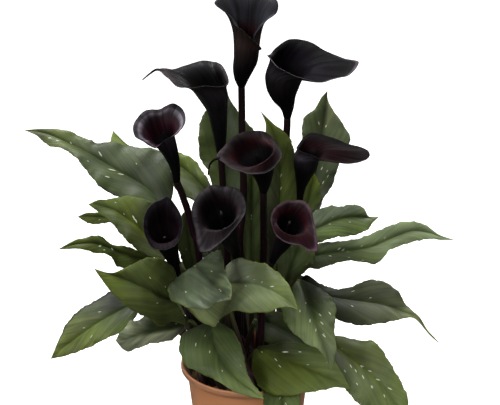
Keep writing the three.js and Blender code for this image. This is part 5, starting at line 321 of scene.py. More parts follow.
        m=[(-5.8, 36, 266.2), (-5.8, 46, 280.1), (-4.7, 60, 283.5), (-2.4, 80, 273.1), (0, 102, 251.1), (2.5, 124, 216.3), (3.8, 142, 179.4), (5.1, 156, 143.3),
           (6.5, 167, 109.1), (7.9, 174, 83.5)],
        b=[(-3.4, 30.3, 268.5), (10.8, 36.7, 280), (27.6, 55.8, 280.1), (33.2, 90.8, 259.6), (39, 121, 234), (41, 140, 201.3), (37.6, 153.1, 167.5),
           (31.5, 163.4, 132.6), (21.1, 170.7, 104.3), (7.9, 174, 83.5)],
        p=[(-9.1, 31, 118), (-8.7, 32.7, 135.9), (-5.8, 32.5, 261.4), (-5.8, 36, 266.2)],
    ),
}

# Flowers: centres of the rings up the funnel, stem, stem radius, spadix tip, and the columns of the funnel from joint to rim
FLOWERS = {
    "flower_1": dict(
        c=[(-7.1, 40, 464.3), (-7.2, 40, 473.6), (-5.7, 40, 484.1), (-2.5, 40, 495.6), (-1.5, 40, 505.9)],
        stem=[(-7.1, 40, 464.3), (-6.8, 38, 437.8), (-6.3, 33, 391.6), (-5, 28, 350.7), (-6.8, 22, 315.9), (-9.8, 16, 274.4), (-9, 10, 118)],
        rs=4,
        tip=(-1.8, 40, 520.8),
        net=[
            [(-4.5, 36.5, 464.5), (-2.4, 33.5, 473.3), (0.9, 30.9, 482.6), (5.6, 29.1, 494.1), (6.9, 28.6, 505.2), (7.4, 28.5, 509.6), (12.1, 26.8, 510.9),
             (15, 24, 512)],
            [(-5.9, 35.8, 464.6), (-4.9, 32.2, 473.5), (-2.6, 29.1, 483.4), (1.3, 27, 494.9), (2.5, 26.4, 505.6), (3.1, 26.1, 512.8), (3.6, 25.7, 520.9),
             (5.4, 19.4, 522.9)],
            [(-8, 35.7, 464.5), (-8.9, 32.1, 473.8), (-8, 28.8, 484.6), (-5.2, 26.7, 496.1), (-4.4, 26.1, 506.2), (-3.9, 25.6, 516.1), (-2.7, 28.6, 528.4),
             (-4.9, 20.1, 531.5)],
            [(-10.1, 36.7, 464.5), (-12.6, 34, 474), (-13.2, 31.5, 485.7), (-11.4, 29.9, 497.3), (-11, 29.5, 506.8), (-10.7, 29, 518.4), (-5.2, 33.9, 533.2),
             (-12.3, 26.4, 537.3)],
            [(-11.2, 38.4, 464.4), (-14.8, 37.1, 474.2), (-16.1, 35.9, 486.3), (-14.9, 35.2, 498), (-14.8, 34.9, 507.1), (-14.6, 34.7, 521.7),
             (-6.9, 37.6, 539.7), (-19.1, 34, 545.2)],
            [(-11.5, 39.9, 464.3), (-15.3, 39.9, 474.2), (-16.9, 39.8, 486.5), (-15.8, 39.8, 498.2), (-15.7, 39.7, 507.2), (-15.6, 39.7, 524.9),
             (-13.8, 40.7, 545.1), (-29.2, 41.3, 551.7)],
            [(-11.4, 41, 464.2), (-15.1, 41.9, 474.2), (-16.6, 42.6, 486.4), (-15.5, 43.1, 498.1), (-15.3, 43.2, 507.2), (-15.2, 43.5, 528.3), (-19.1, 44, 550.2),
             (-37.1, 47.5, 558.1)],
            [(-11, 42.2, 464.1), (-14.2, 44.1, 474.1), (-15.4, 45.7, 486.2), (-14, 46.8, 497.8), (-13.8, 47.1, 507), (-13.4, 47.7, 530.1), (-11.1, 45.8, 556.7),
             (-29.5, 53.8, 565.2)],
            [(-9.5, 43.7, 464.1), (-11.6, 46.8, 473.9), (-11.8, 49.6, 485.4), (-9.7, 51.4, 497), (-9.2, 51.9, 506.6), (-8.3, 52.9, 530.6), (0.6, 43, 561),
             (-13.2, 59, 569.4)],
            [(-6.9, 44.4, 464.1), (-6.8, 48.1, 473.6), (-5.1, 51.4, 483.9), (-1.7, 53.6, 495.5), (-0.7, 54.2, 505.9), (1, 55.3, 530.4), (3.5, 37.7, 562.8),
             (3.7, 59.8, 570.2)],
            [(-4.4, 43.4, 464.1), (-2.2, 46.3, 473.3), (1.3, 48.9, 482.6), (5.9, 50.6, 494), (7.3, 51, 505.2), (9.8, 51.8, 529.2), (3.9, 40.5, 561.6),
             (19.5, 56.2, 567.5)],
            [(-3.2, 41.9, 464.2), (0.1, 43.4, 473.1), (4.4, 44.8, 481.9), (9.7, 45.7, 493.3), (11.3, 46, 504.8), (13.9, 46.4, 527.3), (12.6, 43.5, 555.3),
             (32.3, 50.3, 560.4)],
            [(-2.8, 40.6, 464.3), (0.8, 41.1, 473.1), (5.3, 41.5, 481.7), (10.8, 41.8, 493.1), (12.5, 41.9, 504.7), (14.7, 42, 523.2), (15.6, 41.8, 545.2),
             (32.6, 44, 549.3)],
            [(-2.8, 39.4, 464.4), (0.8, 38.9, 473.1), (5.3, 38.4, 481.7), (10.8, 38.1, 493.1), (12.5, 38, 504.7), (14.2, 37.9, 519.5), (9.2, 39.2, 539.2),
             (22.8, 37.7, 542.5)],
            [(-3.2, 38.1, 464.5), (0.1, 36.5, 473.1), (4.3, 35.1, 481.9), (9.6, 34.2, 493.3), (11.2, 33.9, 504.8), (12.5, 33.7, 516.2), (5.5, 37.1, 532.1),
             (14.6, 31.8, 534.7)],
            [(-3.8, 37.2, 464.5), (-1.1, 34.8, 473.2), (2.8, 32.7, 482.2), (7.8, 31.2, 493.7), (9.3, 30.9, 505), (10, 30.7, 511.8), (4.7, 33.5, 521.2),
             (8.6, 28.6, 522.9)],
        ],
    ),
    "flower_2": dict(
        c=[(-30.6, 20, 386.2), (-31.3, 20, 406.5), (-32.5, 20, 425.4), (-34.4, 20, 443), (-37.3, 19, 456)],
        stem=[(-30.6, 20, 386.2), (-29.2, 19, 364.8), (-27.5, 17, 324), (-24.3, 14, 281.6), (-23, 3, 118)],
        rs=3.8,
        tip=(-39.4, 19.5, 465.2),
        tail=[(-92.8, 14, 489.3), (-101.1, 14.5, 490.9), (-108.4, 15, 486.3), (-117, 15, 479.2)],
        net=[
            [(-26.3, 19, 386.4), (-24.6, 18.5, 406.8), (-23.6, 18, 426.1), (-23.4, 17.6, 444.6), (-22.5, 15.7, 459), (-22, 14.5, 467.2), (-26.8, 8.3, 473.9),
             (-21.2, 4, 477.3)],
            [(-27.2, 17.2, 386.4), (-26, 15.6, 406.7), (-25.4, 14.2, 426), (-25.6, 12.8, 444.1), (-25.5, 9.3, 457.9), (-25.4, 6.5, 468), (-36.3, 1.5, 474.8),
             (-34.1, -7.7, 477.7)],
            [(-28.7, 16, 386.4), (-28.4, 13.8, 406.6), (-28.6, 11.7, 425.7), (-29.5, 9.7, 443.4), (-30.6, 5.1, 456.4), (-31.7, 0.8, 467.8), (-45.1, -0.8, 475.4),
             (-47.7, -11.9, 477.8)],
            [(-30.7, 15.6, 386.3), (-31.4, 13.1, 406.5), (-32.6, 10.8, 425.4), (-34.5, 8.6, 442.6), (-37.2, 3.6, 454.9), (-40.2, -1.8, 467.2), (-54, -0.8, 475.6),
             (-61.5, -11.4, 477.4)],
            [(-32.6, 16.1, 386.2), (-34.4, 13.8, 406.3), (-36.6, 11.8, 425), (-39.3, 9.8, 441.9), (-43.7, 5.2, 453.6), (-49.1, -0.4, 466.8), (-62.7, 0.9, 475.2),
             (-74.1, -8, 476.7)],
            [(-33.9, 17.1, 386.1), (-36.5, 15.4, 406.2), (-39.4, 13.9, 424.8), (-42.8, 12.4, 441.4), (-48.4, 8.8, 452.8), (-55.9, 3.8, 467.2),
             (-68.1, 4.3, 477.7), (-82.4, -2.8, 479.2)],
            [(-34.6, 18.2, 386), (-37.6, 17.2, 406.2), (-40.9, 16.2, 424.7), (-44.6, 15.3, 441.2), (-50.9, 12.7, 452.6), (-60.5, 8.6, 468.8), (-71.5, 8.4, 483),
             (-88.9, 3.1, 484.7)],
            [(-34.9, 19.2, 386), (-38.1, 18.8, 406.1), (-41.5, 18.3, 424.6), (-45.5, 17.9, 441.2), (-52, 16.2, 452.6), (-63.3, 13.3, 470.7), (-74.6, 11.4, 487.1),
             (-94.6, 7.9, 489)],
            [(-35, 20.2, 386), (-38.2, 20.3, 406.1), (-41.7, 20.4, 424.6), (-45.7, 20.4, 441.2), (-52.3, 19.6, 452.8), (-64.5, 18, 472.5), (-78.1, 15.1, 488.4),
             (-99.9, 14, 490.6)],
            [(-34.8, 21.3, 385.9), (-37.9, 22.1, 406.1), (-41.3, 22.8, 424.7), (-45.2, 23.4, 441.4), (-51.7, 23.6, 453.2), (-62.4, 23.9, 471.2),
             (-72.8, 18.7, 487.9), (-92.4, 20, 490.1)],
            [(-33.9, 22.9, 385.9), (-36.6, 24.5, 406.2), (-39.5, 25.9, 424.8), (-43.1, 27.3, 441.9), (-48.9, 28.9, 454.2), (-57.3, 31.1, 470.6),
             (-65.4, 21.6, 487.2), (-82.5, 25.2, 489.5)],
            [(-32, 24.1, 386), (-33.7, 26.5, 406.4), (-35.6, 28.7, 425.1), (-38.3, 30.7, 442.7), (-42.6, 33.5, 456), (-48, 36.8, 471.5), (-57.6, 25.7, 487),
             (-70.9, 34, 489.9)],
            [(-29.8, 24.3, 386.1), (-30.2, 26.8, 406.5), (-31, 29.1, 425.5), (-32.6, 31.2, 443.6), (-35.1, 34.1, 457.7), (-37.8, 37.4, 473), (-49.9, 30.1, 488.1),
             (-56.2, 43, 492.6)],
            [(-28.2, 23.7, 386.2), (-27.7, 25.9, 406.7), (-27.7, 27.8, 425.8), (-28.5, 29.7, 444.2), (-29.5, 32, 458.7), (-30.6, 34.5, 473.6),
             (-43.3, 32.6, 487.8), (-43.7, 45.8, 493.3)],
            [(-27.1, 22.7, 386.3), (-25.9, 24.3, 406.7), (-25.3, 25.7, 426), (-25.6, 27.1, 444.6), (-25.6, 28.5, 459.3), (-25.6, 29.8, 472.8),
             (-37.6, 29.5, 486.2), (-33.4, 40.1, 492.1)],
            [(-26.3, 21.1, 386.4), (-24.7, 21.8, 406.8), (-23.7, 22.4, 426.1), (-23.5, 22.9, 444.7), (-22.8, 22.9, 459.5), (-22.3, 22.9, 469.9),
             (-32.2, 23.3, 481.2), (-25, 27.7, 486.3)],
        ],
    ),
    "flower_3": dict(
        c=[(44.9, 30, 430.7), (44.7, 30, 442.5), (41.4, 30, 454.2), (39.6, 29, 466.1), (40.2, 28, 476.7)],
        stem=[(44.9, 30, 430.7), (44.4, 31, 412.6), (41.8, 32, 367.7), (35.2, 30, 312.9), (29.6, 27, 269.9), (24, 23, 118)],
        rs=4,
        tip=(41.7, 28, 484.8),
        net=[
            [(40.6, 29.4, 430.7), (37.3, 29, 441.3), (28.6, 28.4, 451.3), (21.8, 26.8, 465), (20, 25.3, 477.5), (18.7, 24.1, 488.6), (30.2, 20.5, 502),
             (21.3, 16, 505.4)],
            [(41, 28.1, 430.7), (38, 26.6, 441.5), (29.8, 24.2, 451.4), (23.5, 21.1, 464.5), (21.9, 18.9, 476.8), (20.9, 17.1, 487.2), (33.8, 12.8, 496.7),
             (29.3, 4.2, 499.3)],
            [(41.9, 26.9, 430.6), (39.5, 24.5, 441.7), (32.4, 20.6, 451.8), (27.1, 16.2, 464.3), (26, 13.3, 476.1), (25.4, 11, 486.3), (40.7, 7.4, 491.2),
             (40.8, -2.2, 493.5)],
            [(43.3, 26, 430.6), (41.9, 22.9, 442), (36.5, 17.8, 452.6), (32.9, 12.4, 464.3), (32.5, 9.1, 475.4), (32.4, 6.3, 485.6), (49.1, 3.6, 486.1),
             (52.4, -5.7, 488.2)],
            [(45.1, 25.7, 430.5), (45.2, 22.4, 442.5), (42.1, 16.8, 453.8), (40.6, 11.1, 464.5), (41.3, 7.7, 474.8), (42.2, 4.4, 485.5), (59.7, 2.3, 481),
             (66, -6, 483.3)],
            [(47, 26.3, 430.5), (48.5, 23.4, 443), (47.8, 18.5, 455.1), (48.6, 13.4, 465.2), (50.4, 10.4, 474.6), (52.8, 6.7, 487), (71.7, 4.2, 479),
             (81.4, -3.2, 481.7)],
            [(48.4, 27.5, 430.6), (50.9, 25.6, 443.4), (51.9, 22.3, 456.1), (54.3, 18.5, 465.9), (56.8, 16.3, 474.8), (61.3, 12.5, 490.7), (84.1, 9.1, 479.9),
             (98.4, 2.8, 483.7)],
            [(49, 28.8, 430.6), (52, 28, 443.5), (53.8, 26.3, 456.7), (56.9, 24, 466.5), (59.8, 22.5, 475.2), (66.4, 19.2, 495.4), (94.9, 15.7, 481.1),
             (114.1, 11.1, 486.2)],
            [(49.2, 30.1, 430.6), (52.3, 30.2, 443.6), (54.2, 30.2, 457), (57.6, 29.3, 467), (60.6, 28.5, 475.7), (68.7, 26.4, 499.7), (99.9, 23.7, 492),
             (123.1, 22, 498.3)],
            [(48.9, 31.6, 430.7), (51.7, 32.8, 443.5), (53.3, 34.8, 457), (56.4, 35.5, 467.5), (59.1, 35.5, 476.5), (65.1, 35.5, 495.4), (88.2, 32.5, 494),
             (106.2, 34.3, 499.2)],
            [(47.7, 33.2, 430.8), (49.8, 35.7, 443.2), (50, 39.7, 456.4), (51.7, 42.3, 467.9), (53.8, 43.1, 477.5), (57.6, 44.4, 493.5), (74, 39.8, 499.5),
             (87.9, 45.2, 504.3)],
            [(45.9, 34.2, 430.8), (46.5, 37.4, 442.7), (44.3, 42.8, 455.4), (43.9, 46.4, 467.8), (45, 47.8, 478.4), (47, 49.6, 494.8), (61.2, 43.9, 506.7),
             (72.3, 53.8, 512.1)],
            [(44, 34.2, 430.8), (43.2, 37.4, 442.2), (38.6, 42.9, 454.1), (35.9, 46.6, 467.4), (36, 47.8, 478.8), (36.4, 49.5, 495.5), (51.1, 44, 509.9),
             (58, 57, 515.8)],
            [(42.4, 33.5, 430.8), (40.5, 36.2, 441.8), (34, 40.9, 453), (29.4, 43.8, 466.9), (28.6, 44.7, 478.9), (28, 45.5, 493.8), (42.8, 41, 508.2),
             (43.9, 53.9, 513.9)],
            [(41.3, 32.4, 430.8), (38.5, 34.2, 441.5), (30.6, 37.4, 452.1), (24.7, 39, 466.2), (23.2, 39.2, 478.7), (22.2, 39.2, 490.9), (37.2, 34.3, 504.5),
             (32.5, 43.8, 509.4)],
            [(40.7, 30.9, 430.8), (37.4, 31.6, 441.4), (28.7, 32.9, 451.6), (22.1, 33, 465.5), (20.3, 32.3, 478.2), (19.1, 31.7, 488.7), (34.8, 27.5, 501.6),
             (25.8, 29.8, 505.4)],
        ],
    ),
    "flower_4": dict(
        c=[(-79.8, -8, 367), (-80.8, -9, 381.5), (-83.8, -10, 396), (-88, -11, 408), (-92.2, -12, 417.6)],
        stem=[(-79.8, -8, 367), (-75.9, -8, 357.4), (-72.1, -8, 345.4), (-68.4, -8, 333.3), (-62.5, -9, 306.9), (-56.1, -10, 277.7), (-44, -8, 118)],
        rs=3.9,
        tip=(-94.2, -12, 426.9),
        net=[
            [(-81.8, -11.7, 366.4), (-83.4, -13.7, 380.9), (-87.3, -16.6, 394.6), (-92.3, -19.7, 405.5), (-97.5, -22.8, 414.2), (-99.4, -23.9, 417.3),
             (-99.7, -28.8, 414.6), (-101.4, -32, 414.7)],
            [(-82.8, -10.9, 366.2), (-84.7, -12.7, 380.8), (-89.1, -15.2, 394.2), (-94.6, -17.7, 404.8), (-100.4, -20.4, 413.2), (-103.8, -22, 418.1),
             (-108.6, -24.4, 420.3), (-113.1, -28.1, 419.9)],
            [(-83.5, -9.9, 366.1), (-85.6, -11.5, 380.7), (-90.3, -13.5, 394), (-96.2, -15.5, 404.4), (-102.2, -17.5, 412.6), (-107.5, -19.3, 419.5),
             (-114.7, -20, 423.8), (-122.5, -23, 422.9)],
            [(-83.9, -8.9, 366.1), (-86, -10.2, 380.7), (-91, -11.6, 394), (-97, -13.1, 404.3), (-103.3, -14.5, 412.5), (-110.4, -16.2, 421.4),
             (-115.3, -16.4, 433.4), (-126.1, -18.1, 432.3)],
            [(-83.9, -7.5, 366.1), (-86.2, -8.4, 380.9), (-91.1, -9.1, 394.1), (-97.2, -9.7, 404.5), (-103.6, -10.3, 412.8), (-111.6, -11.1, 422.8),
             (-111.8, -13, 440.7), (-123.7, -11, 439.8)],
            [(-83.2, -5.5, 366.4), (-85.2, -5.9, 381.2), (-89.9, -5.6, 394.7), (-95.7, -5.1, 405.6), (-101.7, -4.6, 414.2), (-109.4, -3.9, 425),
             (-107.1, -12, 444.7), (-116.3, -3.5, 445.9)],
            [(-81.3, -4.1, 366.8), (-82.8, -4, 381.6), (-86.6, -2.9, 395.8), (-91.5, -1.7, 407.5), (-96.7, -0.3, 416.9), (-102.8, 1.3, 427.9),
             (-104.4, -7.4, 444.3), (-106.9, 3.6, 448.6)],
            [(-79.4, -3.8, 367.2), (-80.4, -3.6, 382), (-83.2, -2.5, 396.8), (-87.2, -1.1, 409.2), (-91.3, 0.4, 419.3), (-95.7, 1.9, 429.6), (-98.7, -0.3, 441.9),
             (-98, 9.2, 446.9)],
            [(-78.1, -4.2, 367.5), (-78.6, -4.1, 382.2), (-80.8, -3.2, 397.4), (-84.1, -2.1, 410.3), (-87.5, -0.9, 420.9), (-91.4, 0.5, 432.4),
             (-93.3, 2.8, 443.9), (-90.2, 12, 450.2)],
            [(-77.1, -4.9, 367.7), (-77.3, -5, 382.3), (-79, -4.4, 397.7), (-81.9, -3.7, 411.1), (-84.8, -2.9, 421.9), (-88.2, -1.9, 434.3), (-87, 3.4, 445),
             (-81.7, 11.5, 452.5)],
            [(-76.4, -5.8, 367.8), (-76.3, -6.1, 382.4), (-77.7, -6, 398), (-80.2, -5.8, 411.5), (-82.7, -5.6, 422.5), (-85.3, -5.3, 433.9), (-80, 0.7, 442.1),
             (-73.8, 6.2, 449.3)],
            [(-75.8, -7, 367.8), (-75.7, -7.7, 382.3), (-76.7, -8.2, 398.1), (-78.9, -8.8, 411.7), (-81.2, -9.3, 422.8), (-83, -9.7, 431.8), (-74.7, -4.6, 436.3),
             (-68.8, -2.2, 442.2)],
            [(-75.8, -8.7, 367.8), (-75.6, -9.9, 382.2), (-76.6, -11.3, 397.9), (-78.7, -12.8, 411.4), (-80.9, -14.3, 422.4), (-82.1, -15.1, 428.5),
             (-74.2, -11.9, 430.4), (-69.8, -12, 434.4)],
            [(-76.7, -10.7, 367.5), (-76.6, -12.4, 381.9), (-78.1, -14.8, 397.2), (-80.6, -17.4, 410.3), (-83.2, -20, 420.8), (-84, -20.9, 424.3),
             (-79.7, -19, 426.4), (-77.3, -20.4, 428.5)],
            [(-78.5, -12, 367.1), (-79.1, -14.1, 381.4), (-81.4, -17.2, 396.1), (-84.8, -20.5, 408.4), (-88.3, -23.9, 418.2), (-89, -24.5, 420.1),
             (-87.5, -24.4, 422.3), (-86.9, -26.1, 423.1)],
            [(-80.5, -12.1, 366.7), (-81.6, -14.3, 381.1), (-84.8, -17.5, 395.2), (-89.2, -20.8, 406.7), (-93.6, -24.3, 415.7), (-94.7, -25.1, 417.9),
             (-95, -28, 417.7), (-95.6, -30.4, 418.1)],
        ],
    ),
    "flower_5": dict(
        c=[(17.5, -28, 361), (18, -28, 372.8), (16.9, -29, 384.8), (13.5, -31, 395.9), (10.2, -32, 403.2)],
        stem=[(17.5, -28, 361), (17.6, -25, 337.3), (17.8, -21, 306.8), (17.4, -17, 275.7), (11, -8, 118)],
        rs=3.9,
        tip=(9.1, -32, 407.8),
        tail=[(-30, -46.5, 408.4), (-36.4, -45.6, 405.6), (-41.2, -45, 399.5), (-43.4, -44.5, 387.8)],
        net=[
            [(17.5, -32.1, 360.6), (17.8, -35.7, 372.4), (16.9, -40.9, 383.3), (13.8, -47.3, 393.4), (10.3, -51.8, 400.5), (8.4, -54.2, 404.3),
             (5.1, -55.7, 393.7), (3.6, -60, 393.7)],
            [(16, -31.8, 360.7), (15.1, -35.1, 372.4), (12.7, -40, 382.6), (8.2, -46, 391.6), (3.8, -50.2, 397.8), (1, -52.7, 401.5), (-4.1, -54.6, 395.8),
             (-7, -58.6, 395.6)],
            [(15, -31.2, 360.7), (13.1, -33.9, 372.4), (9.7, -38.3, 382.2), (4.2, -43.5, 390.5), (-0.9, -47, 396.1), (-5.1, -49.9, 400.5), (-11.6, -51, 399.6),
             (-16.5, -55.1, 399.1)],
            [(14.2, -30.4, 360.8), (11.7, -32.5, 372.4), (7.5, -36, 382.1), (1.3, -40.4, 390), (-4.3, -43.2, 395.1), (-10.5, -46.3, 400.6), (-17.8, -46.1, 403.7),
             (-25.2, -49.9, 402.7)],
            [(13.7, -29.6, 360.9), (10.9, -30.8, 372.5), (6.1, -33.5, 382.1), (-0.6, -36.9, 389.9), (-6.5, -39, 394.6), (-15.4, -42, 401.7),
             (-22.8, -42.6, 409.7), (-33.3, -46, 408.4)],
            [(13.4, -28.5, 361), (10.4, -28.7, 372.5), (5.2, -30.2, 382.4), (-1.9, -32.4, 390.1), (-7.9, -33.5, 394.8), (-17, -35, 401.5), (-20.1, -37.6, 414.7),
             (-30.7, -39.2, 413.4)],
            [(13.6, -26.7, 361.1), (10.7, -25.5, 372.7), (5.6, -25.2, 383.1), (-1.4, -25.5, 391.4), (-7.2, -25.1, 396.2), (-15.6, -24.4, 402.7),
             (-14.3, -31.2, 418.7), (-24.1, -29.4, 418)],
            [(14.9, -24.9, 361.3), (13.2, -22, 372.9), (9.1, -19.8, 384.5), (3.1, -18.3, 394.3), (-1.8, -16.4, 399.9), (-8.7, -13.6, 407.3), (-8.9, -26.5, 421.8),
             (-16.9, -20.8, 422.5)],
            [(16.8, -24, 361.3), (16.9, -20.4, 373.1), (14.7, -17.2, 385.9), (10.5, -14.9, 397.5), (6.8, -12.3, 404.4), (2.3, -9.2, 412.5), (-3.6, -20, 423.1),
             (-7.5, -12, 425.7)],
            [(18.4, -24, 361.3), (19.9, -20.5, 373.1), (19.3, -17.4, 386.8), (16.5, -15.2, 399.6), (13.9, -12.8, 407.5), (11.2, -10.4, 415.3),
             (4.3, -12.1, 422.5), (3.6, -4.8, 426.1)],
            [(19.5, -24.4, 361.3), (21.8, -21.3, 373.2), (22.3, -18.6, 387.2), (20.5, -16.9, 400.8), (18.6, -14.9, 409.4), (16.8, -13.2, 416.7),
             (13.6, -7.6, 420.2), (14.6, -1.5, 424.1)],
            [(20.3, -25, 361.2), (23.4, -22.5, 373.1), (24.7, -20.4, 387.5), (23.8, -19.4, 401.6), (22.4, -18, 410.7), (21.3, -17, 417.1), (22.1, -9.2, 417.6),
             (24.1, -4.7, 421.4)],
            [(21.1, -26, 361.1), (24.8, -24.4, 373.1), (27.1, -23.3, 387.5), (26.9, -23.5, 402), (25.9, -23, 411.7), (25.5, -22.8, 416.2), (30, -15.4, 411.2),
             (32.4, -13, 413.9)],
            [(21.6, -27.7, 361), (25.7, -27.6, 373), (28.6, -28.3, 387.2), (29, -30.3, 401.7), (28.3, -31.4, 411.6), (28, -32, 416.6), (33.4, -26.9, 402.3),
             (37.8, -26, 404)],
            [(21.1, -30, 360.8), (24.7, -31.8, 372.8), (27.3, -34.8, 386.1), (27.3, -39.2, 399.6), (26.3, -42.2, 409.2), (25.8, -43.5, 413.5),
             (27.5, -40.4, 397.7), (31.1, -42.8, 398.2)],
            [(19.4, -31.6, 360.7), (21.4, -34.9, 372.6), (22.5, -39.6, 384.5), (21, -45.7, 396.3), (18.9, -50, 404.7), (17.8, -51.9, 408.6), (17.6, -51.3, 394.4),
             (18.3, -55.5, 394.2)],
        ],
    ),
    "flower_6": dict(
        c=[(59.3, 6, 340.3), (60.6, 6, 354.8), (62.7, 6, 368.1), (65, 5, 380.4), (65.7, 4, 389.6)],
        stem=[(59.3, 6, 340.3), (58.3, 7, 315.4), (53.6, 7, 278.1), (36, 3, 118)],
        rs=3.6,
        tip=(66.7, 5.5, 396.3),
        net=[
            [(55.6, 4.7, 340.5), (55.5, 4.3, 355.5), (54.3, 3.1, 369.4), (52.5, 0.6, 381.7), (51.9, -0.7, 390), (51.5, -1.6, 396.2), (59.4, -2.6, 403.5),
             (54.9, -6, 405.3)],
            [(56.2, 3.7, 340.4), (56.3, 2.8, 355.4), (55.5, 0.6, 369.1), (54.4, -2.9, 381.1), (53.9, -4.5, 389.5), (53.6, -5.7, 396), (64.7, -5.9, 400.5),
             (63.7, -12, 401.9)],
            [(57.2, 2.7, 340.3), (57.7, 1.5, 355.2), (57.8, -1.6, 368.6), (57.8, -6.2, 380.4), (57.7, -8.1, 388.9), (57.6, -9.8, 396.8), (72.6, -7.8, 395.8),
             (76.4, -14.3, 397.3)],
            [(58.9, 2.1, 340.2), (60.1, 0.6, 354.9), (61.9, -3, 367.9), (63.8, -8.2, 379.3), (64.3, -10.4, 388.2), (64.7, -12.5, 397.9), (82.3, -7.4, 391.4),
             (89.9, -12.7, 393.3)],
            [(61.1, 2.6, 340.1), (63.1, 1.2, 354.5), (66.8, -1.9, 367), (71.2, -6.6, 378.5), (72.4, -8.7, 387.8), (73.6, -11.1, 399.7), (93.7, -4.5, 386.9),
             (104.3, -8, 389.5)],
            [(62.6, 3.9, 340), (65.1, 3.1, 354.3), (70.2, 1.3, 366.6), (76.2, -1.9, 378.2), (77.9, -3.6, 388), (80, -6.2, 403.7), (105.4, 0.3, 382.3),
             (120, -1.7, 386)],
            [(63.1, 5.1, 340), (65.8, 4.8, 354.2), (71.3, 4, 366.5), (77.9, 2.1, 378.3), (79.7, 0.8, 388.4), (82.6, -1.8, 407.5), (113, 4.6, 384.4),
             (130.9, 4.1, 389)],
            [(63.2, 5.9, 340.1), (65.9, 5.8, 354.2), (71.5, 5.8, 366.5), (78.2, 4.7, 378.5), (80.1, 3.6, 388.6), (83.4, 1.1, 410.2), (117.5, 7.6, 386.2),
             (137.5, 8.2, 391.6)],
            [(63.1, 6.7, 340.1), (65.9, 6.9, 354.2), (71.4, 7.6, 366.6), (78, 7.4, 378.8), (79.9, 6.5, 389), (83.1, 4.5, 410.2), (116, 10.9, 392),
             (135.5, 13, 397.4)],
            [(62.7, 7.9, 340.1), (65.3, 8.6, 354.3), (70.4, 10.4, 366.9), (76.6, 11.5, 379.4), (78.4, 11, 389.6), (80.8, 9.8, 407.1), (107.1, 17.1, 395.6),
             (122.6, 21.6, 400.4)],
            [(61.5, 9.2, 340.2), (63.6, 10.5, 354.5), (67.6, 13.5, 367.5), (72.4, 16.1, 380.4), (73.8, 16, 390.4), (75.4, 15.5, 405.2), (97, 21.7, 398.5),
             (108.7, 28.2, 402.9)],
            [(59.5, 9.9, 340.4), (60.8, 11.4, 354.8), (63.1, 15, 368.4), (65.8, 18.2, 381.5), (66.5, 18.4, 391.1), (67.2, 18.3, 404.4), (86.2, 24.1, 402.2),
             (94.5, 32.4, 406.6)],
            [(57.7, 9.5, 340.5), (58.3, 10.9, 355.1), (59, 14.2, 369), (59.6, 17, 382.3), (59.7, 17.1, 391.4), (59.8, 16.9, 404.3), (76.4, 23.9, 406.3),
             (81.5, 34, 411)],
            [(56.4, 8.6, 340.5), (56.6, 9.6, 355.3), (56.1, 12, 369.5), (55.3, 13.8, 382.6), (55, 13.7, 391.4), (54.6, 13.3, 403.2), (68.8, 20.7, 407.9),
             (70.2, 30.9, 412.5)],
            [(55.7, 7.4, 340.5), (55.6, 7.9, 355.4), (54.4, 9.1, 369.7), (52.7, 9.6, 382.5), (52.2, 9.1, 391.1), (51.6, 8.5, 399.7), (63.6, 14.1, 404.1),
             (61.9, 21.3, 407.5)],
            [(55.4, 6, 340.5), (55.2, 6, 355.5), (53.8, 5.9, 369.6), (51.9, 4.9, 382.2), (51.2, 4, 390.6), (50.8, 3.3, 396.2), (60.4, 5.7, 401.9),
             (56, 7.8, 404.2)],
        ],
    ),
    "flower_7": dict(
        c=[(-79.4, -46, 273.3), (-82.7, -55, 290.4), (-85.9, -65, 307.8), (-88.6, -73, 322.8), (-90, -78, 333)],
        stem=[(-79.4, -46, 273.3), (-74.6, -38, 253.8), (-66.3, -30, 227.7), (-42, -20, 118)],
        rs=3.9,
        tip=(-90.2, -81, 329.5),
        net=[
            [(-79.9, -49.7, 271.4), (-83.4, -60.5, 287.3), (-87, -73.2, 303), (-90.2, -84.8, 316.5), (-92, -92.6, 325.5), (-92.7, -95.4, 328.8),
             (-90.9, -99.8, 323.8), (-91.2, -104, 323.2)],
            [(-81.2, -49.3, 271.3), (-85.3, -59.9, 287.2), (-89.9, -72.3, 303), (-94.2, -83.5, 316.5), (-96.9, -91, 325.6), (-97.9, -93.8, 329),
             (-98.8, -98.5, 326.1), (-100.4, -102.4, 325.5)],
            [(-82.4, -48.4, 271.5), (-87.2, -58.6, 287.6), (-92.7, -70.4, 303.5), (-98.2, -80.8, 317.3), (-101.7, -87.7, 326.6), (-103.3, -90.6, 330.6),
             (-104.6, -94.5, 333.4), (-107.9, -98.1, 333)],
            [(-83.3, -47, 271.9), (-88.6, -56.5, 288.5), (-94.8, -67.3, 304.8), (-101.1, -76.5, 319), (-105.3, -82.4, 328.7), (-107.7, -85.8, 334.2),
             (-105.8, -89.5, 342.4), (-111.6, -92.3, 342.5)],
            [(-83.5, -45.3, 272.7), (-89, -54, 289.8), (-95.4, -63.5, 306.9), (-101.9, -70.9, 321.7), (-106.3, -75.6, 331.9), (-109.5, -79, 339.3),
             (-103.4, -85.7, 350), (-111.5, -86, 351.7)],
            [(-82.8, -43.5, 273.7), (-87.9, -51.4, 291.4), (-93.8, -59.7, 309.3), (-99.6, -65.5, 324.9), (-103.5, -68.9, 335.6), (-106.8, -71.7, 344.8),
             (-100.5, -82.7, 355.8), (-108.2, -78.7, 360.1)],
            [(-81.4, -42.5, 274.5), (-85.7, -49.8, 292.7), (-90.5, -57.3, 311.2), (-94.9, -62, 327.4), (-97.7, -64.5, 338.5), (-100.3, -66.8, 348.8),
             (-97.2, -79.3, 359.3), (-101.2, -72.4, 365.8)],
            [(-79.9, -42.2, 274.9), (-83.5, -49.4, 293.4), (-87.1, -56.6, 312.2), (-90.2, -61, 328.7), (-91.9, -63.2, 340), (-93.4, -65.1, 350.4),
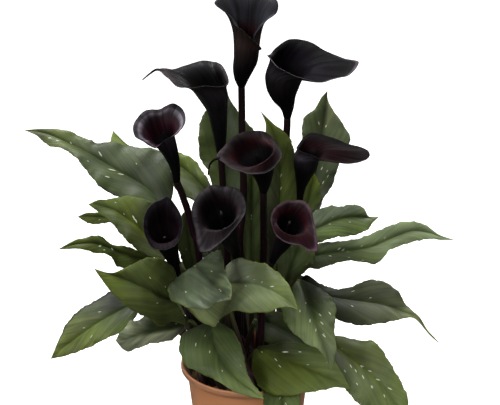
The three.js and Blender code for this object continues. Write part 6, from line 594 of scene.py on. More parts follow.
             (-92.9, -74.9, 360.6), (-93.4, -67.6, 367.7)],
            [(-78.8, -42.3, 275.1), (-81.8, -49.5, 293.6), (-84.6, -56.8, 312.6), (-86.7, -61.3, 329.2), (-87.6, -63.5, 340.4), (-88.5, -65.6, 351.8),
             (-89, -72.5, 363), (-87.2, -65, 370.8)],
            [(-77.9, -42.6, 275.2), (-80.4, -50, 293.6), (-82.5, -57.4, 312.6), (-83.7, -62.1, 329.2), (-84, -64.5, 340.4), (-84.2, -66.6, 350.3),
             (-86, -72.5, 360.2), (-83.1, -66.4, 367)],
            [(-76.8, -43.3, 275.1), (-78.8, -50.9, 293.4), (-80, -58.9, 312.2), (-80.2, -64.2, 328.7), (-79.7, -67, 339.8), (-79.3, -69, 347.8),
             (-81.8, -73.8, 356), (-77.7, -69.8, 361.3)],
            [(-75.7, -44.6, 274.7), (-77.1, -52.9, 292.6), (-77.5, -61.9, 311), (-76.7, -68.4, 327.1), (-75.3, -72.2, 337.8), (-74.6, -74.2, 343.6),
             (-76.7, -77.6, 349.9), (-72.1, -76.4, 353.2)],
            [(-75.3, -46.6, 273.9), (-76.4, -55.8, 291.2), (-76.5, -66.1, 308.8), (-75.2, -74.5, 324.2), (-73.6, -79.7, 334.4), (-73, -81.6, 338.3),
             (-73.2, -84, 342.3), (-69.4, -85, 343.8)],
            [(-76, -48.4, 272.9), (-77.4, -58.5, 289.5), (-78, -70.2, 306.3), (-77.4, -80.3, 320.8), (-76.3, -86.9, 330.5), (-76, -88.6, 333.1),
             (-73.9, -90.6, 334.2), (-71.6, -92.5, 334.6)],
            [(-77.4, -49.5, 272.1), (-79.5, -60.1, 288.2), (-81.1, -72.6, 304.4), (-81.9, -83.8, 318.3), (-81.8, -91.3, 327.6), (-81.7, -93.4, 330.3),
             (-79.9, -96.8, 326.9), (-78.6, -99.8, 326.8)],
            [(-78.8, -49.8, 271.6), (-81.6, -60.6, 287.6), (-84.3, -73.4, 303.4), (-86.3, -85, 317), (-87.3, -92.7, 326.1), (-87.6, -95.5, 329.3),
             (-86.3, -99.7, 324.4), (-85.9, -103.7, 323.9)],
        ],
    ),
    "flower_8": dict(
        c=[(-11, -35, 280.8), (-14.3, -43, 297.5), (-19.6, -54, 315.2), (-25.3, -66, 333.5), (-28.9, -70, 345)],
        stem=[(-11, -35, 280.8), (-10, -29, 261), (-10.7, -24, 238.8), (-12, -12, 118)],
        rs=3.9,
        tip=(-28.8, -74, 356.9),
        net=[
            [(-10.5, -38.9, 279.3), (-13.2, -48.6, 294.6), (-17.8, -62.4, 310.4), (-23, -78.9, 327.3), (-26.9, -86.6, 339.8), (-28.8, -90.2, 346.1),
             (-31.3, -92.3, 327.5), (-32.7, -99, 325.8)],
            [(-12.1, -38.7, 279.2), (-15.7, -48.3, 294.2), (-21.6, -61.8, 309.6), (-28.6, -78, 326), (-33.6, -85.4, 338.1), (-36.7, -89.8, 345.8),
             (-38.4, -93.7, 323.8), (-42.1, -101.4, 321.4)],
            [(-13.1, -38.3, 279.3), (-17.1, -47.7, 294.2), (-23.8, -60.8, 309.5), (-31.7, -76.5, 325.8), (-37.2, -83.5, 337.6), (-41.4, -88.4, 346.4),
             (-44.9, -92.9, 322.1), (-50.8, -100.9, 319.5)],
            [(-13.8, -37.9, 279.4), (-18.2, -47, 294.3), (-25.4, -59.7, 309.7), (-34.1, -74.8, 326), (-40, -81.3, 337.5), (-43.5, -84.8, 344.2),
             (-48.8, -89.8, 329.8), (-54.3, -95.4, 328.9)],
            [(-14.5, -37.1, 279.6), (-19.3, -45.8, 294.7), (-27.2, -57.9, 310.3), (-36.6, -72, 326.7), (-43, -77.7, 337.8), (-45.9, -80.1, 343),
             (-51.1, -84.6, 341), (-56.1, -88, 340.4)],
            [(-15.1, -35.7, 280), (-20.3, -43.8, 295.6), (-28.7, -55, 311.7), (-38.8, -67.4, 328.5), (-45.3, -71.8, 339.1), (-49.3, -74.2, 345.6),
             (-52.5, -78.5, 352), (-59.8, -80.5, 351.7)],
            [(-15.1, -33.9, 280.7), (-20.4, -41.2, 297), (-28.9, -51.2, 314.1), (-39, -61.6, 331.6), (-45.2, -64.3, 341.8), (-50.2, -66.1, 350),
             (-50.6, -73.7, 360.6), (-59.8, -73, 361.2)],
            [(-14.1, -32.2, 281.5), (-19, -38.8, 298.6), (-26.9, -47.7, 317), (-35.8, -56.2, 335.4), (-41.1, -57.4, 345.5), (-46.3, -58, 355.4),
             (-46.1, -70.5, 367.5), (-55.1, -65.5, 370.1)],
            [(-12.4, -31.2, 282.1), (-16.6, -37.5, 299.9), (-23.2, -45.9, 319.2), (-30.4, -53.4, 338.6), (-34.4, -53.8, 348.9), (-38.5, -53.6, 359.6),
             (-42.1, -66.1, 370.9), (-47.4, -58, 375.8)],
            [(-10.8, -31.1, 282.3), (-14.1, -37.4, 300.6), (-19.6, -45.7, 320.4), (-25, -53.3, 340.4), (-27.8, -53.6, 351), (-30.7, -53.4, 361.8),
             (-36.5, -61.8, 372.5), (-37.8, -53.3, 378.8)],
            [(-9.6, -31.4, 282.3), (-12.3, -37.9, 300.8), (-16.7, -46.5, 320.8), (-20.8, -54.5, 341.1), (-22.9, -55.2, 352.1), (-24.6, -55.3, 361.7),
             (-29, -59.2, 371.1), (-27.3, -52.4, 377.3)],
            [(-8.6, -31.9, 282.3), (-10.9, -38.7, 300.7), (-14.6, -47.7, 320.7), (-17.7, -56.3, 341.1), (-19.2, -57.5, 352.4), (-20.4, -58.1, 361.7),
             (-22.2, -57.5, 370.4), (-18.8, -52, 376.5)],
            [(-7.8, -32.6, 282.1), (-9.6, -39.7, 300.5), (-12.6, -49.3, 320.3), (-14.9, -58.9, 340.6), (-16, -60.8, 352.3), (-16.8, -61.9, 361.1),
             (-14.3, -58.8, 368.3), (-9.5, -55, 374.1)],
            [(-7.1, -33.8, 281.7), (-8.5, -41.5, 299.8), (-10.9, -52, 319.1), (-12.4, -62.9, 339.2), (-13.1, -66, 351.4), (-13.5, -67.4, 357.6),
             (-6.9, -64.8, 360.1), (-2.4, -63.9, 364)],
            [(-6.9, -35.8, 281), (-8.1, -44.3, 298.3), (-10.2, -56.1, 316.7), (-11.4, -69.3, 336.1), (-12.4, -74.3, 348.7), (-12.6, -75.4, 351.7),
             (-6.7, -74, 349.4), (-4.2, -74.8, 351)],
            [(-8.2, -38, 280), (-9.8, -47.4, 296.2), (-12.7, -60.7, 313), (-15.4, -76.3, 331.1), (-17.6, -83.3, 343.9), (-18.1, -84.6, 346.7),
             (-17.9, -85.8, 337.7), (-16.6, -88.4, 337.7)],
        ],
    ),
    "flower_9": dict(
        c=[(27, -52, 288), (31.3, -56, 300.5), (37.1, -62, 314.2), (42.8, -68, 329), (45.9, -72, 338.8)],
        stem=[(27, -52, 288), (21.6, -47, 271.3), (17.2, -45, 250.7), (12, -41, 118)],
        rs=3.8,
        tip=(45.7, -76, 346.1),
        net=[
            [(28.4, -55.6, 286.4), (33.2, -61.2, 297.7), (39.9, -69.8, 309.8), (46.7, -78.7, 323.2), (50.4, -84.5, 332.2), (52.4, -87.6, 337.2),
             (56.3, -90.1, 324.7), (59.3, -95, 323.6)],
            [(26.9, -56, 286.8), (31, -61.8, 298.3), (36.7, -70.7, 310.8), (42.2, -79.9, 324.4), (45.2, -85.8, 333.3), (46.3, -88, 336.8), (47.8, -88.5, 325.9),
             (48.6, -92.3, 324.8)],
            [(25.1, -55.7, 287.5), (28.4, -61.4, 299.5), (32.7, -70.1, 312.6), (36.8, -79, 326.7), (38.8, -84.6, 335.8), (39.4, -86.4, 338.7),
             (39.2, -85.5, 328.4), (38.3, -88.6, 327.7)],
            [(23.7, -54.5, 288.3), (26.4, -59.8, 300.9), (29.7, -67.7, 314.8), (32.6, -75.6, 329.6), (33.9, -80.7, 339), (34.2, -82, 341.5), (32.4, -82.1, 333),
             (30.6, -84.1, 333)],
            [(23.1, -53, 289), (25.5, -57.6, 302.1), (28.4, -64.4, 316.7), (30.8, -71.1, 332), (31.8, -75.4, 341.7), (32, -76.4, 344), (28, -77.1, 339.7),
             (26, -78, 340.5)],
            [(23.1, -51.6, 289.4), (25.6, -55.5, 302.9), (28.5, -61.3, 318), (31, -66.8, 333.7), (32, -70.4, 343.7), (32.3, -71.5, 346.6), (27.7, -71.6, 346.5),
             (25.3, -71.8, 348.3)],
            [(23.6, -50.2, 289.6), (26.4, -53.5, 303.3), (29.7, -58.4, 318.8), (32.6, -62.9, 334.8), (33.9, -65.9, 345), (34.5, -67.2, 349.3),
             (31.6, -66.6, 352.8), (28.6, -65.5, 355.7)],
            [(24.5, -49.1, 289.7), (27.7, -51.9, 303.4), (31.8, -55.8, 319), (35.5, -59.5, 335.1), (37.3, -62, 345.5), (38.2, -63.3, 350.9), (38.7, -62.1, 356.2),
             (36.6, -59.1, 360)],
            [(25.8, -48.3, 289.5), (29.6, -50.7, 303.1), (34.6, -54.1, 318.6), (39.3, -57.1, 334.7), (41.8, -59.3, 345.2), (43.2, -60.7, 351.5),
             (46.5, -59.6, 357.2), (46.1, -55, 361.4)],
            [(27.1, -48, 289.2), (31.5, -50.2, 302.6), (37.6, -53.3, 317.7), (43.5, -56.1, 333.6), (46.6, -58.2, 344.2), (48.8, -59.8, 351.5),
             (53.6, -59.9, 357.8), (55.7, -54.2, 362.1)],
            [(28.5, -48.2, 288.6), (33.6, -50.4, 301.7), (40.7, -53.6, 316.3), (47.8, -56.5, 331.9), (51.7, -58.9, 342.3), (54.4, -60.5, 349.8),
             (59.3, -63, 356.4), (63.7, -57.8, 359.9)],
            [(30, -49, 287.9), (35.7, -51.6, 300.4), (43.8, -55.4, 314.3), (52.1, -59.1, 329.3), (56.7, -61.9, 339.5), (59.5, -63.7, 345.8), (63.3, -67.4, 351.5),
             (69.1, -64.4, 353.4)],
            [(30.9, -50.8, 287), (37, -54.2, 299), (45.8, -59.2, 311.9), (54.8, -64.3, 326.2), (59.9, -68, 336), (62.3, -69.8, 340.8), (66.5, -73.1, 342.9),
             (71.8, -73, 343.2)],
            [(30.8, -52.8, 286.4), (36.8, -57, 297.9), (45.5, -63.5, 310.2), (54.4, -70.2, 324), (59.4, -74.8, 333.4), (62.1, -77.3, 338.7), (68.6, -80.8, 333.7),
             (74.2, -83.2, 333.1)],
            [(30.1, -54.2, 286.2), (35.8, -59.1, 297.5), (43.9, -66.6, 309.6), (52.2, -74.4, 323.1), (56.8, -79.6, 332.2), (60.8, -84.1, 340.4),
             (68.1, -88.5, 321.6), (75.4, -94.6, 320.3)],
            [(29.4, -55, 286.2), (34.6, -60.3, 297.5), (42.1, -68.4, 309.5), (49.7, -76.9, 322.9), (54, -82.4, 332), (57.2, -86.8, 339.3), (62.4, -91, 321.2),
             (67.9, -97.5, 319.5)],
        ],
    ),
}

# ---------------------------------------------------------------- vectors and curves


def unit(v):
    v = np.asarray(v, float)
    return v / np.maximum(np.linalg.norm(v, axis=-1, keepdims=True), 1e-9)


def through(points, u, closed=False):
    """The smooth curve through points, read at u from 0 to 1. Points may be an array of any shape after the first axis."""
    p = np.asarray(points, float)
    n = len(p)
    u = np.asarray(u, float)
    if closed:
        x = (u % 1.0) * n
        i = np.floor(x).astype(int)
        take = lambda k: p[(i + k) % n]
    else:
        x = np.clip(u, 0, 1) * (n - 1)
        i = np.minimum(np.floor(x).astype(int), n - 2)
        q = np.concatenate([2 * p[:1] - p[1:2], p, 2 * p[-1:] - p[-2:-1]])
        take = lambda k: q[i + k + 1]
    f = (x - i).reshape((-1,) + (1,) * (p.ndim - 1))
    p0, p1, p2, p3 = take(-1), take(0), take(1), take(2)
    return 0.5 * (
        2 * p1
        + (p2 - p0) * f
        + (2 * p0 - 5 * p1 + 4 * p2 - p3) * f**2
        + (3 * p1 - p0 - 3 * p2 + p3) * f**3
    )


def bezier(p, u):
    u = np.asarray(u, float).reshape((-1,) + (1,) * np.asarray(p[0]).ndim)
    v = 1 - u
    return p[0] * v**3 + 3 * p[1] * v**2 * u + 3 * p[2] * v * u**2 + p[3] * u**3


def step(x, lo, hi):
    """0 below lo, 1 above hi, smooth between."""
    t = np.clip((np.asarray(x, float) - lo) / (hi - lo), 0, 1)
    return t * t * (3 - 2 * t)


def mix(a, b, k):
    k = np.asarray(k, float)[..., None]
    return np.asarray(a, float) * (1 - k) + np.asarray(b, float) * k


def waves(x, y, z, seed, octaves=3):
    """Smooth made-up noise from sums of sines, about -1 to 1, the same on every run."""
    r = np.random.RandomState(seed)
    out, size, total = 0.0, 1.0, 0.0
    for _ in range(octaves):
        for _ in range(4):
            d = r.normal(size=3)
            d = d / np.linalg.norm(d) / size
            out = out + size * np.sin(
                2 * math.pi * (x * d[0] + y * d[1] + z * d[2]) + r.uniform(0, 6.28)
            )
            total += size * 0.5
        size *= 0.5
    return out / total


# ---------------------------------------------------------------- meshes


def quads(rows, cols, ring=False, flip=False):
    """Faces of a grid whose points run along each row. ring joins the last column to the first."""
    i = np.arange(rows - 1)[:, None]
    k = np.arange(cols if ring else cols - 1)[None, :]
    n = (k + 1) % cols
    a, b = i * cols + k, i * cols + n
    c, d = b + cols, a + cols
    f = np.stack([a, b, c, d], -1).reshape(-1, 4)
    return f[:, ::-1] if flip else f


def fan(ring, centre, flip=False):
    f = np.stack([ring, np.roll(ring, -1), np.full(len(ring), centre)], -1)
    return f[:, ::-1] if flip else f


def facing_out(points, faces):
    """The same faces, all turned over if the closed shape is inside out."""
    total = 0.0
    for f in faces:
        p = points[f]
        for j in range(1, f.shape[1] - 1):
            total += np.einsum(
                "ij,ij->i", p[:, 0], np.cross(p[:, j], p[:, j + 1])
            ).sum()
    return [f[:, ::-1] for f in faces] if total < 0 else faces


def part(points, faces, material=0, **values):
    """One closed body: points in mm, a list of face arrays, and values for each point."""
    points = np.asarray(points, float).reshape(-1, 3)
    return dict(
        points=points,
        faces=facing_out(points, faces),
        material=material,
        values={k: np.asarray(v, float) for k, v in values.items()},
    )


BOX_LOW = np.array(cad_box[0]) + 0.00002
BOX_HIGH = np.array(cad_box[1]) - 0.00002


def piece(name, parts, materials, nodes, smooth=True):
    """Makes one object of several bodies, in metres, and stands it in for its CAD nodes."""
    points, faces, of_material, base = [], [], [], 0
    for p in parts:
        points.append(np.clip(p["points"] * MM, BOX_LOW, BOX_HIGH))
        for f in p["faces"]:
            faces += (f + base).tolist()
            of_material += [p["material"]] * len(f)
        base += len(p["points"])
    mesh = bpy.data.meshes.new(name)
    mesh.from_pydata(np.concatenate(points).tolist(), [], faces)
    mesh.polygons.foreach_set("material_index", np.array(of_material, np.int32))
    mesh.polygons.foreach_set("use_smooth", np.full(len(faces), smooth))
    names = sorted({k for p in parts for k in p["values"]})
    for k in names:
        wide = max(
            p["values"][k].shape[-1] if p["values"][k].ndim > 1 else 1
            for p in parts
            if k in p["values"]
        )
        rows = []
        for p in parts:
            v = p["values"].get(k)
            n = len(p["points"])
            if v is None:
                v = np.zeros((n, wide))
            rows.append(v.reshape(n, -1))
        rows = np.concatenate(rows).astype(np.float32)
        if k == "tone":
            made = mesh.attributes.new(k, "FLOAT_COLOR", "POINT")
            rows = np.concatenate([rows, np.ones((len(rows), 1), np.float32)], 1)
            made.data.foreach_set("color", rows.ravel())
        elif wide == 3:
            mesh.attributes.new(k, "FLOAT_VECTOR", "POINT").data.foreach_set(
                "vector", rows.ravel()
            )
        else:
            mesh.attributes.new(k, "FLOAT", "POINT").data.foreach_set(
                "value", rows.ravel()
            )
    for m in materials:
        mesh.materials.append(m)
    mesh.update()
    made = bpy.data.objects.new(name, mesh)
    bpy.context.scene.collection.objects.link(made)
    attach(made, "root")
    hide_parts(*nodes)
    return made


def tube(path, radii, sides, squash=None, caps=True):
    """Points and faces of a round body along a path. squash(i, angle) may change its radius."""
    path = np.asarray(path, float)
    radii = np.asarray(radii, float)
    n = len(path)
    t = unit(np.gradient(path, axis=0))
    side = np.zeros_like(path)
    s = np.cross([0.0, 1.0, 0.01], t[0])
    for i in range(n):
        s = unit(s - t[i] * np.dot(s, t[i]))
        side[i] = s
    other = np.cross(t, side)
    a = 2 * math.pi * np.arange(sides) / sides
    r = radii[:, None] * np.ones(sides)
    if squash is not None:
        r = r * squash(np.linspace(0, 1, n)[:, None], a[None, :])
    grid = (
        path[:, None]
        + side[:, None] * (r * np.cos(a))[..., None]
        + other[:, None] * (r * np.sin(a))[..., None]
    )
    points = np.concatenate([grid.reshape(-1, 3), path[:1], path[-1:]])
    ring = np.arange(sides)
    faces = [
        quads(n, sides, ring=True),
        fan(ring, n * sides, flip=True),
        fan(ring + (n - 1) * sides, n * sides + 1),
    ]
    return points, faces


def length_along(path):
    return np.concatenate(
        [[0], np.cumsum(np.linalg.norm(np.diff(path, axis=0), axis=1))]
    )


# ---------------------------------------------------------------- materials


class Look:
    """A node material in few words."""

    def __init__(self, name):
        self.material = bpy.data.materials.new(name)
        self.material.use_nodes = True
        self.tree = self.material.node_tree
        self.tree.nodes.clear()
        self.out = self.tree.nodes.new("ShaderNodeOutputMaterial")
        self.shader = self.tree.nodes.new("ShaderNodeBsdfPrincipled")
        self.tree.links.new(self.shader.outputs[0], self.out.inputs["Surface"])

    def node(self, kind, **settings):
        n = self.tree.nodes.new(kind)
        for k, v in settings.items():
            setattr(n, k, v)
        return n

    def put(self, socket, value):
        if isinstance(value, bpy.types.NodeSocket):
            self.tree.links.new(value, socket)
        else:
            socket.default_value = value

    def set(self, **values):
        for k, v in values.items():
            self.put(self.shader.inputs[k.replace("_", " ")], v)

    def value(self, name):
        return self.node("ShaderNodeAttribute", attribute_name=name)

    def math(self, what, *values, clamp=False):
        n = self.node("ShaderNodeMath", operation=what, use_clamp=clamp)
        for s, v in zip(n.inputs, values):
            self.put(s, v)
        return n.outputs[0]

    def vector(self, what, *values):
        n = self.node("ShaderNodeVectorMath", operation=what)
        for s, v in zip(n.inputs, values):
            self.put(s, v)
        return n

    def blend(self, amount, a, b, how="MIX"):
        n = self.node("ShaderNodeMix", data_type="RGBA", blend_type=how)
        n.clamp_factor = True
        self.put(n.inputs[0], amount)
        self.put(n.inputs[6], a)
        self.put(n.inputs[7], b)
        return n.outputs[2]

    def ranged(self, value, lo, hi, to_lo=0.0, to_hi=1.0):
        n = self.node("ShaderNodeMapRange", interpolation_type="SMOOTHSTEP")
        for s, v in zip(n.inputs, (value, lo, hi, to_lo, to_hi)):
            self.put(s, v)
        return n.outputs[0]

    def noise(self, at, scale, detail=3.0, rough=0.55):
        n = self.node("ShaderNodeTexNoise", noise_dimensions="3D")
        self.put(n.inputs["Vector"], at)
        n.inputs["Scale"].default_value = scale
        n.inputs["Detail"].default_value = detail
        n.inputs["Roughness"].default_value = rough
        return n

    def cells(self, at, scale, random=1.0, feature="F1"):
        n = self.node("ShaderNodeTexVoronoi", feature=feature)
        self.put(n.inputs["Vector"], at)
        n.inputs["Scale"].default_value = scale
        n.inputs["Randomness"].default_value = random
        return n

    def bump(self, height, distance, strength=1.0, over=None):
        n = self.node("ShaderNodeBump")
        n.inputs["Strength"].default_value = strength
        n.inputs["Distance"].default_value = distance
        self.put(n.inputs["Height"], height)
        if over is not None:
            self.put(n.inputs["Normal"], over)
        return n.outputs[0]

    def place(self):
        return self.node("ShaderNodeTexCoord").outputs["Object"]


def leaf_look(name, flecks, density, gloss, shine, streaks):
    """A satin leaf: veins running out from the midrib, mottling, and white flecks that lie along the veins."""
    g = Look(name)
    at = g.value("sheet").outputs["Vector"]  # across, along and vein number
    split = g.node("ShaderNodeSeparateXYZ")
    g.put(split.inputs[0], at)
    across, along, vein = split.outputs
    tone = g.value("tone").outputs["Color"]
    place = g.place()
    # fine veins between the main ones
    wobble = g.noise(place, 45.0, 2.0)
    turned = g.math("MULTIPLY_ADD", wobble.outputs[0], 0.7, vein)
    fine = g.math("SINE", g.math("MULTIPLY", turned, 2 * math.pi * 4.0))
    main = g.math("COSINE", g.math("MULTIPLY", turned, 2 * math.pi))
    line = g.math("POWER", g.math("MAXIMUM", main, 0.0), 6.0)
    away = g.ranged(g.math("ABSOLUTE", across), 0.8, 5.0)
    line = g.math("MULTIPLY", line, away)
    # long soft streaks of lighter and darker green that lie along the veins
    lanes = g.node("ShaderNodeCombineXYZ")
    g.put(lanes.inputs[0], g.math("MULTIPLY", vein, 0.75))
    g.put(lanes.inputs[1], g.math("MULTIPLY", across, 0.035))
    g.put(lanes.inputs[2], float(sum(map(ord, name)) % 89))
    streak = g.noise(lanes.outputs[0], 1.0, 3.0, 0.6)
    mottle = g.noise(place, 38.0, 4.0, 0.6)
    grain = g.noise(place, 900.0, 2.0, 0.5)
    shade = g.math("MULTIPLY_ADD", mottle.outputs[0], 0.6, 0.77 - streaks / 2)
    shade = g.math("MULTIPLY_ADD", streak.outputs[0], streaks, shade)
    shade = g.math("MULTIPLY_ADD", fine, 0.02, shade)
    shade = g.math("MULTIPLY_ADD", line, -0.12, shade)
    shade = g.math("MULTIPLY_ADD", grain.outputs[0], 0.1, shade)
    grey = g.node("ShaderNodeCombineColor")
    for s in grey.inputs:
        g.put(s, shade)
    colour = g.blend(1.0, tone, grey.outputs[0], "MULTIPLY")
    # the lighter streaks are yellower
    gold = g.ranged(streak.outputs[0], 0.52, 0.72)
    colour = g.blend(
        g.math("MULTIPLY", gold, 0.45), colour, (1.2, 1.12, 0.55, 1), "MULTIPLY"
    )
    # scattered flecks: long cells along the veins, only a few of them white
    spread = g.node("ShaderNodeCombineXYZ")
    g.put(spread.inputs[0], g.math("MULTIPLY", vein, 2.2))
    g.put(spread.inputs[1], g.math("MULTIPLY", across, 0.3))
    g.put(spread.inputs[2], float(sum(map(ord, name)) % 97))
    cell = g.cells(spread.outputs[0], 1.0, 0.9)
    chosen = g.node("ShaderNodeSeparateColor")
    g.put(chosen.inputs[0], cell.outputs["Color"])
    size = g.math("MULTIPLY_ADD", chosen.outputs[1], 0.16, 0.1)
    spot = g.math("SUBTRACT", size, cell.outputs["Distance"])
    spot = g.ranged(spot, 0.0, 0.08)
    fleck = g.math(
        "MULTIPLY", spot, g.math("GREATER_THAN", chosen.outputs[0], 1.0 - density)
    )
    # and the clear ones, each at its own place on the blade
    for x, y, long, wide, turn in flecks:
        m = g.node("ShaderNodeMapping", vector_type="TEXTURE")
        g.put(m.inputs["Vector"], at)
        m.inputs["Location"].default_value = (x, y, 0)
        m.inputs["Rotation"].default_value = (0, 0, turn)
        m.inputs["Scale"].default_value = (long * 1.3, wide * 1.25, 1e6)
        far = g.vector("LENGTH", m.outputs[0]).outputs["Value"]
        fleck = g.math("MAXIMUM", fleck, g.ranged(far, 1.15, 0.55))
    colour = g.blend(g.math("MULTIPLY", fleck, 0.92), colour, (0.56, 0.60, 0.44, 1))
    rough = g.math("MULTIPLY_ADD", mottle.outputs[0], 0.25, gloss)
    rough = g.math("MULTIPLY_ADD", fleck, 0.1, rough)
    height = g.math("MULTIPLY_ADD", fine, 0.03, g.math("MULTIPLY", line, -0.12))
    height = g.math("MULTIPLY_ADD", streak.outputs[0], 0.5, height)
    height = g.math("MULTIPLY_ADD", mottle.outputs[0], 0.6, height)
    height = g.math("MULTIPLY_ADD", grain.outputs[0], 0.1, height)
    g.set(
        Base_Color=colour,
        Roughness=rough,
        Normal=g.bump(height, 0.0007, 0.55),
    )
    g.shader.inputs["Specular IOR Level"].default_value = shine
    g.shader.inputs["Sheen Weight"].default_value = 0.01
    g.shader.inputs["Sheen Roughness"].default_value = 0.5
    g.shader.inputs["Sheen Tint"].default_value = (0.9, 0.93, 1.0, 1)
    return g.material


def stalk_look(name, gloss=0.38):
    """A leaf stalk or flower stem: smooth skin with fine lengthwise ribs and specks."""
    g = Look(name)
    tone = g.value("tone").outputs["Color"]
    at = g.value("skin").outputs["Vector"]  # round, along
    stretched = g.node("ShaderNodeMapping")
    g.put(stretched.inputs["Vector"], at)
    stretched.inputs["Scale"].default_value = (1.0, 0.12, 1.0)
    streak = g.noise(stretched.outputs[0], 1.3, 3.0)
    speck = g.noise(g.place(), 420.0, 2.0)
    shade = g.math("MULTIPLY_ADD", streak.outputs[0], 0.7, 0.65)
    grey = g.node("ShaderNodeCombineColor")
    for s in grey.inputs:
        g.put(s, shade)
    colour = g.blend(1.0, tone, grey.outputs[0], "MULTIPLY")
    dots = g.ranged(speck.outputs[0], 0.6, 0.72)
    colour = g.blend(g.math("MULTIPLY", dots, 0.25), colour, (0.05, 0.03, 0.04, 1))
    g.set(
        Base_Color=colour,
        Roughness=g.math("MULTIPLY_ADD", streak.outputs[0], 0.15, gloss),
        Normal=g.bump(streak.outputs[0], 0.0004, 0.5),
    )
    g.shader.inputs["Specular IOR Level"].default_value = 0.12
    return g.material


def spathe_look(name, shine, dull, sheen, folds):
    """The flower's sheet: nearly black, velvety, with fine veins running up the funnel."""
    g = Look(name)
    tone = g.value("tone").outputs["Color"]
    at = g.value("skin").outputs["Vector"]  # round, along
    stretched = g.node("ShaderNodeMapping")
    g.put(stretched.inputs["Vector"], at)
    stretched.inputs["Scale"].default_value = (1.0, 0.07, 1.0)
    streak = g.noise(stretched.outputs[0], 0.9, 3.0)
    lane = g.noise(stretched.outputs[0], 0.3, 2.0)
    soft = g.noise(g.place(), 70.0, 3.0)
    grain = g.noise(g.place(), 1400.0, 2.0)
    shade = g.math("MULTIPLY_ADD", lane.outputs[0], folds, 0.55 - folds / 2)
    shade = g.math("MULTIPLY_ADD", streak.outputs[0], 0.6, shade)
    shade = g.math("MULTIPLY_ADD", soft.outputs[0], 0.5, shade)
    grey = g.node("ShaderNodeCombineColor")
    for s in grey.inputs:
        g.put(s, shade)
    colour = g.blend(1.0, tone, grey.outputs[0], "MULTIPLY")
    rough = g.math("MULTIPLY_ADD", soft.outputs[0], 0.2, dull)
    rough = g.math("MULTIPLY_ADD", streak.outputs[0], 0.08, rough)
    height = g.math("MULTIPLY_ADD", lane.outputs[0], folds, streak.outputs[0])
    height = g.math("MULTIPLY_ADD", grain.outputs[0], 0.12, height)
    g.set(
        Base_Color=colour,
        Roughness=rough,
        Normal=g.bump(height, 0.0005, 0.5),
    )
    g.shader.inputs["Specular IOR Level"].default_value = shine
    g.shader.inputs["Sheen Weight"].default_value = sheen
    g.shader.inputs["Sheen Roughness"].default_value = 0.35
    g.shader.inputs["Sheen Tint"].default_value = (0.75, 0.68, 0.85, 1)
    return g.material


def spadix_look():
    g = Look("spadix_beads")
    tone = g.value("tone").outputs["Color"]
    bead = g.cells(g.place(), 1500.0, 0.6)
    shade = g.ranged(bead.outputs["Distance"], 0.1, 0.7, 1.25, 0.5)
    grey = g.node("ShaderNodeCombineColor")
    for s in grey.inputs:
        g.put(s, shade)
    g.set(
        Base_Color=g.blend(1.0, tone, grey.outputs[0], "MULTIPLY"),
        Roughness=g.ranged(bead.outputs["Distance"], 0.0, 0.8, 0.45, 0.75),
        Normal=g.bump(
            g.math("SUBTRACT", 1.0, bead.outputs["Distance"]), 0.0004, 0.6
        ),
    )
    g.shader.inputs["Specular IOR Level"].default_value = 0.05
    return g.material


def pot_look():
    """Moulded terracotta-coloured plastic: faint mottling, fine grain, dust and soil marks inside the lip."""
    g = Look("pot_plastic")
    place = g.place()
    cloud = g.noise(place, 14.0, 4.0, 0.6)
    grain = g.noise(place, 2600.0, 2.0)
    fine = g.noise(place, 240.0, 4.0, 0.65)
    tone = g.value("tone").outputs["Color"]
    shade = g.math("MULTIPLY_ADD", cloud.outputs[0], 0.22, 0.82)
    shade = g.math("MULTIPLY_ADD", fine.outputs[0], 0.14, shade)
    grey = g.node("ShaderNodeCombineColor")
    for s in grey.inputs:
        g.put(s, shade)
    colour = g.blend(1.0, tone, grey.outputs[0], "MULTIPLY")
    split = g.node("ShaderNodeSeparateXYZ")
    g.put(split.inputs[0], place)
    dirt = g.value("dirt").outputs["Fac"]
    stain = g.math(
        "MULTIPLY", dirt, g.ranged(fine.outputs[0], 0.42, 0.62), clamp=True
    )
    colour = g.blend(stain, colour, (0.035, 0.022, 0.014, 1))
    scuff = g.cells(place, 55.0, 1.0, "DISTANCE_TO_EDGE")
    mark = g.math(
        "MULTIPLY",
        g.ranged(scuff.outputs["Distance"], 0.012, 0.0),
        g.ranged(cloud.outputs[0], 0.55, 0.7),
    )
    colour = g.blend(g.math("MULTIPLY", mark, 0.2), colour, (0.62, 0.38, 0.26, 1))
    height = g.math("MULTIPLY_ADD", grain.outputs[0], 0.25, fine.outputs[0])
    g.set(
        Base_Color=colour,
        Roughness=g.math("MULTIPLY_ADD", cloud.outputs[0], 0.2, 0.42),
        Normal=g.bump(height, 0.00025, 0.4),
    )
    g.shader.inputs["Specular IOR Level"].default_value = 0.4
    g.shader.inputs["Sheen Weight"].default_value = 0.12
    g.shader.inputs["Sheen Roughness"].default_value = 0.4
    g.shader.inputs["Sheen Tint"].default_value = (1.0, 0.86, 0.8, 1)
    return g.material


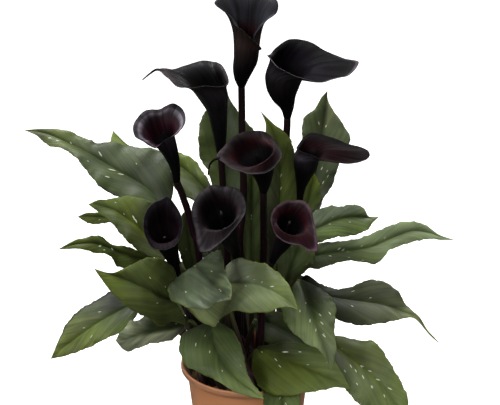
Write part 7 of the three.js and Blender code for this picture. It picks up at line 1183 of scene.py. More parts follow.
def soil_look():
    g = Look("soil_mix")
    place = g.place()
    tone = g.value("tone").outputs["Color"]
    crumb = g.cells(place, 420.0, 1.0)
    fibre = g.noise(place, 700.0, 4.0, 0.7)
    cloud = g.noise(place, 60.0, 3.0)
    shade = g.math("MULTIPLY_ADD", fibre.outputs[0], 1.3, 0.35)
    shade = g.math("MULTIPLY_ADD", cloud.outputs[0], 0.5, shade)
    shade = g.math(
        "MULTIPLY", shade, g.ranged(crumb.outputs["Distance"], 0.1, 0.8, 1.2, 0.45)
    )
    grey = g.node("ShaderNodeCombineColor")
    for s in grey.inputs:
        g.put(s, shade)
    g.set(
        Base_Color=g.blend(1.0, tone, grey.outputs[0], "MULTIPLY"),
        Roughness=g.math("MULTIPLY_ADD", fibre.outputs[0], 0.3, 0.65),
        Normal=g.bump(
            g.math("SUBTRACT", fibre.outputs[0], crumb.outputs["Distance"]),
            0.0012,
            0.8,
        ),
    )
    g.shader.inputs["Specular IOR Level"].default_value = 0.3
    return g.material


# ---------------------------------------------------------------- leaves

DEEP = (0.022, 0.034, 0.007)
GREEN = (0.046, 0.065, 0.019)
FRESH = (0.086, 0.116, 0.029)
LIME = (0.122, 0.157, 0.021)
BLUISH = (0.056, 0.074, 0.038)
GREYISH = (0.085, 0.108, 0.055)
LILAC = (0.115, 0.126, 0.104)
UNDER = (0.075, 0.096, 0.042)
PURPLE = (0.050, 0.024, 0.026)

# base colour, tip colour and how far it comes down, left and right half's colour, overall shade, wavy edge in mm, folds
# in mm, pale margin, fleck density, gloss; root is painted shade at the base, rolled a painted shade band along one
# margin, and each patch holds colour or painted light and shade
LEAF_LOOKS = {
    "leaf_01": dict(base=(0.058, 0.081, 0.027), tip=(0.098, 0.126, 0.026), reach=0.3, right=GREYISH, shade=0.66, wave=1.6, flecks=0.02, pale=0.05, rib=0.15, root=0.2, colour_and_painted_light_patches=[(1, 0.05, 0.38, (0.046, 0.058, 0.030))]),
    "leaf_02": dict(base=(0.058, 0.080, 0.014), tip=(0.105, 0.138, 0.034), reach=0.5, wave=0.8, shine=0.12, root=0.5),
    "leaf_03": dict(base=(0.042, 0.062, 0.018), tip=(0.034, 0.048, 0.015), reach=0.3, left=FRESH, shade=0.49, wave=0.8),
    "leaf_04": dict(base=FRESH, tip=(0.072, 0.090, 0.014), reach=0.3, left=(0.045, 0.053, 0.026), right=(0.070, 0.092, 0.022), shade=1.4, wave=0.0, wider=(2.2, 1.2), flecks=0.04, shine=0.12, root=0.45, colour_and_painted_light_patches=[(-1, 0.05, 0.36, (0.022, 0.026, 0.014))]),
    "leaf_05": dict(base=(0.040, 0.050, 0.024), tip=(0.060, 0.078, 0.028), reach=0.45, left=(0.032, 0.042, 0.018), shade=1.29, flecks=0.05, colour_and_painted_light_patches=[(1, 0.82, 0.56, (0.160, 0.184, 0.098))]),
    "leaf_06": dict(base=FRESH, tip=LIME, reach=0.3, shade=1.7, shine=0.1),
    # leaf_07: the pale bluish left half and the pale patch near its base are painted sheen, and the pale patch at its
    # tip is painted light on a part turned away
    "leaf_07": dict(base=GREEN, tip=(0.070, 0.094, 0.024), reach=0.2, left=(0.105, 0.132, 0.080), right=(0.056, 0.080, 0.022), shade=1.76, streaks=2.4, root=0.15, colour_and_painted_light_patches=[(-1, 0.05, 0.32, (0.145, 0.160, 0.128)), (-1, 0.95, 0.6, (0.170, 0.205, 0.100))]),
    "leaf_08": dict(base=GREEN, tip=(0.080, 0.103, 0.050), reach=0.45, left=(0.078, 0.100, 0.050), right=(0.030, 0.040, 0.012), shade=2.0, flecks=0.05, root=0.45),
    "leaf_09": dict(base=(0.018, 0.023, 0.011), tip=(0.098, 0.116, 0.048), reach=0.45, shade=1.25, rib=0.08, pale=0.2, flecks=0.03, streaks=1.8, colour_and_painted_light_patches=[(-1, 0.05, 0.3, (0.008, 0.010, 0.005)), (-1, 0.95, 0.6, (0.062, 0.075, 0.028))]),
    "leaf_10": dict(base=GREEN, tip=(0.104, 0.131, 0.060), reach=0.5, left=(0.036, 0.050, 0.015), shade=1.3, flecks=0.1, root=0.35, colour_and_painted_light_patches=[(-1, 0.08, 0.46, (0.010, 0.013, 0.006))]),
    "leaf_11": dict(base=FRESH, tip=(0.069, 0.094, 0.021), reach=0.35, left=(0.063, 0.079, 0.024), right=(0.053, 0.068, 0.026), shade=1.21, flecks=0.06, root=0.2),
    "leaf_12": dict(base=(0.088, 0.116, 0.018), tip=(0.125, 0.164, 0.050), reach=0.4, left=(0.050, 0.068, 0.020), shade=0.8, flecks=0.03, shine=0.1, colour_and_painted_light_patches=[(-1, 0.05, 0.45, (0.019, 0.026, 0.009))]),
    "leaf_13": dict(base=GREEN, tip=FRESH, reach=0.3, shade=1.6, flecks=0.1, shine=0.12),
    "leaf_14": dict(base=(0.054, 0.077, 0.024), tip=(0.122, 0.164, 0.046), reach=0.36, shade=1.13, flecks=0.02, colour_and_painted_light_patches=[(1, 0.05, 0.34, (0.026, 0.036, 0.013))]),
    "leaf_15": dict(base=BLUISH, tip=BLUISH, reach=0.3, shade=0.84, wave=1.5, folds=0.9, margin=0.35, pale=0.0, rib=0.45, colour_and_painted_light_patches=[(1, 0.95, 0.6, (0.039, 0.052, 0.029))]),
    # leaf_16: the two pale patch colours near the base are painted light, on the flap lying in leaf_15's shadow and a
    # painted highlight beside it
    "leaf_16": dict(base=GREYISH, tip=(0.072, 0.095, 0.027), reach=0.4, left=(0.077, 0.094, 0.043), right=(0.077, 0.096, 0.047), margin=0.7, shade=1.0, shine=0.12, wave=1.5, pale=0.0, rib=0.0, root=0.0, colour_and_painted_light_patches=[(1, 0.18, 0.45, (0.200, 0.240, 0.105)), (-1, 0.12, 0.42, (0.230, 0.265, 0.175))]),
    "leaf_17": dict(base=(0.041, 0.055, 0.012), tip=(0.096, 0.123, 0.020), reach=0.3, shade=0.78, flecks=0.01, shine=0.1, root=0.0, colour_and_painted_light_patches=[(-1, 0.05, 0.35, (0.100, 0.124, 0.042)), (1, 0.05, 0.35, (0.104, 0.132, 0.044))]),
    "leaf_18": dict(base=(0.085, 0.118, 0.036), tip=(0.170, 0.218, 0.040), reach=0.5, right=LILAC, shade=0.565, streaks=2.6, rib=0.1, pale=0.0, rolled=(1, 3.2, (0.024, 0.024, 0.026)), colour_and_painted_light_patches=[(-1, 0.05, 0.35, (0.050, 0.066, 0.025)), (1, 0.05, 0.35, (0.170, 0.180, 0.155))]),
    "leaf_19": dict(base=DEEP, tip=(0.180, 0.205, 0.125), reach=0.4, left=(0.250, 0.275, 0.175), right=(0.014, 0.019, 0.007), shade=1.05, streaks=2.0, root=0.6, colour_and_painted_light_patches=[(1, 0.95, 0.6, (0.080, 0.096, 0.056))]),
    "leaf_20": dict(base=(0.085, 0.108, 0.010), tip=(0.068, 0.092, 0.026), reach=0.5, left=(0.037, 0.047, 0.012), shade=0.79, flecks=0.05, shine=0.1, root=0.25, colour_and_painted_light_patches=[(1, 0.4, 0.6, (0.038, 0.051, 0.010))]),
    "leaf_21": dict(base=(0.060, 0.080, 0.014), tip=(0.060, 0.080, 0.014), reach=0.5, left=(0.036, 0.048, 0.008), right=(0.110, 0.146, 0.040), shine=0.12),
    "leaf_22": dict(base=(0.056, 0.078, 0.015), tip=(0.093, 0.121, 0.018), reach=0.35, right=(0.092, 0.126, 0.028), shade=0.72, shine=0.14),
    # leaf_23: the pale patch near the base is painted light on a part that lies in deep shade
    "leaf_23": dict(base=GREEN, tip=FRESH, reach=0.3, right=(0.034, 0.048, 0.013), colour_and_painted_light_patches=[(-1, 0.05, 0.4, (0.115, 0.145, 0.058))]),
    "leaf_24": dict(base=GREEN, tip=FRESH, reach=0.3, left=(0.090, 0.120, 0.042), wider=(2.0, 1.0)),
    "leaf_25": dict(base=GREEN, tip=(0.042, 0.054, 0.014), reach=0.3, left=(0.046, 0.060, 0.015), right=(0.018, 0.024, 0.007)),
    "leaf_26": dict(base=GREEN, tip=FRESH, reach=0.3, shade=2.0),
    "leaf_27": dict(
        base=GREEN, tip=FRESH, reach=0.3, shade=0.45, wave=0.15, wider=(-1.0, -1.0)
    ),
}
PLAIN_LEAF = dict(base=GREEN, tip=FRESH, reach=0.3)
# clear flecks: across and along the blade, half length and half width in mm, and turn
MARKS = {
    "leaf_01": [
        (-3.8, 163.7, 1.87, 0.4, 1.99),
        (-3.0, 154.1, 1.7, 0.4, 2.0),
        (1.6, 140.8, 1.53, 0.35, 1.14),
        (5.8, 103.0, 3.06, 0.65, 1.16),
        (-10.5, 106.4, 1.02, 0.3, 1.95),
        (-3.2, 80.1, 3.57, 0.55, 1.99),
        (-2.0, 69.4, 2.55, 0.45, 2.0),
        (-14.8, 76.4, 2.21, 0.45, 1.93),
        (-28.8, 78.8, 1.02, 0.3, 1.88),
        (16.8, 62.5, 1.1, 0.3, 1.22),
    ],
    "leaf_04": [
        (0.7, 104.2, 1.87, 0.6, 1.13),
        (0.7, 88.8, 1.87, 0.55, 1.13),
        (-5.1, 122.9, 1.19, 0.35, 1.98),
        (5.8, 68.5, 1.19, 0.35, 1.16),
    ],
    "leaf_05": [
        (-5.9, 145.9, 1.7, 0.5, 1.98),
        (3.3, 142.9, 1.53, 0.5, 1.15),
        (5.9, 90.9, 1.87, 0.5, 1.16),
        (13.2, 87.2, 1.53, 0.45, 1.2),
        (15.1, 80.9, 1.53, 0.4, 1.21),
        (10.2, 73.4, 1.7, 0.5, 1.19),
        (-7.5, 126.2, 1.19, 0.4, 1.97),
        (15.2, 108.2, 1.27, 0.35, 1.21),
        (-2.1, 63.7, 1.19, 0.35, 2.0),
    ],
    "leaf_10": [
        (5.3, 62.1, 2.04, 0.55, 1.16),
        (-3.7, 81.5, 2.21, 0.55, 1.99),
        (-7.7, 58.5, 1.7, 0.5, 1.97),
        (-6.4, 67.9, 2.04, 0.5, 1.98),
        (-18.4, 59.9, 1.7, 0.5, 1.92),
        (2.7, 73.3, 1.7, 0.45, 1.14),
        (12.3, 49.6, 1.53, 0.45, 1.2),
        (1.9, 38.2, 1.27, 0.4, 1.14),
    ],
    "leaf_11": [
        (7.9, 50.6, 2.04, 0.5, 1.17),
        (8.5, 58.6, 1.87, 0.5, 1.18),
        (-1.2, 60.4, 1.87, 0.5, 2.01),
        (8.5, 70.1, 2.04, 0.55, 1.18),
        (-2.8, 70.9, 1.87, 0.5, 2.0),
        (-2.0, 84.1, 2.21, 0.55, 2.0),
        (-4.5, 100.3, 2.21, 0.5, 1.99),
        (17.4, 48.8, 1.53, 0.4, 1.22),
        (10.2, 84.9, 1.7, 0.45, 1.19),
        (6.1, 101.9, 1.7, 0.45, 1.16),
        (19.9, 70.1, 1.53, 0.4, 1.23),
    ],
    "leaf_16": [
        (4.4, 35.6, 2.72, 0.55, 1.15),
        (-6.6, 34.9, 1.87, 0.4, 1.97),
        (-4.2, 68.7, 2.38, 0.45, 1.99),
        (-4.3, 54.1, 1.19, 0.3, 1.99),
    ],
    "leaf_20": [
        (5.2, 56.9, 2.72, 0.65, 1.16),
        (4.2, 52.8, 2.04, 0.5, 1.15),
        (2.2, 69.1, 1.02, 0.3, 1.14),
        (2.1, 36.4, 1.19, 0.3, 1.14),
    ],
    "leaf_08": [
        (-2.8, 44.4, 1.87, 0.5, 2.0),
        (-1.2, 48.8, 1.7, 0.45, 2.01),
        (4.7, 32.3, 1.53, 0.4, 1.16),
        (-3.3, 71.7, 1.53, 0.4, 1.99),
        (-3.4, 101.1, 1.36, 0.35, 1.99),
    ],
    "leaf_12": [
        (1.5, 9.7, 2.04, 0.6, 1.14),
        (-7.0, 37.2, 2.89, 0.6, 1.97),
        (5.3, 31.6, 2.21, 0.45, 1.16),
        (10.7, 39.9, 1.87, 0.4, 1.19),
        (-13.6, 51.5, 1.36, 0.4, 1.94),
    ],
    "leaf_13": [
        (2.4, 58.7, 1.87, 0.5, 1.14),
        (-2.8, 66.7, 1.7, 0.5, 2.0),
        (7.7, 50.2, 1.53, 0.45, 1.17),
        (-9.9, 55.8, 1.36, 0.4, 1.96),
    ],
    "leaf_22": [
        (-1.3, 65.9, 1.7, 0.5, 2.01),
        (-5.1, 61.7, 1.36, 0.4, 1.98),
        (0.4, 50.7, 1.36, 0.4, 1.13),
    ],
    "leaf_17": [
        (10.4, 28.4, 1.53, 0.4, 1.19),
        (12.4, 48.1, 1.19, 0.35, 1.2),
        (-12.0, 36.9, 1.19, 0.35, 1.95),
    ],
    "leaf_07": [
        (2.5, 36.8, 1.36, 0.4, 1.14),
        (7.0, 62.8, 1.19, 0.35, 1.17),
    ],
    "leaf_09": [
        (3.8, 38.8, 1.53, 0.4, 1.15),
        (6.9, 65.4, 1.53, 0.4, 1.17),
        (-5.5, 86.2, 1.27, 0.35, 1.98),
    ],
    "leaf_14": [
        (20.4, 37.2, 1.87, 0.5, 1.23),
        (7.7, 46.0, 1.53, 0.45, 1.17),
        (6.3, 72.1, 1.36, 0.4, 1.17),
        (8.3, 25.5, 1.36, 0.35, 1.18),
    ],
    "leaf_15": [
        (-8.8, 44.2, 1.36, 0.35, 1.96),
        (28.8, 51.8, 1.53, 0.4, 1.26),
    ],
    "leaf_18": [
        (9.2, 43.4, 1.53, 0.4, 1.18),
        (4.0, 67.5, 1.36, 0.4, 1.15),
    ],
}


def leaf_sheet(leaf, rows, cols, seed, wave, folds=0.0, wider=(0.0, 0.0)):
    """The blade's middle surface as a grid, with its normals and the coordinates that the pattern uses."""
    u = np.linspace(0, 1, rows)
    a, m, b = (through(leaf[k], u) for k in "amb")
    t = unit(np.gradient(m, axis=0))
    span = a - b
    up = unit(np.cross(t, span))
    wide = np.linalg.norm(span, axis=1)
    good = wide > 1.5
    first = int(np.argmax(good))
    for i in range(rows):
        if not good[i]:
            up[i] = up[i - 1] if i > first else up[first]
    for _ in range(4):
        up[1:-1] = unit(up[:-2] + 2 * up[1:-1] + up[2:])
    x = np.linspace(-1, 1, cols)
    s = np.sign(x) * np.abs(x) ** 1.35
    edge = np.where((s < 0)[None, :, None], a[:, None], b[:, None])
    w = np.abs(s)[None, :]
    reach = np.linalg.norm(edge - m[:, None], axis=2)
    along = length_along(m)
    across = s[None, :] * reach
    d = np.abs(across)
    vein = (along[:, None] - 2.1 * d - 0.018 * d**2) / 9.0
    vein = vein + np.where(s < 0, 0.37, 0.0)[None, :]
    r = np.random.RandomState(seed)
    env = np.sin(math.pi * np.clip(u, 0, 1))[:, None] ** 0.6
    ripple = 0
    for side in (-1, 1):
        l1, l2 = r.uniform(30, 44), r.uniform(15, 22)
        f1, f2 = r.uniform(0, 6.28, 2)
        bend = np.sin(2 * math.pi * along / l1 + f1) + 0.35 * np.sin(
            2 * math.pi * along / l2 + f2
        )
        ripple = ripple + np.where((s * side > 0)[None, :], bend[:, None], 0)
    ripple = ripple * wave * w**2.2 * env * np.clip(reach / 18, 0, 1)
    quilt = 0.1 * np.cos(2 * math.pi * vein) * step(d, 2, 6) * step(reach - d, 0.5, 4)
    crimp = 0.0
    for side in (-1, 1):
        l1, f1, f2 = r.uniform(9, 14), *r.uniform(0, 6.28, 2)
        bend = np.sin(2 * math.pi * along / l1 + f1 + np.sin(along / 17 + f2))
        crimp = crimp + np.where((s * side > 0)[None, :], bend[:, None], 0)
    pleat = folds * np.sin(
        2 * math.pi * (across / 11 + along[:, None] / 55) + seed
    ) * step(d, 1, 7) * np.sin(math.pi * np.clip(u, 0, 1))[:, None] ** 0.5
    lift = 4 * w * (1 - w) * 0.1 * reach + ripple + quilt + pleat
    lift = lift + 0.35 * crimp * w**4 * env * np.clip(reach / 14, 0, 1)
    ragged = 0.0
    for side in (-1, 1):
        for l1, size in ((5.3, 0.22), (8.9, 0.3), (15.7, 0.45)):
            bend = size * np.sin(2 * math.pi * along / l1 + r.uniform(0, 6.28))
            ragged = ragged + np.where((s * side > 0)[None, :], bend[:, None], 0)
    outward = unit(edge - m[:, None])
    ragged = ragged + np.where(s < 0, *wider)[None, :]
    spare = ragged * w**3 * env * np.clip(reach / 12, 0, 1)
    at = (
        m[:, None] * (1 - w[..., None])
        + edge * w[..., None]
        + up[:, None] * lift[..., None]
        + outward * spare[..., None]
    )
    return dict(
        at=at,
        up=up,
        u=u,
        s=s,
        d=d,
        reach=reach,
        across=across,
        along=along,
        vein=vein,
        m=m,
        t=t,
    )


def leaf_parts(name, leaf, look, rows=92, cols=39):
    seed = int(name[-2:])
    g = leaf_sheet(
        leaf,
        rows,
        cols,
        seed,
        look.get("wave", 1.0),
        look.get("folds", 0.0),
        look.get("wider", (0.0, 0.0)),
    )
    at, up = g["at"], g["up"][:, None]
    d, reach, u, s = g["d"], g["reach"], g["u"], g["s"]
    w = np.abs(s)[None, :]
    fade = step(1 - u, 0, 0.3)[:, None]
    half = 0.36 * (1 - 0.5 * w**3) * (0.55 + 0.45 * fade)
    groove = -0.3 * np.exp(-((d / 1.9) ** 2)) * fade
    keel = 0.9 * np.exp(-((d / 1.7) ** 2)) * (0.25 + 0.75 * fade)
    top = at + up * (half + groove)[..., None]
    low = at - up * (half + keel)[..., None]
    n, c = d.shape
    body = n - 1  # the last row is one point
    points = np.concatenate(
        [
            top[:body].reshape(-1, 3),
            low[:body].reshape(-1, 3),
            top[-1:, c // 2],
            low[-1:, c // 2],
        ]
    )
    under = body * c
    tip_top, tip_low = 2 * under, 2 * under + 1
    row = np.arange(c)
    end = (body - 1) * c
    faces = [
        quads(body, c),
        quads(body, c, flip=True) + under,
        np.stack(
            [
                end + row[:-1],
                end + row[1:],
                np.full(c - 1, tip_top),
            ],
            -1,
        ),
        np.stack(
            [
                under + end + row[1:],
                under + end + row[:-1],
                np.full(c - 1, tip_low),
            ],
            -1,
        ),
        # edges
        np.stack(
            [
                np.arange(body - 1) * c,
                np.arange(1, body) * c,
                np.arange(1, body) * c + under,
                np.arange(body - 1) * c + under,
            ],
            -1,
        ),
        np.stack(
            [
                np.arange(body - 1) * c + c - 1 + under,
                np.arange(1, body) * c + c - 1 + under,
                np.arange(1, body) * c + c - 1,
                np.arange(body - 1) * c + c - 1,
            ],
            -1,
        ),
        np.stack([row[1:], row[:-1], row[:-1] + under, row[1:] + under], -1),
        np.array(
            [
                [end, tip_top, tip_low, end + under],
                [end + c - 1 + under, tip_low, tip_top, end + c - 1],
            ]
        ),
    ]
    # colours
    base, tip = np.array(look["base"]), np.array(look["tip"])
    uu = np.broadcast_to(u[:, None], d.shape)
    col = np.broadcast_to(base, d.shape + (3,))
    for side, key in ((-1, "left"), (1, "right")):
        if key in look:
            on = (s * side > 0)[None, :] * step(d, 1.0, 6.0)
            col = mix(col, np.array(look[key]), on * 0.9)
    col = mix(
        col, tip, step(uu, 1 - look["reach"] * 1.6, 1 - look["reach"] * 0.35) * 0.85
    )
    # each patch is colour or painted light: the dark ones near the base are painted shade near the stalk, the pale ones
    # on leaf_07, leaf_16 and leaf_23 are painted light and sheen
    for side, first, last, colour in look.get("colour_and_painted_light_patches", []):
        on = (s * side > 0)[None, :] * step(d, 0.5, 5.0) * step(uu, last, first)
        col = mix(col, np.array(colour), on)
    cloud = waves(
        at[..., 0] / 60, at[..., 1] / 60, at[..., 2] / 60, 40 + seed, octaves=2
    )
    col = col * look.get("shade", 1.0) * (1 + 0.25 * cloud)[..., None]
    rib = look.get("rib", 0.35)
    col = col * (1 - rib * np.exp(-((d / 3.5) ** 2)) * fade)[..., None]
    pale = look.get("pale", 0.06)
    col = mix(col, np.array(FRESH), pale * np.exp(-((d / 0.7) ** 2)) * fade)
    col = mix(col, np.array(LIME), look.get("margin", 0.22) * step(reach - d, 1.5, 0.3))
    # painted shade near the stalk: the blade is darker at its base, more so by root over the lower part
    col = mix(col, col * 0.75, step(uu, 0.14, 0.0))
    col = mix(col, col * (1 - look.get("root", 0.1)), step(uu, 0.45, 0.08))
    # painted shade: a dark band along one margin stands for the shade of an edge rolled over
    if "rolled" in look:
        side, width, dark = look["rolled"]
        on = (s * side > 0)[None, :] * step(reach - d, width, width * 0.4)
        col = mix(col, np.array(dark), 0.85 * on * step(uu, 0.1, 0.2) * step(uu, 0.95, 0.8))
    low_col = mix(col, np.array(UNDER), np.full(d.shape, 0.65))
    low_col = mix(low_col, np.array(FRESH) * 1.2, 0.6 * np.exp(-((d / 1.6) ** 2)))
    tone = np.concatenate(
        [
            col[:body].reshape(-1, 3),
            low_col[:body].reshape(-1, 3),
            col[-1:, c // 2],
            low_col[-1:, c // 2],
        ]
    )
    sheet = np.stack(
        [g["across"], np.broadcast_to(g["along"][:, None], d.shape), g["vein"]], -1
    )
    sheet = np.concatenate(
        [
            sheet[:body].reshape(-1, 3),
            sheet[:body].reshape(-1, 3),
            sheet[-1:, c // 2],
            sheet[-1:, c // 2],
        ]
    )
    blade = part(points, faces, 0, tone=tone, sheet=sheet)
    # stalk: up from the soil, then on under the midrib, getting thinner
    p = [np.array(q) for q in leaf["p"]]
    way = unit(p[0] - bezier(p, [1 / 6])[0])
    rise = bezier(p, np.linspace(0, 1, 34))[:-1]
    root = [p[0] + way * (k / -way[2]) for k in (6.0, 3.0)]
    v = np.linspace(0, 0.62, 26)
    m = through(leaf["m"], v)
    k = np.clip((v * (rows - 1)).astype(int), 0, rows - 1)
    r_run = 2.5 + (0.6 - 2.5) * (v / v[-1]) ** 0.6
    run = m - g["up"][k] * (r_run * 0.96 + 0.15 * (v / v[-1]))[:, None]
    path = np.concatenate([root, rise, run])
    r_rise = 3.7 + (2.5 - 3.7) * np.linspace(0, 1, 34)[:-1]
    r_rise = r_rise + 0.35 * np.exp(-np.linspace(0, 9, 33))
    radii = np.concatenate([[4.0, 4.05], r_rise, r_run])
    # soften the change of direction where the stalk meets the blade
    for _ in range(2):
        j = slice(33, 39)
        path[j] = (path[32:38] + 2 * path[33:39] + path[34:40]) / 4
    pts, fcs = tube(path, radii, 14)
    n_path = len(path)
    ring = np.arange(14) / 14
    round_ = np.concatenate([np.tile(ring * 16, n_path), [0, 0]])
    far = length_along(path)
    along = np.concatenate([np.repeat(far, 14), [far[0], far[-1]]])
    up_stalk = np.concatenate(
        [np.repeat(np.linspace(0, 1, n_path), 14), [0, 1]]
    )
    low_tone = np.array(look.get("stalk", PURPLE))
    high_tone = np.array(FRESH) * 0.85
    tone = mix(low_tone, high_tone, step(up_stalk, 0.25, 0.62))
    tone = mix(tone, (0.022, 0.018, 0.012), 0.7 * step(up_stalk, 0.16, 0.02))
    stalk = part(
        pts,
        fcs,
        1,
        tone=tone,
        skin=np.stack([round_, along, np.zeros_like(along)], -1),
    )
    return [blade, stalk]


stalk_material = stalk_look("leaf_stalk")
for name, leaf in LEAVES.items():
    look = {**PLAIN_LEAF, **LEAF_LOOKS.get(name, {})}
    material = leaf_look(
        name + "_skin",
        MARKS.get(name, []),
        look.get("flecks", 0.03),
        look.get("gloss", 0.3),
        look.get("shine", 0.2),
        look.get("streaks", 1.3),
    )
    piece(
        name + "_blade",
        leaf_parts(name, leaf, look),
        [material, stalk_material],
        [name],
    )

# ---------------------------------------------------------------- flowers

BLACK = (0.0030, 0.0022, 0.0026)
INK = (0.0056, 0.0046, 0.0058)
MAROON = (0.0150, 0.0026, 0.0038)
BROWN = (0.0085, 0.0050, 0.0050)
MAUVE = (0.0280, 0.0197, 0.0220)
SLATE = (0.0130, 0.0115, 0.0140)
LAVENDER = (0.0900, 0.0760, 0.0900)
ROSE = (0.1100, 0.0280, 0.0540)
DIM = (0.0035, 0.0024, 0.0024)
SPOT = (0.0700, 0.0600, 0.0500)

# throat, lip and limb colours, where the lip starts, the rim's colour in front and at the back (a pale colour in front
# is a painted highlight line), and colours on one side of the lip (across, up)
FLOWER_LOOKS = {
    "flower_1": dict(sheet="folded", throat=(0.0360, 0.0044, 0.0040), lip=(0.0180, 0.0188, 0.0235), limb=(0.0180, 0.0188, 0.0235), band=0.72, skin=(0.0200, 0.0115, 0.0105), back=SLATE, sides=[((0.0060, 0.0060, 0.0074), -0.97, 0.1, 0.6)]),
    "flower_2": dict(throat=BLACK, lip=MAUVE, limb=(0.0066, 0.0055, 0.0068), band=0.9, edge=MAUVE, back=(0.0050, 0.0042, 0.0050), skin=(0.0185, 0.0146, 0.0180)),
    "flower_3": dict(sheet="satin", throat=(0.0026, 0.0014, 0.0034), lip=(0.0060, 0.0052, 0.0060), limb=(0.0024, 0.0021, 0.0026), band=0.9, edge=LAVENDER, back=BLACK, skin=(0.0160, 0.0142, 0.0160)),
    # flower_4: the pale lip ring and the two pale lavender side colours are painted highlights on its rolled rim
    "flower_4": dict(sheet="folded", throat=(0.0190, 0.0022, 0.0060), lip=(0.062, 0.050, 0.062), limb=(0.0110, 0.0060, 0.0074), band=0.8, edge=INK, rim=0.9, skin=(0.0390, 0.0300, 0.0410), sides=[((0.240, 0.215, 0.255), 0.98, 0.2, 0.5), ((0.170, 0.148, 0.176), -0.8, -0.6, 0.5), (ROSE, -0.25, -0.97, 0.6)]),
    "flower_5": dict(sheet="soft", throat=(0.0165, 0.0032, 0.0044), lip=(0.0260, 0.0190, 0.0215), limb=(0.0088, 0.0058, 0.0062), band=0.86, lap=0.3, edge=(0.0420, 0.0310, 0.0340), back=BROWN, skin=(0.0210, 0.0185, 0.0245)),
    "flower_6": dict(sheet="soft", throat=MAROON, lip=(0.0160, 0.0122, 0.0134), limb=(0.0135, 0.0092, 0.0098), band=0.88, edge=(0.0150, 0.0115, 0.0135), back=(0.0080, 0.0064, 0.0064), skin=(0.0230, 0.0185, 0.0235)),
    "flower_7": dict(sheet="matte", deep=(0.0100, 0.0054, 0.0078), throat=(0.0120, 0.0068, 0.0096), lip=(0.0034, 0.0028, 0.0034), limb=(0.0080, 0.0060, 0.0074), lap=0.3, band=0.88, edge=(0.0400, 0.0380, 0.0420), rim=0.985, spadix=SPOT),
    "flower_8": dict(sheet="folded", throat=(0.0060, 0.0022, 0.0032), lip=(0.0190, 0.0156, 0.0178), limb=(0.0085, 0.0066, 0.0080), band=0.84, edge=INK, rim=0.96, spadix=SPOT, sides=[((0.0340, 0.0290, 0.0330), -0.8, -0.6, 0.5)]),
    "flower_9": dict(sheet="soft", throat=(0.0150, 0.0015, 0.0033), lip=(0.0500, 0.0260, 0.0340), limb=(0.0085, 0.0028, 0.0044), band=0.89, edge=(0.0460, 0.0270, 0.0350), rim=0.975, skin=(0.0125, 0.0080, 0.0110), spadix=SPOT, sides=[((0.0900, 0.0330, 0.0560), 0.62, -0.78, 0.8)]),
}


def spathe_rows(flower, cols, ring_rows=26, flare_rows=34):
    """The funnel's outer surface: rows from the joint to the free rim, each a closed ring of points."""
    net = np.array(flower["net"], float)  # columns, 8 points
    v = np.arange(cols) / cols
    net = through(net, v, closed=True).transpose(1, 0, 2)  # 8 points, columns
    rings, p1, p2, rim = net[:5], net[5], net[6], net[7]
    # the ring curve leaves the last ring along the flare
    ahead = rings[4] + (p1 - rings[4]) * 1.0
    u = np.linspace(0, 1, ring_rows)
    full = np.concatenate([rings, ahead[None]])
    low = through(full, u * 4 / 5)
    u = np.linspace(0, 1, flare_rows)[1:]
    high = bezier([rings[4], p1, p2, rim], u)
    return np.concatenate([low, high]), ring_rows


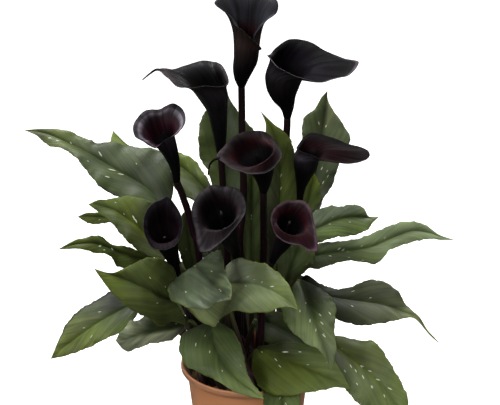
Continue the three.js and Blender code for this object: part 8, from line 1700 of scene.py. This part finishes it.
def spathe_parts(name, flower, look, cols=96):
    outer, ring_rows = spathe_rows(flower, cols)
    # the foot of the funnel is as wide as the stem, with a small round edge
    middle = outer.mean(1, keepdims=True)
    foot = np.linalg.norm(outer[0] - middle[0], axis=1).mean()
    near = 1 - step(np.arange(len(outer)), 0, 7)
    outer = middle + (outer - middle) * (
        1 - (1 - flower["rs"] * 1.02 / foot) * near
    )[:, None, None]
    ease = outer[0] + (outer[1] - outer[0]) * 0.2
    shrunk = middle[0] + (outer[0] - middle[0]) * 0.93
    outer = np.concatenate([shrunk[None], ease[None], outer[1:]])
    ring_rows += 1
    # soften the change from funnel to flare
    for _ in range(6):
        j = slice(ring_rows - 7, ring_rows + 8)
        k = np.arange(outer.shape[0])[j]
        outer[j] = (outer[k - 1] + 2 * outer[k] + outer[k + 1]) / 4
    rows = len(outer)
    upward = np.gradient(outer, axis=0)
    round_ = np.roll(outer, -1, 1) - np.roll(outer, 1, 1)
    normal = unit(np.cross(round_, upward))
    centre = outer.mean(1)
    side = np.einsum("ijk,ijk->ij", normal[3:12], outer[3:12] - centre[3:12, None])
    if side.sum() < 0:
        normal = -normal
    t = np.linspace(0, 1, rows)[:, None]
    v = (np.arange(cols) / cols)[None, :]
    # the wrapped edge of the sheet: a step that runs down the front of the funnel
    dist = (v + 0.5) % 1.0 - 0.5
    lap = np.where(dist > 0, np.exp(-dist / 0.06), np.exp(dist / 0.006)) * look.get(
        "lap", 0.7
    )
    lap = lap * step(t, 0.12, 0.4) * step(t, 1.0, 0.86)
    seed = int(name[-1]) + 70
    far = length_along(outer[:, 0])[:, None] * np.ones((1, cols))
    flute = 0.1 * np.sin(2 * math.pi * v * 22 + 1.3 * seed) * step(t, 0.1, 0.5)
    wave = look.get("wave", 0.7)
    r = np.random.RandomState(seed)
    ruffle = (
        wave
        * (
            np.sin(2 * math.pi * (v * 5 + r.uniform()))
            + 0.6 * np.sin(2 * math.pi * (v * 9 + r.uniform()))
        )
        * step(t, 0.72, 1.0)
    )
    wall = 0.85 * (1 - 0.35 * step(t, 0.8, 1.0))
    shift = lap + flute + ruffle
    skin_out = outer + normal * shift[..., None]
    skin_in = outer - normal * (wall - shift)[..., None]
    first = 3  # the inside starts a little above the joint
    bead = outer[-1] + normal[-1] * (shift[-1] - wall[-1] / 2)[:, None] + unit(
        upward[-1]
    ) * (wall[-1, 0] * 0.45)
    points = np.concatenate(
        [
            skin_out.reshape(-1, 3),
            bead,
            skin_in[first:].reshape(-1, 3),
            centre[:1],
            skin_in[first].mean(0)[None],
        ]
    )
    n_out = rows * cols
    n_in = (rows - first) * cols
    ring = np.arange(cols)
    bead_at = n_out
    in_at = n_out + cols
    last_out = n_out - cols
    last_in = in_at + n_in - cols
    strip = lambda a, b: np.stack(
        [a + ring, a + np.roll(ring, -1), b + np.roll(ring, -1), b + ring], -1
    )
    faces = [
        quads(rows, cols, ring=True),
        strip(last_out, bead_at),
        strip(bead_at, last_in),
        quads(rows - first, cols, ring=True, flip=True) + in_at,
        fan(ring, in_at + n_in, flip=True),
        fan(in_at + ring, in_at + n_in + 1),
    ]
    # colours: dark skin outside, maroon throat, paler lip, on flower_4 a painted highlight
    throat, lip, limb = (np.array(look[k]) for k in ("throat", "lip", "limb"))
    black = np.array(BLACK)
    tt = np.broadcast_to(t, (rows, cols))
    out_col = mix(black, np.array(look.get("skin", limb)), step(tt, 0.2, 0.7))
    out_col = mix(out_col, lip * 0.6, step(tt, 0.95, 1.0) * 0.5)
    cloud = waves(
        outer[..., 0] / 40, outer[..., 1] / 40, outer[..., 2] / 40, seed, octaves=2
    )
    out_col = out_col * (1 + 0.25 * cloud)[..., None]
    band = look.get("band", 0.86)
    deep = np.array(look.get("deep", black * 0.7))
    in_col = mix(deep, throat, step(tt, 0.4, 0.72))
    in_col = mix(in_col, limb, step(tt, band - 0.2, band + 0.02))
    ray = unit(outer - outer[-1].mean(0))
    front = np.array(look.get("edge", lip * 0.7))
    back = np.array(look.get("back", front))
    behind = step(ray[..., 2] + 0.6 * ray[..., 1], -0.1, 0.5)
    edge = mix(front, back, behind)
    rolled = mix(lip, back, behind * ("back" in look))
    rim = look.get("rim", 0.965)
    in_col = mix(in_col, rolled, step(tt, band, 0.95 if rim > 0.95 else rim) * 0.85)
    # colours on one side of the lip; flower_4's pale lavender ones are painted highlights
    for accent, dx, dz, reach in look.get("sides", []):
        on = step(ray[..., 0] * dx + ray[..., 2] * dz, reach, 0.97)
        in_col = mix(in_col, np.array(accent), on * step(tt, band - 0.04, 0.93) * 0.8)
        out_col = mix(out_col, np.array(accent) * 0.5, on * step(tt, 0.75, 1.0) * 0.7)
    # the thin line along the rim: where the edge colour is pale it is a painted highlight
    in_col = mix(in_col, edge, step(tt, rim, rim + 0.022) * 0.8)
    in_col = in_col * (1 + 0.25 * cloud)[..., None]
    tone = np.concatenate(
        [
            out_col.reshape(-1, 3),
            edge[-1],
            in_col[first:].reshape(-1, 3),
            black[None],
            black[None],
        ]
    )
    skin = np.stack(
        [np.broadcast_to(v * 100, (rows, cols)), far, np.zeros((rows, cols))], -1
    )
    skin = np.concatenate(
        [
            skin.reshape(-1, 3),
            skin[-1],
            skin[first:].reshape(-1, 3) + np.array([0, 0, 9.0]),
            skin[0, :1],
            skin[0, :1],
        ]
    )
    made = [part(points, faces, 0, tone=tone, skin=skin)]
    if "tail" in flower:
        path = through(np.array(flower["tail"], float), np.linspace(0, 1, 40))
        pts, fcs = tube(path, 1.8 - 1.1 * np.linspace(0, 1, 40), 14)
        far = length_along(path)
        along = np.concatenate([np.repeat(far, 14), [far[0], far[-1]]])
        tone = mix(lip * 0.4, black, step(along, 0, far[-1] * 0.3))
        made.append(
            part(
                pts,
                fcs,
                0,
                tone=tone,
                skin=np.stack([along * 0, along, along * 0], -1),
            )
        )
    return made


def stem_parts(flower):
    c = np.array(flower["c"])
    up = unit(c[1] - c[0])
    top = c[0] - up * 0.3
    stem = np.array(flower["stem"], float)[::-1]
    line = np.concatenate([stem[:-1], [top]])
    path = through(line, np.linspace(0, 1, 64))
    way = unit(path[0] - path[6])
    root = [path[0] + way * (k / -way[2]) for k in (6.0, 3.0)]
    path = np.concatenate([root, path])
    u = np.linspace(0, 1, len(path))
    radii = flower["rs"] * (1.06 - 0.06 * u)
    # a small round edge where the stem ends under the funnel
    path = np.concatenate([path[:-1], [path[-1] - up * 0.25, path[-1]]])
    radii = np.concatenate([radii, [radii[-1] * 0.94]])
    u = np.concatenate([u, [1.0]])
    ribs = lambda x, a: 1 + 0.012 * np.cos(9 * a + 2 * x)
    pts, fcs = tube(path, radii, 28, ribs)
    far = length_along(path)
    ring = np.arange(28) / 28
    around = np.concatenate([np.tile(ring * 22, len(path)), [0, 0]])
    along = np.concatenate([np.repeat(far, 28), [far[0], far[-1]]])
    k = np.concatenate([np.repeat(u, 28), [0, 1]])
    tone = mix((0.0130, 0.0032, 0.0058), (0.0135, 0.0058, 0.0062), step(k, 0.35, 0.85))
    tone = mix(tone, (0.020, 0.022, 0.012), 0.6 * step(k, 0.1, 0.0))
    return [
        part(
            pts,
            fcs,
            0,
            tone=tone,
            skin=np.stack([around, along, np.zeros_like(along)], -1),
        )
    ]


def spadix_parts(flower, look):
    c = np.array(flower["c"])
    up = unit(c[2] - c[1])
    foot = c[1] + up * 0.6
    line = np.array([foot, c[2], c[3], flower["tip"]])
    rows, sides = 64, 30
    u = np.linspace(0, 1, rows)
    shape = np.interp(
        u,
        [0, 0.14, 0.4, 0.68, 0.88, 0.97, 1],
        [0.55, 0.72, 1, 0.94, 0.72, 0.4, 0.12],
    )
    for _ in range(3):
        shape[1:-1] = (shape[:-2] + 2 * shape[1:-1] + shape[2:]) / 4
    bumps = lambda x, a: 1 + 0.07 * step(x, 0.03, 0.12) * np.sin(
        2 * math.pi * x * 17 + 5 * a
    ) * np.sin(2 * math.pi * x * 17 - 5 * a)
    pts, fcs = tube(through(line, u), shape * 3.0, sides, bumps)
    k = np.concatenate([np.repeat(u, sides), [0, 1]])
    tone = mix(DIM, np.array(look.get("spadix", DIM)), step(k, 0.93, 0.97))
    return [part(pts, fcs, 0, tone=tone)]


SPATHES = {
    "plain": spathe_look("spathe_skin", 0.14, 0.3, 0.016, 1.8),
    "soft": spathe_look("spathe_skin_soft", 0.07, 0.4, 0.009, 1.8),
    "folded": spathe_look("spathe_skin_folded", 0.09, 0.36, 0.01, 3.2),
    "satin": spathe_look("spathe_skin_satin", 0.05, 0.42, 0.0065, 1.8),
    "matte": spathe_look("spathe_skin_matte", 0.03, 0.5, 0.004, 1.8),
}
stem_material = stalk_look("flower_stem_skin", 0.33)
spadix_material = spadix_look()
for name, flower in FLOWERS.items():
    look = FLOWER_LOOKS[name]
    piece(
        name + "_funnel",
        spathe_parts(name, flower, look),
        [SPATHES[look.get("sheet", "plain")]],
        [name + "_spathe"],
    )
    piece(
        name + "_stalk",
        stem_parts(flower),
        [stem_material],
        [name + "_stem"],
    )
    piece(
        name + "_rod",
        spadix_parts(flower, look),
        [spadix_material],
        [name + "_spadix"],
    )

# ---------------------------------------------------------------- pot and soil


def lathe(profile, sides):
    """Profile points (radius, height) from the axis to the axis again, turned round +Z."""
    profile = np.asarray(profile, float)
    inner = profile[1:-1]
    a = 2 * math.pi * np.arange(sides) / sides
    grid = np.stack(
        [
            inner[:, :1] * np.cos(a),
            inner[:, :1] * np.sin(a),
            np.broadcast_to(inner[:, 1:], (len(inner), sides)),
        ],
        -1,
    )
    points = np.concatenate(
        [grid.reshape(-1, 3), [[0, 0, profile[0, 1]], [0, 0, profile[-1, 1]]]]
    )
    n = len(inner)
    ring = np.arange(sides)
    faces = [
        quads(n, sides, ring=True),
        fan(ring, n * sides, flip=True),
        fan(ring + (n - 1) * sides, n * sides + 1),
    ]
    return points, faces


def outer_wall(z):
    return 58.5 + 14.5 * (z - 1.5) / 129.5


def inner_wall(z):
    return 56.5 + 14.1 * (z - 4.0) / 124.0


outside = [
    (0, 0.7), (20, 0.7), (43, 0.7), (44, 0.55), (45, 0.1), (46, 0.0), (52, 0.0), (56.6, 0.0),
    (57.4, 0.1), (58.1, 0.5), (58.4, 1.1),
]
for z in (2.5, 6, 20, 40, 60, 80, 95, 105, 112, 117, 121, 123.5, 125, 126, 127, 128, 129, 130, 130.5):
    outside.append((outer_wall(z), z))
outside += [
    (73.1, 130.85), (73.6, 131.1), (74.4, 131.2), (77.2, 131.35), (78.7, 131.5), (79.4, 131.85),
    (79.85, 132.5), (80.0, 133.3), (80.0, 134.6), (80.0, 136.0), (79.9, 137.0), (79.6, 137.7),
    (79.1, 138.2), (78.5, 138.45), (77.9, 138.5),
]
inside = [(77.4, 138.4), (77.1, 138.05), (76.85, 137.4), (75.95, 136.0), (73.7, 132.6), (71.4, 129.2), (70.7, 128.1)]
for z in (126.5, 124, 120, 117, 112, 90, 50, 12):
    inside.append((inner_wall(z) - 0.02, z))
inside += [(56.55, 4.6), (56.0, 4.0), (0, 4.0)]
pot_profile = outside + inside
pts, fcs = lathe(pot_profile, 144)
z = pts[:, 2]
profile_row = np.concatenate(
    [np.repeat(np.arange(1, len(pot_profile) - 1), 144), [0, len(pot_profile) - 1]]
)
out = (profile_row < len(outside)) * 1.0
clay = np.array((0.50, 0.216, 0.092))
tone = np.broadcast_to(clay, pts.shape).copy()
tone = mix(tone, clay * (0.70, 0.76, 0.89), step(z, 131.5, 133.0) * out)
# painted highlight along the top of the lip
tone = mix(tone, clay * 1.2, step(z, 136.8, 138.3) * out * 0.8)
# painted shade: a thin dark crease line at the lip's lower edge
tone = mix(tone, clay * 0.45, np.exp(-(((z - 132.2) / 0.7) ** 2)) * out * 0.8)
# painted shadow on the wall just under the lip, and a softer painted shadow below it
tone = mix(tone, clay * (0.34, 0.26, 0.2), np.exp(-(((z - 127.0) / 1.6) ** 2)) * out * (z < 130.6))
tone = mix(tone, clay * 0.82, step(z, 108.0, 127.0) * out * (z < 130.6) * 0.6)
# painted shade: the inside wall grows darker going down from the lip toward the soil
tone = mix(tone, clay * (0.3, 0.2, 0.14), step(z, 137.6, 131.0) * (1 - out))
dirt = step(z, 137.0, 120.0) * (1 - out)
pot = part(pts, fcs, 0, tone=tone, dirt=dirt)
piece("pot_shell", [pot], [pot_look()], ["pot"])


def soil_height(x, y):
    r = np.hypot(x, y) / 70.0
    z = SOIL_LEVEL - SOIL_MOUND * step(r, 0.3, 1.05)
    rough = (
        1.1 * waves(x / 34, y / 34, 0 * x, 5, 2)
        + 0.9 * waves(x / 11, y / 11, 0 * x, 6, 3)
        + 0.45 * waves(x / 4, y / 4, 0 * x, 7, 2)
    )
    return z + rough - 0.4


def crumb(centre, size, seed):
    """A small closed lump of soil."""
    r = np.random.RandomState(seed)
    rows, sides = 5, 7
    a = 2 * math.pi * np.arange(sides) / sides
    e = np.linspace(-math.pi / 2, math.pi / 2, rows + 2)[1:-1]
    stretch = r.uniform(0.6, 1.3, 3)
    turn = r.uniform(0, 6.28)
    grid = np.stack(
        [
            np.cos(e)[:, None] * np.cos(a + turn),
            np.cos(e)[:, None] * np.sin(a + turn),
            np.sin(e)[:, None] * np.ones(sides),
        ],
        -1,
    )
    grid = grid * (1 + 0.22 * r.normal(size=(rows, sides, 1)))
    points = np.concatenate([grid.reshape(-1, 3), [[0, 0, -1], [0, 0, 1]]])
    points = points * stretch * size + centre
    ring = np.arange(sides)
    faces = [
        quads(rows, sides, ring=True),
        fan(ring, rows * sides, flip=True),
        fan(ring + (rows - 1) * sides, rows * sides + 1),
    ]
    return points, faces


def soil_parts():
    sides, rows = 150, 56
    wall = 68.72
    rr = np.linspace(0, 1, rows + 1)[1:] ** 0.8 * wall
    a = 2 * math.pi * np.arange(sides) / sides
    x, y = rr[:, None] * np.cos(a), rr[:, None] * np.sin(a)
    top = np.stack([x, y, soil_height(x, y)], -1)
    lower = [
        np.stack([q * np.cos(a), q * np.sin(a), np.full(sides, h)], -1)
        for q, h in ((67.9, 108.0), (64.5, 78.0), (60.1, 40.0), (56.1, 5.0), (30, 4.6))
    ]
    grid = np.concatenate([top, np.stack(lower)])
    points = np.concatenate(
        [grid.reshape(-1, 3), [[0, 0, soil_height(np.zeros(1), np.zeros(1))[0]], [0, 0, 4.6]]]
    )
    n = len(grid)
    ring = np.arange(sides)
    faces = [
        quads(n, sides, ring=True),
        fan(ring, n * sides, flip=True),
        fan(ring + (n - 1) * sides, n * sides + 1),
    ]
    dark = np.array((0.135, 0.082, 0.028))
    cloud = waves(points[:, 0] / 20, points[:, 1] / 20, points[:, 2] / 20, 9, 3)
    parts = [part(points, faces, 0, tone=dark * (1 + 0.35 * cloud)[:, None])]
    r = np.random.RandomState(12)
    for i in range(420):
        q, b = 67.6 * math.sqrt(r.uniform()), r.uniform(0, 2 * math.pi)
        size = 0.6 + 1.6 * r.uniform() ** 2.5
        if q + size * 1.4 > 68.5:
            q = 68.5 - size * 1.4
        cx, cy = q * math.cos(b), q * math.sin(b)
        cz = float(soil_height(np.array([cx]), np.array([cy]))[0]) + size * 0.2
        pts, fcs = crumb(np.array([cx, cy, cz]), size, 500 + i)
        shade = r.uniform(0.6, 1.6)
        tone = dark * shade
        if r.uniform() < 0.05:
            tone = np.array((0.16, 0.12, 0.08)) * r.uniform(0.7, 1.3)
        parts.append(
            part(pts, fcs, 0, tone=np.broadcast_to(tone, (len(pts), 3)))
        )
    return parts


piece("soil_bed", soil_parts(), [soil_look()], ["soil"])

# ---------------------------------------------------------------- floor, light and camera


def floor():
    mesh = bpy.data.meshes.new("floor")
    h = 12.0
    mesh.from_pydata([(-h, -h, 0), (h, -h, 0), (h, h, 0), (-h, h, 0)], [], [(0, 1, 2, 3)])
    g = Look("floor_paint")
    g.shader.inputs["Base Color"].default_value = (0.9, 0.9, 0.9, 1)
    g.shader.inputs["Roughness"].default_value = 0.9
    g.shader.inputs["Specular IOR Level"].default_value = 0.0
    g.shader.inputs["Emission Color"].default_value = (1, 1, 1, 1)
    g.shader.inputs["Emission Strength"].default_value = 0.7
    mesh.materials.append(g.material)
    o = bpy.data.objects.new("floor", mesh)
    bpy.context.scene.collection.objects.link(o)
    # the floor stays pale in the picture, and the plant is lit from above only
    o.visible_diffuse = False
    o.visible_glossy = False


def lamp(name, where, aim, size, power, colour=(1, 1, 1), spread=180.0):
    data = bpy.data.lights.new(name, "AREA")
    data.spread = math.radians(spread)
    data.shape = "DISK"
    data.size = size
    data.energy = power
    data.color = colour
    o = bpy.data.objects.new(name, data)
    bpy.context.scene.collection.objects.link(o)
    o.location = where
    away = np.array(where) - np.array(aim)
    from mathutils import Vector

    o.rotation_euler = Vector(away).to_track_quat("Z", "Y").to_euler()


floor()
world = bpy.data.worlds.new("studio")
world.use_nodes = True
bpy.context.scene.world = world
nodes = world.node_tree.nodes
links = world.node_tree.links
sky = nodes["Background"]
sky.inputs["Color"].default_value = (1.0, 1.0, 1.0, 1)
# a studio that is bright above and dim below
height = nodes.new("ShaderNodeSeparateXYZ")
links.new(nodes.new("ShaderNodeTexCoord").outputs["Generated"], height.inputs[0])
ramp = nodes.new("ShaderNodeMapRange")
ramp.interpolation_type = "SMOOTHSTEP"
for socket, number in zip(ramp.inputs[1:5], (-0.3, 0.9, 0.11, 0.66)):
    socket.default_value = number
links.new(height.outputs["Z"], ramp.inputs[0])
links.new(ramp.outputs[0], sky.inputs["Strength"])
lamp("overhead", (-0.35, 0.1, 1.9), (0, 0, 0.3), 0.9, 34.0)
lamp("front_left", (-1.2, -1.3, 1.5), (0, 0, 0.3), 0.6, 12.0)
lamp("back_right", (1.1, 1.2, 1.4), (0, 0, 0.35), 0.7, 9.0)

lamp("pot_front", (-0.35, -1.3, 0.3), (0, -0.07, 0.06), 0.3, 0.15, (1, 0.97, 0.93), 22.0)

view = bpy.context.scene.view_settings
view.view_transform = "Standard"
view.look = "None"

data = bpy.data.cameras.new("camera")
data.lens = 90.0
data.sensor_width = 36.0
data.sensor_fit = "HORIZONTAL"
data.clip_start = 0.05
data.clip_end = 60.0
camera = bpy.data.objects.new("camera", data)
bpy.context.scene.collection.objects.link(camera)
camera.location = (0.0025, -1.3358, 0.8304)
camera.rotation_euler = (math.radians(69.82), 0, 0)
bpy.context.scene.camera = camera

bpy.context.view_layer.update()
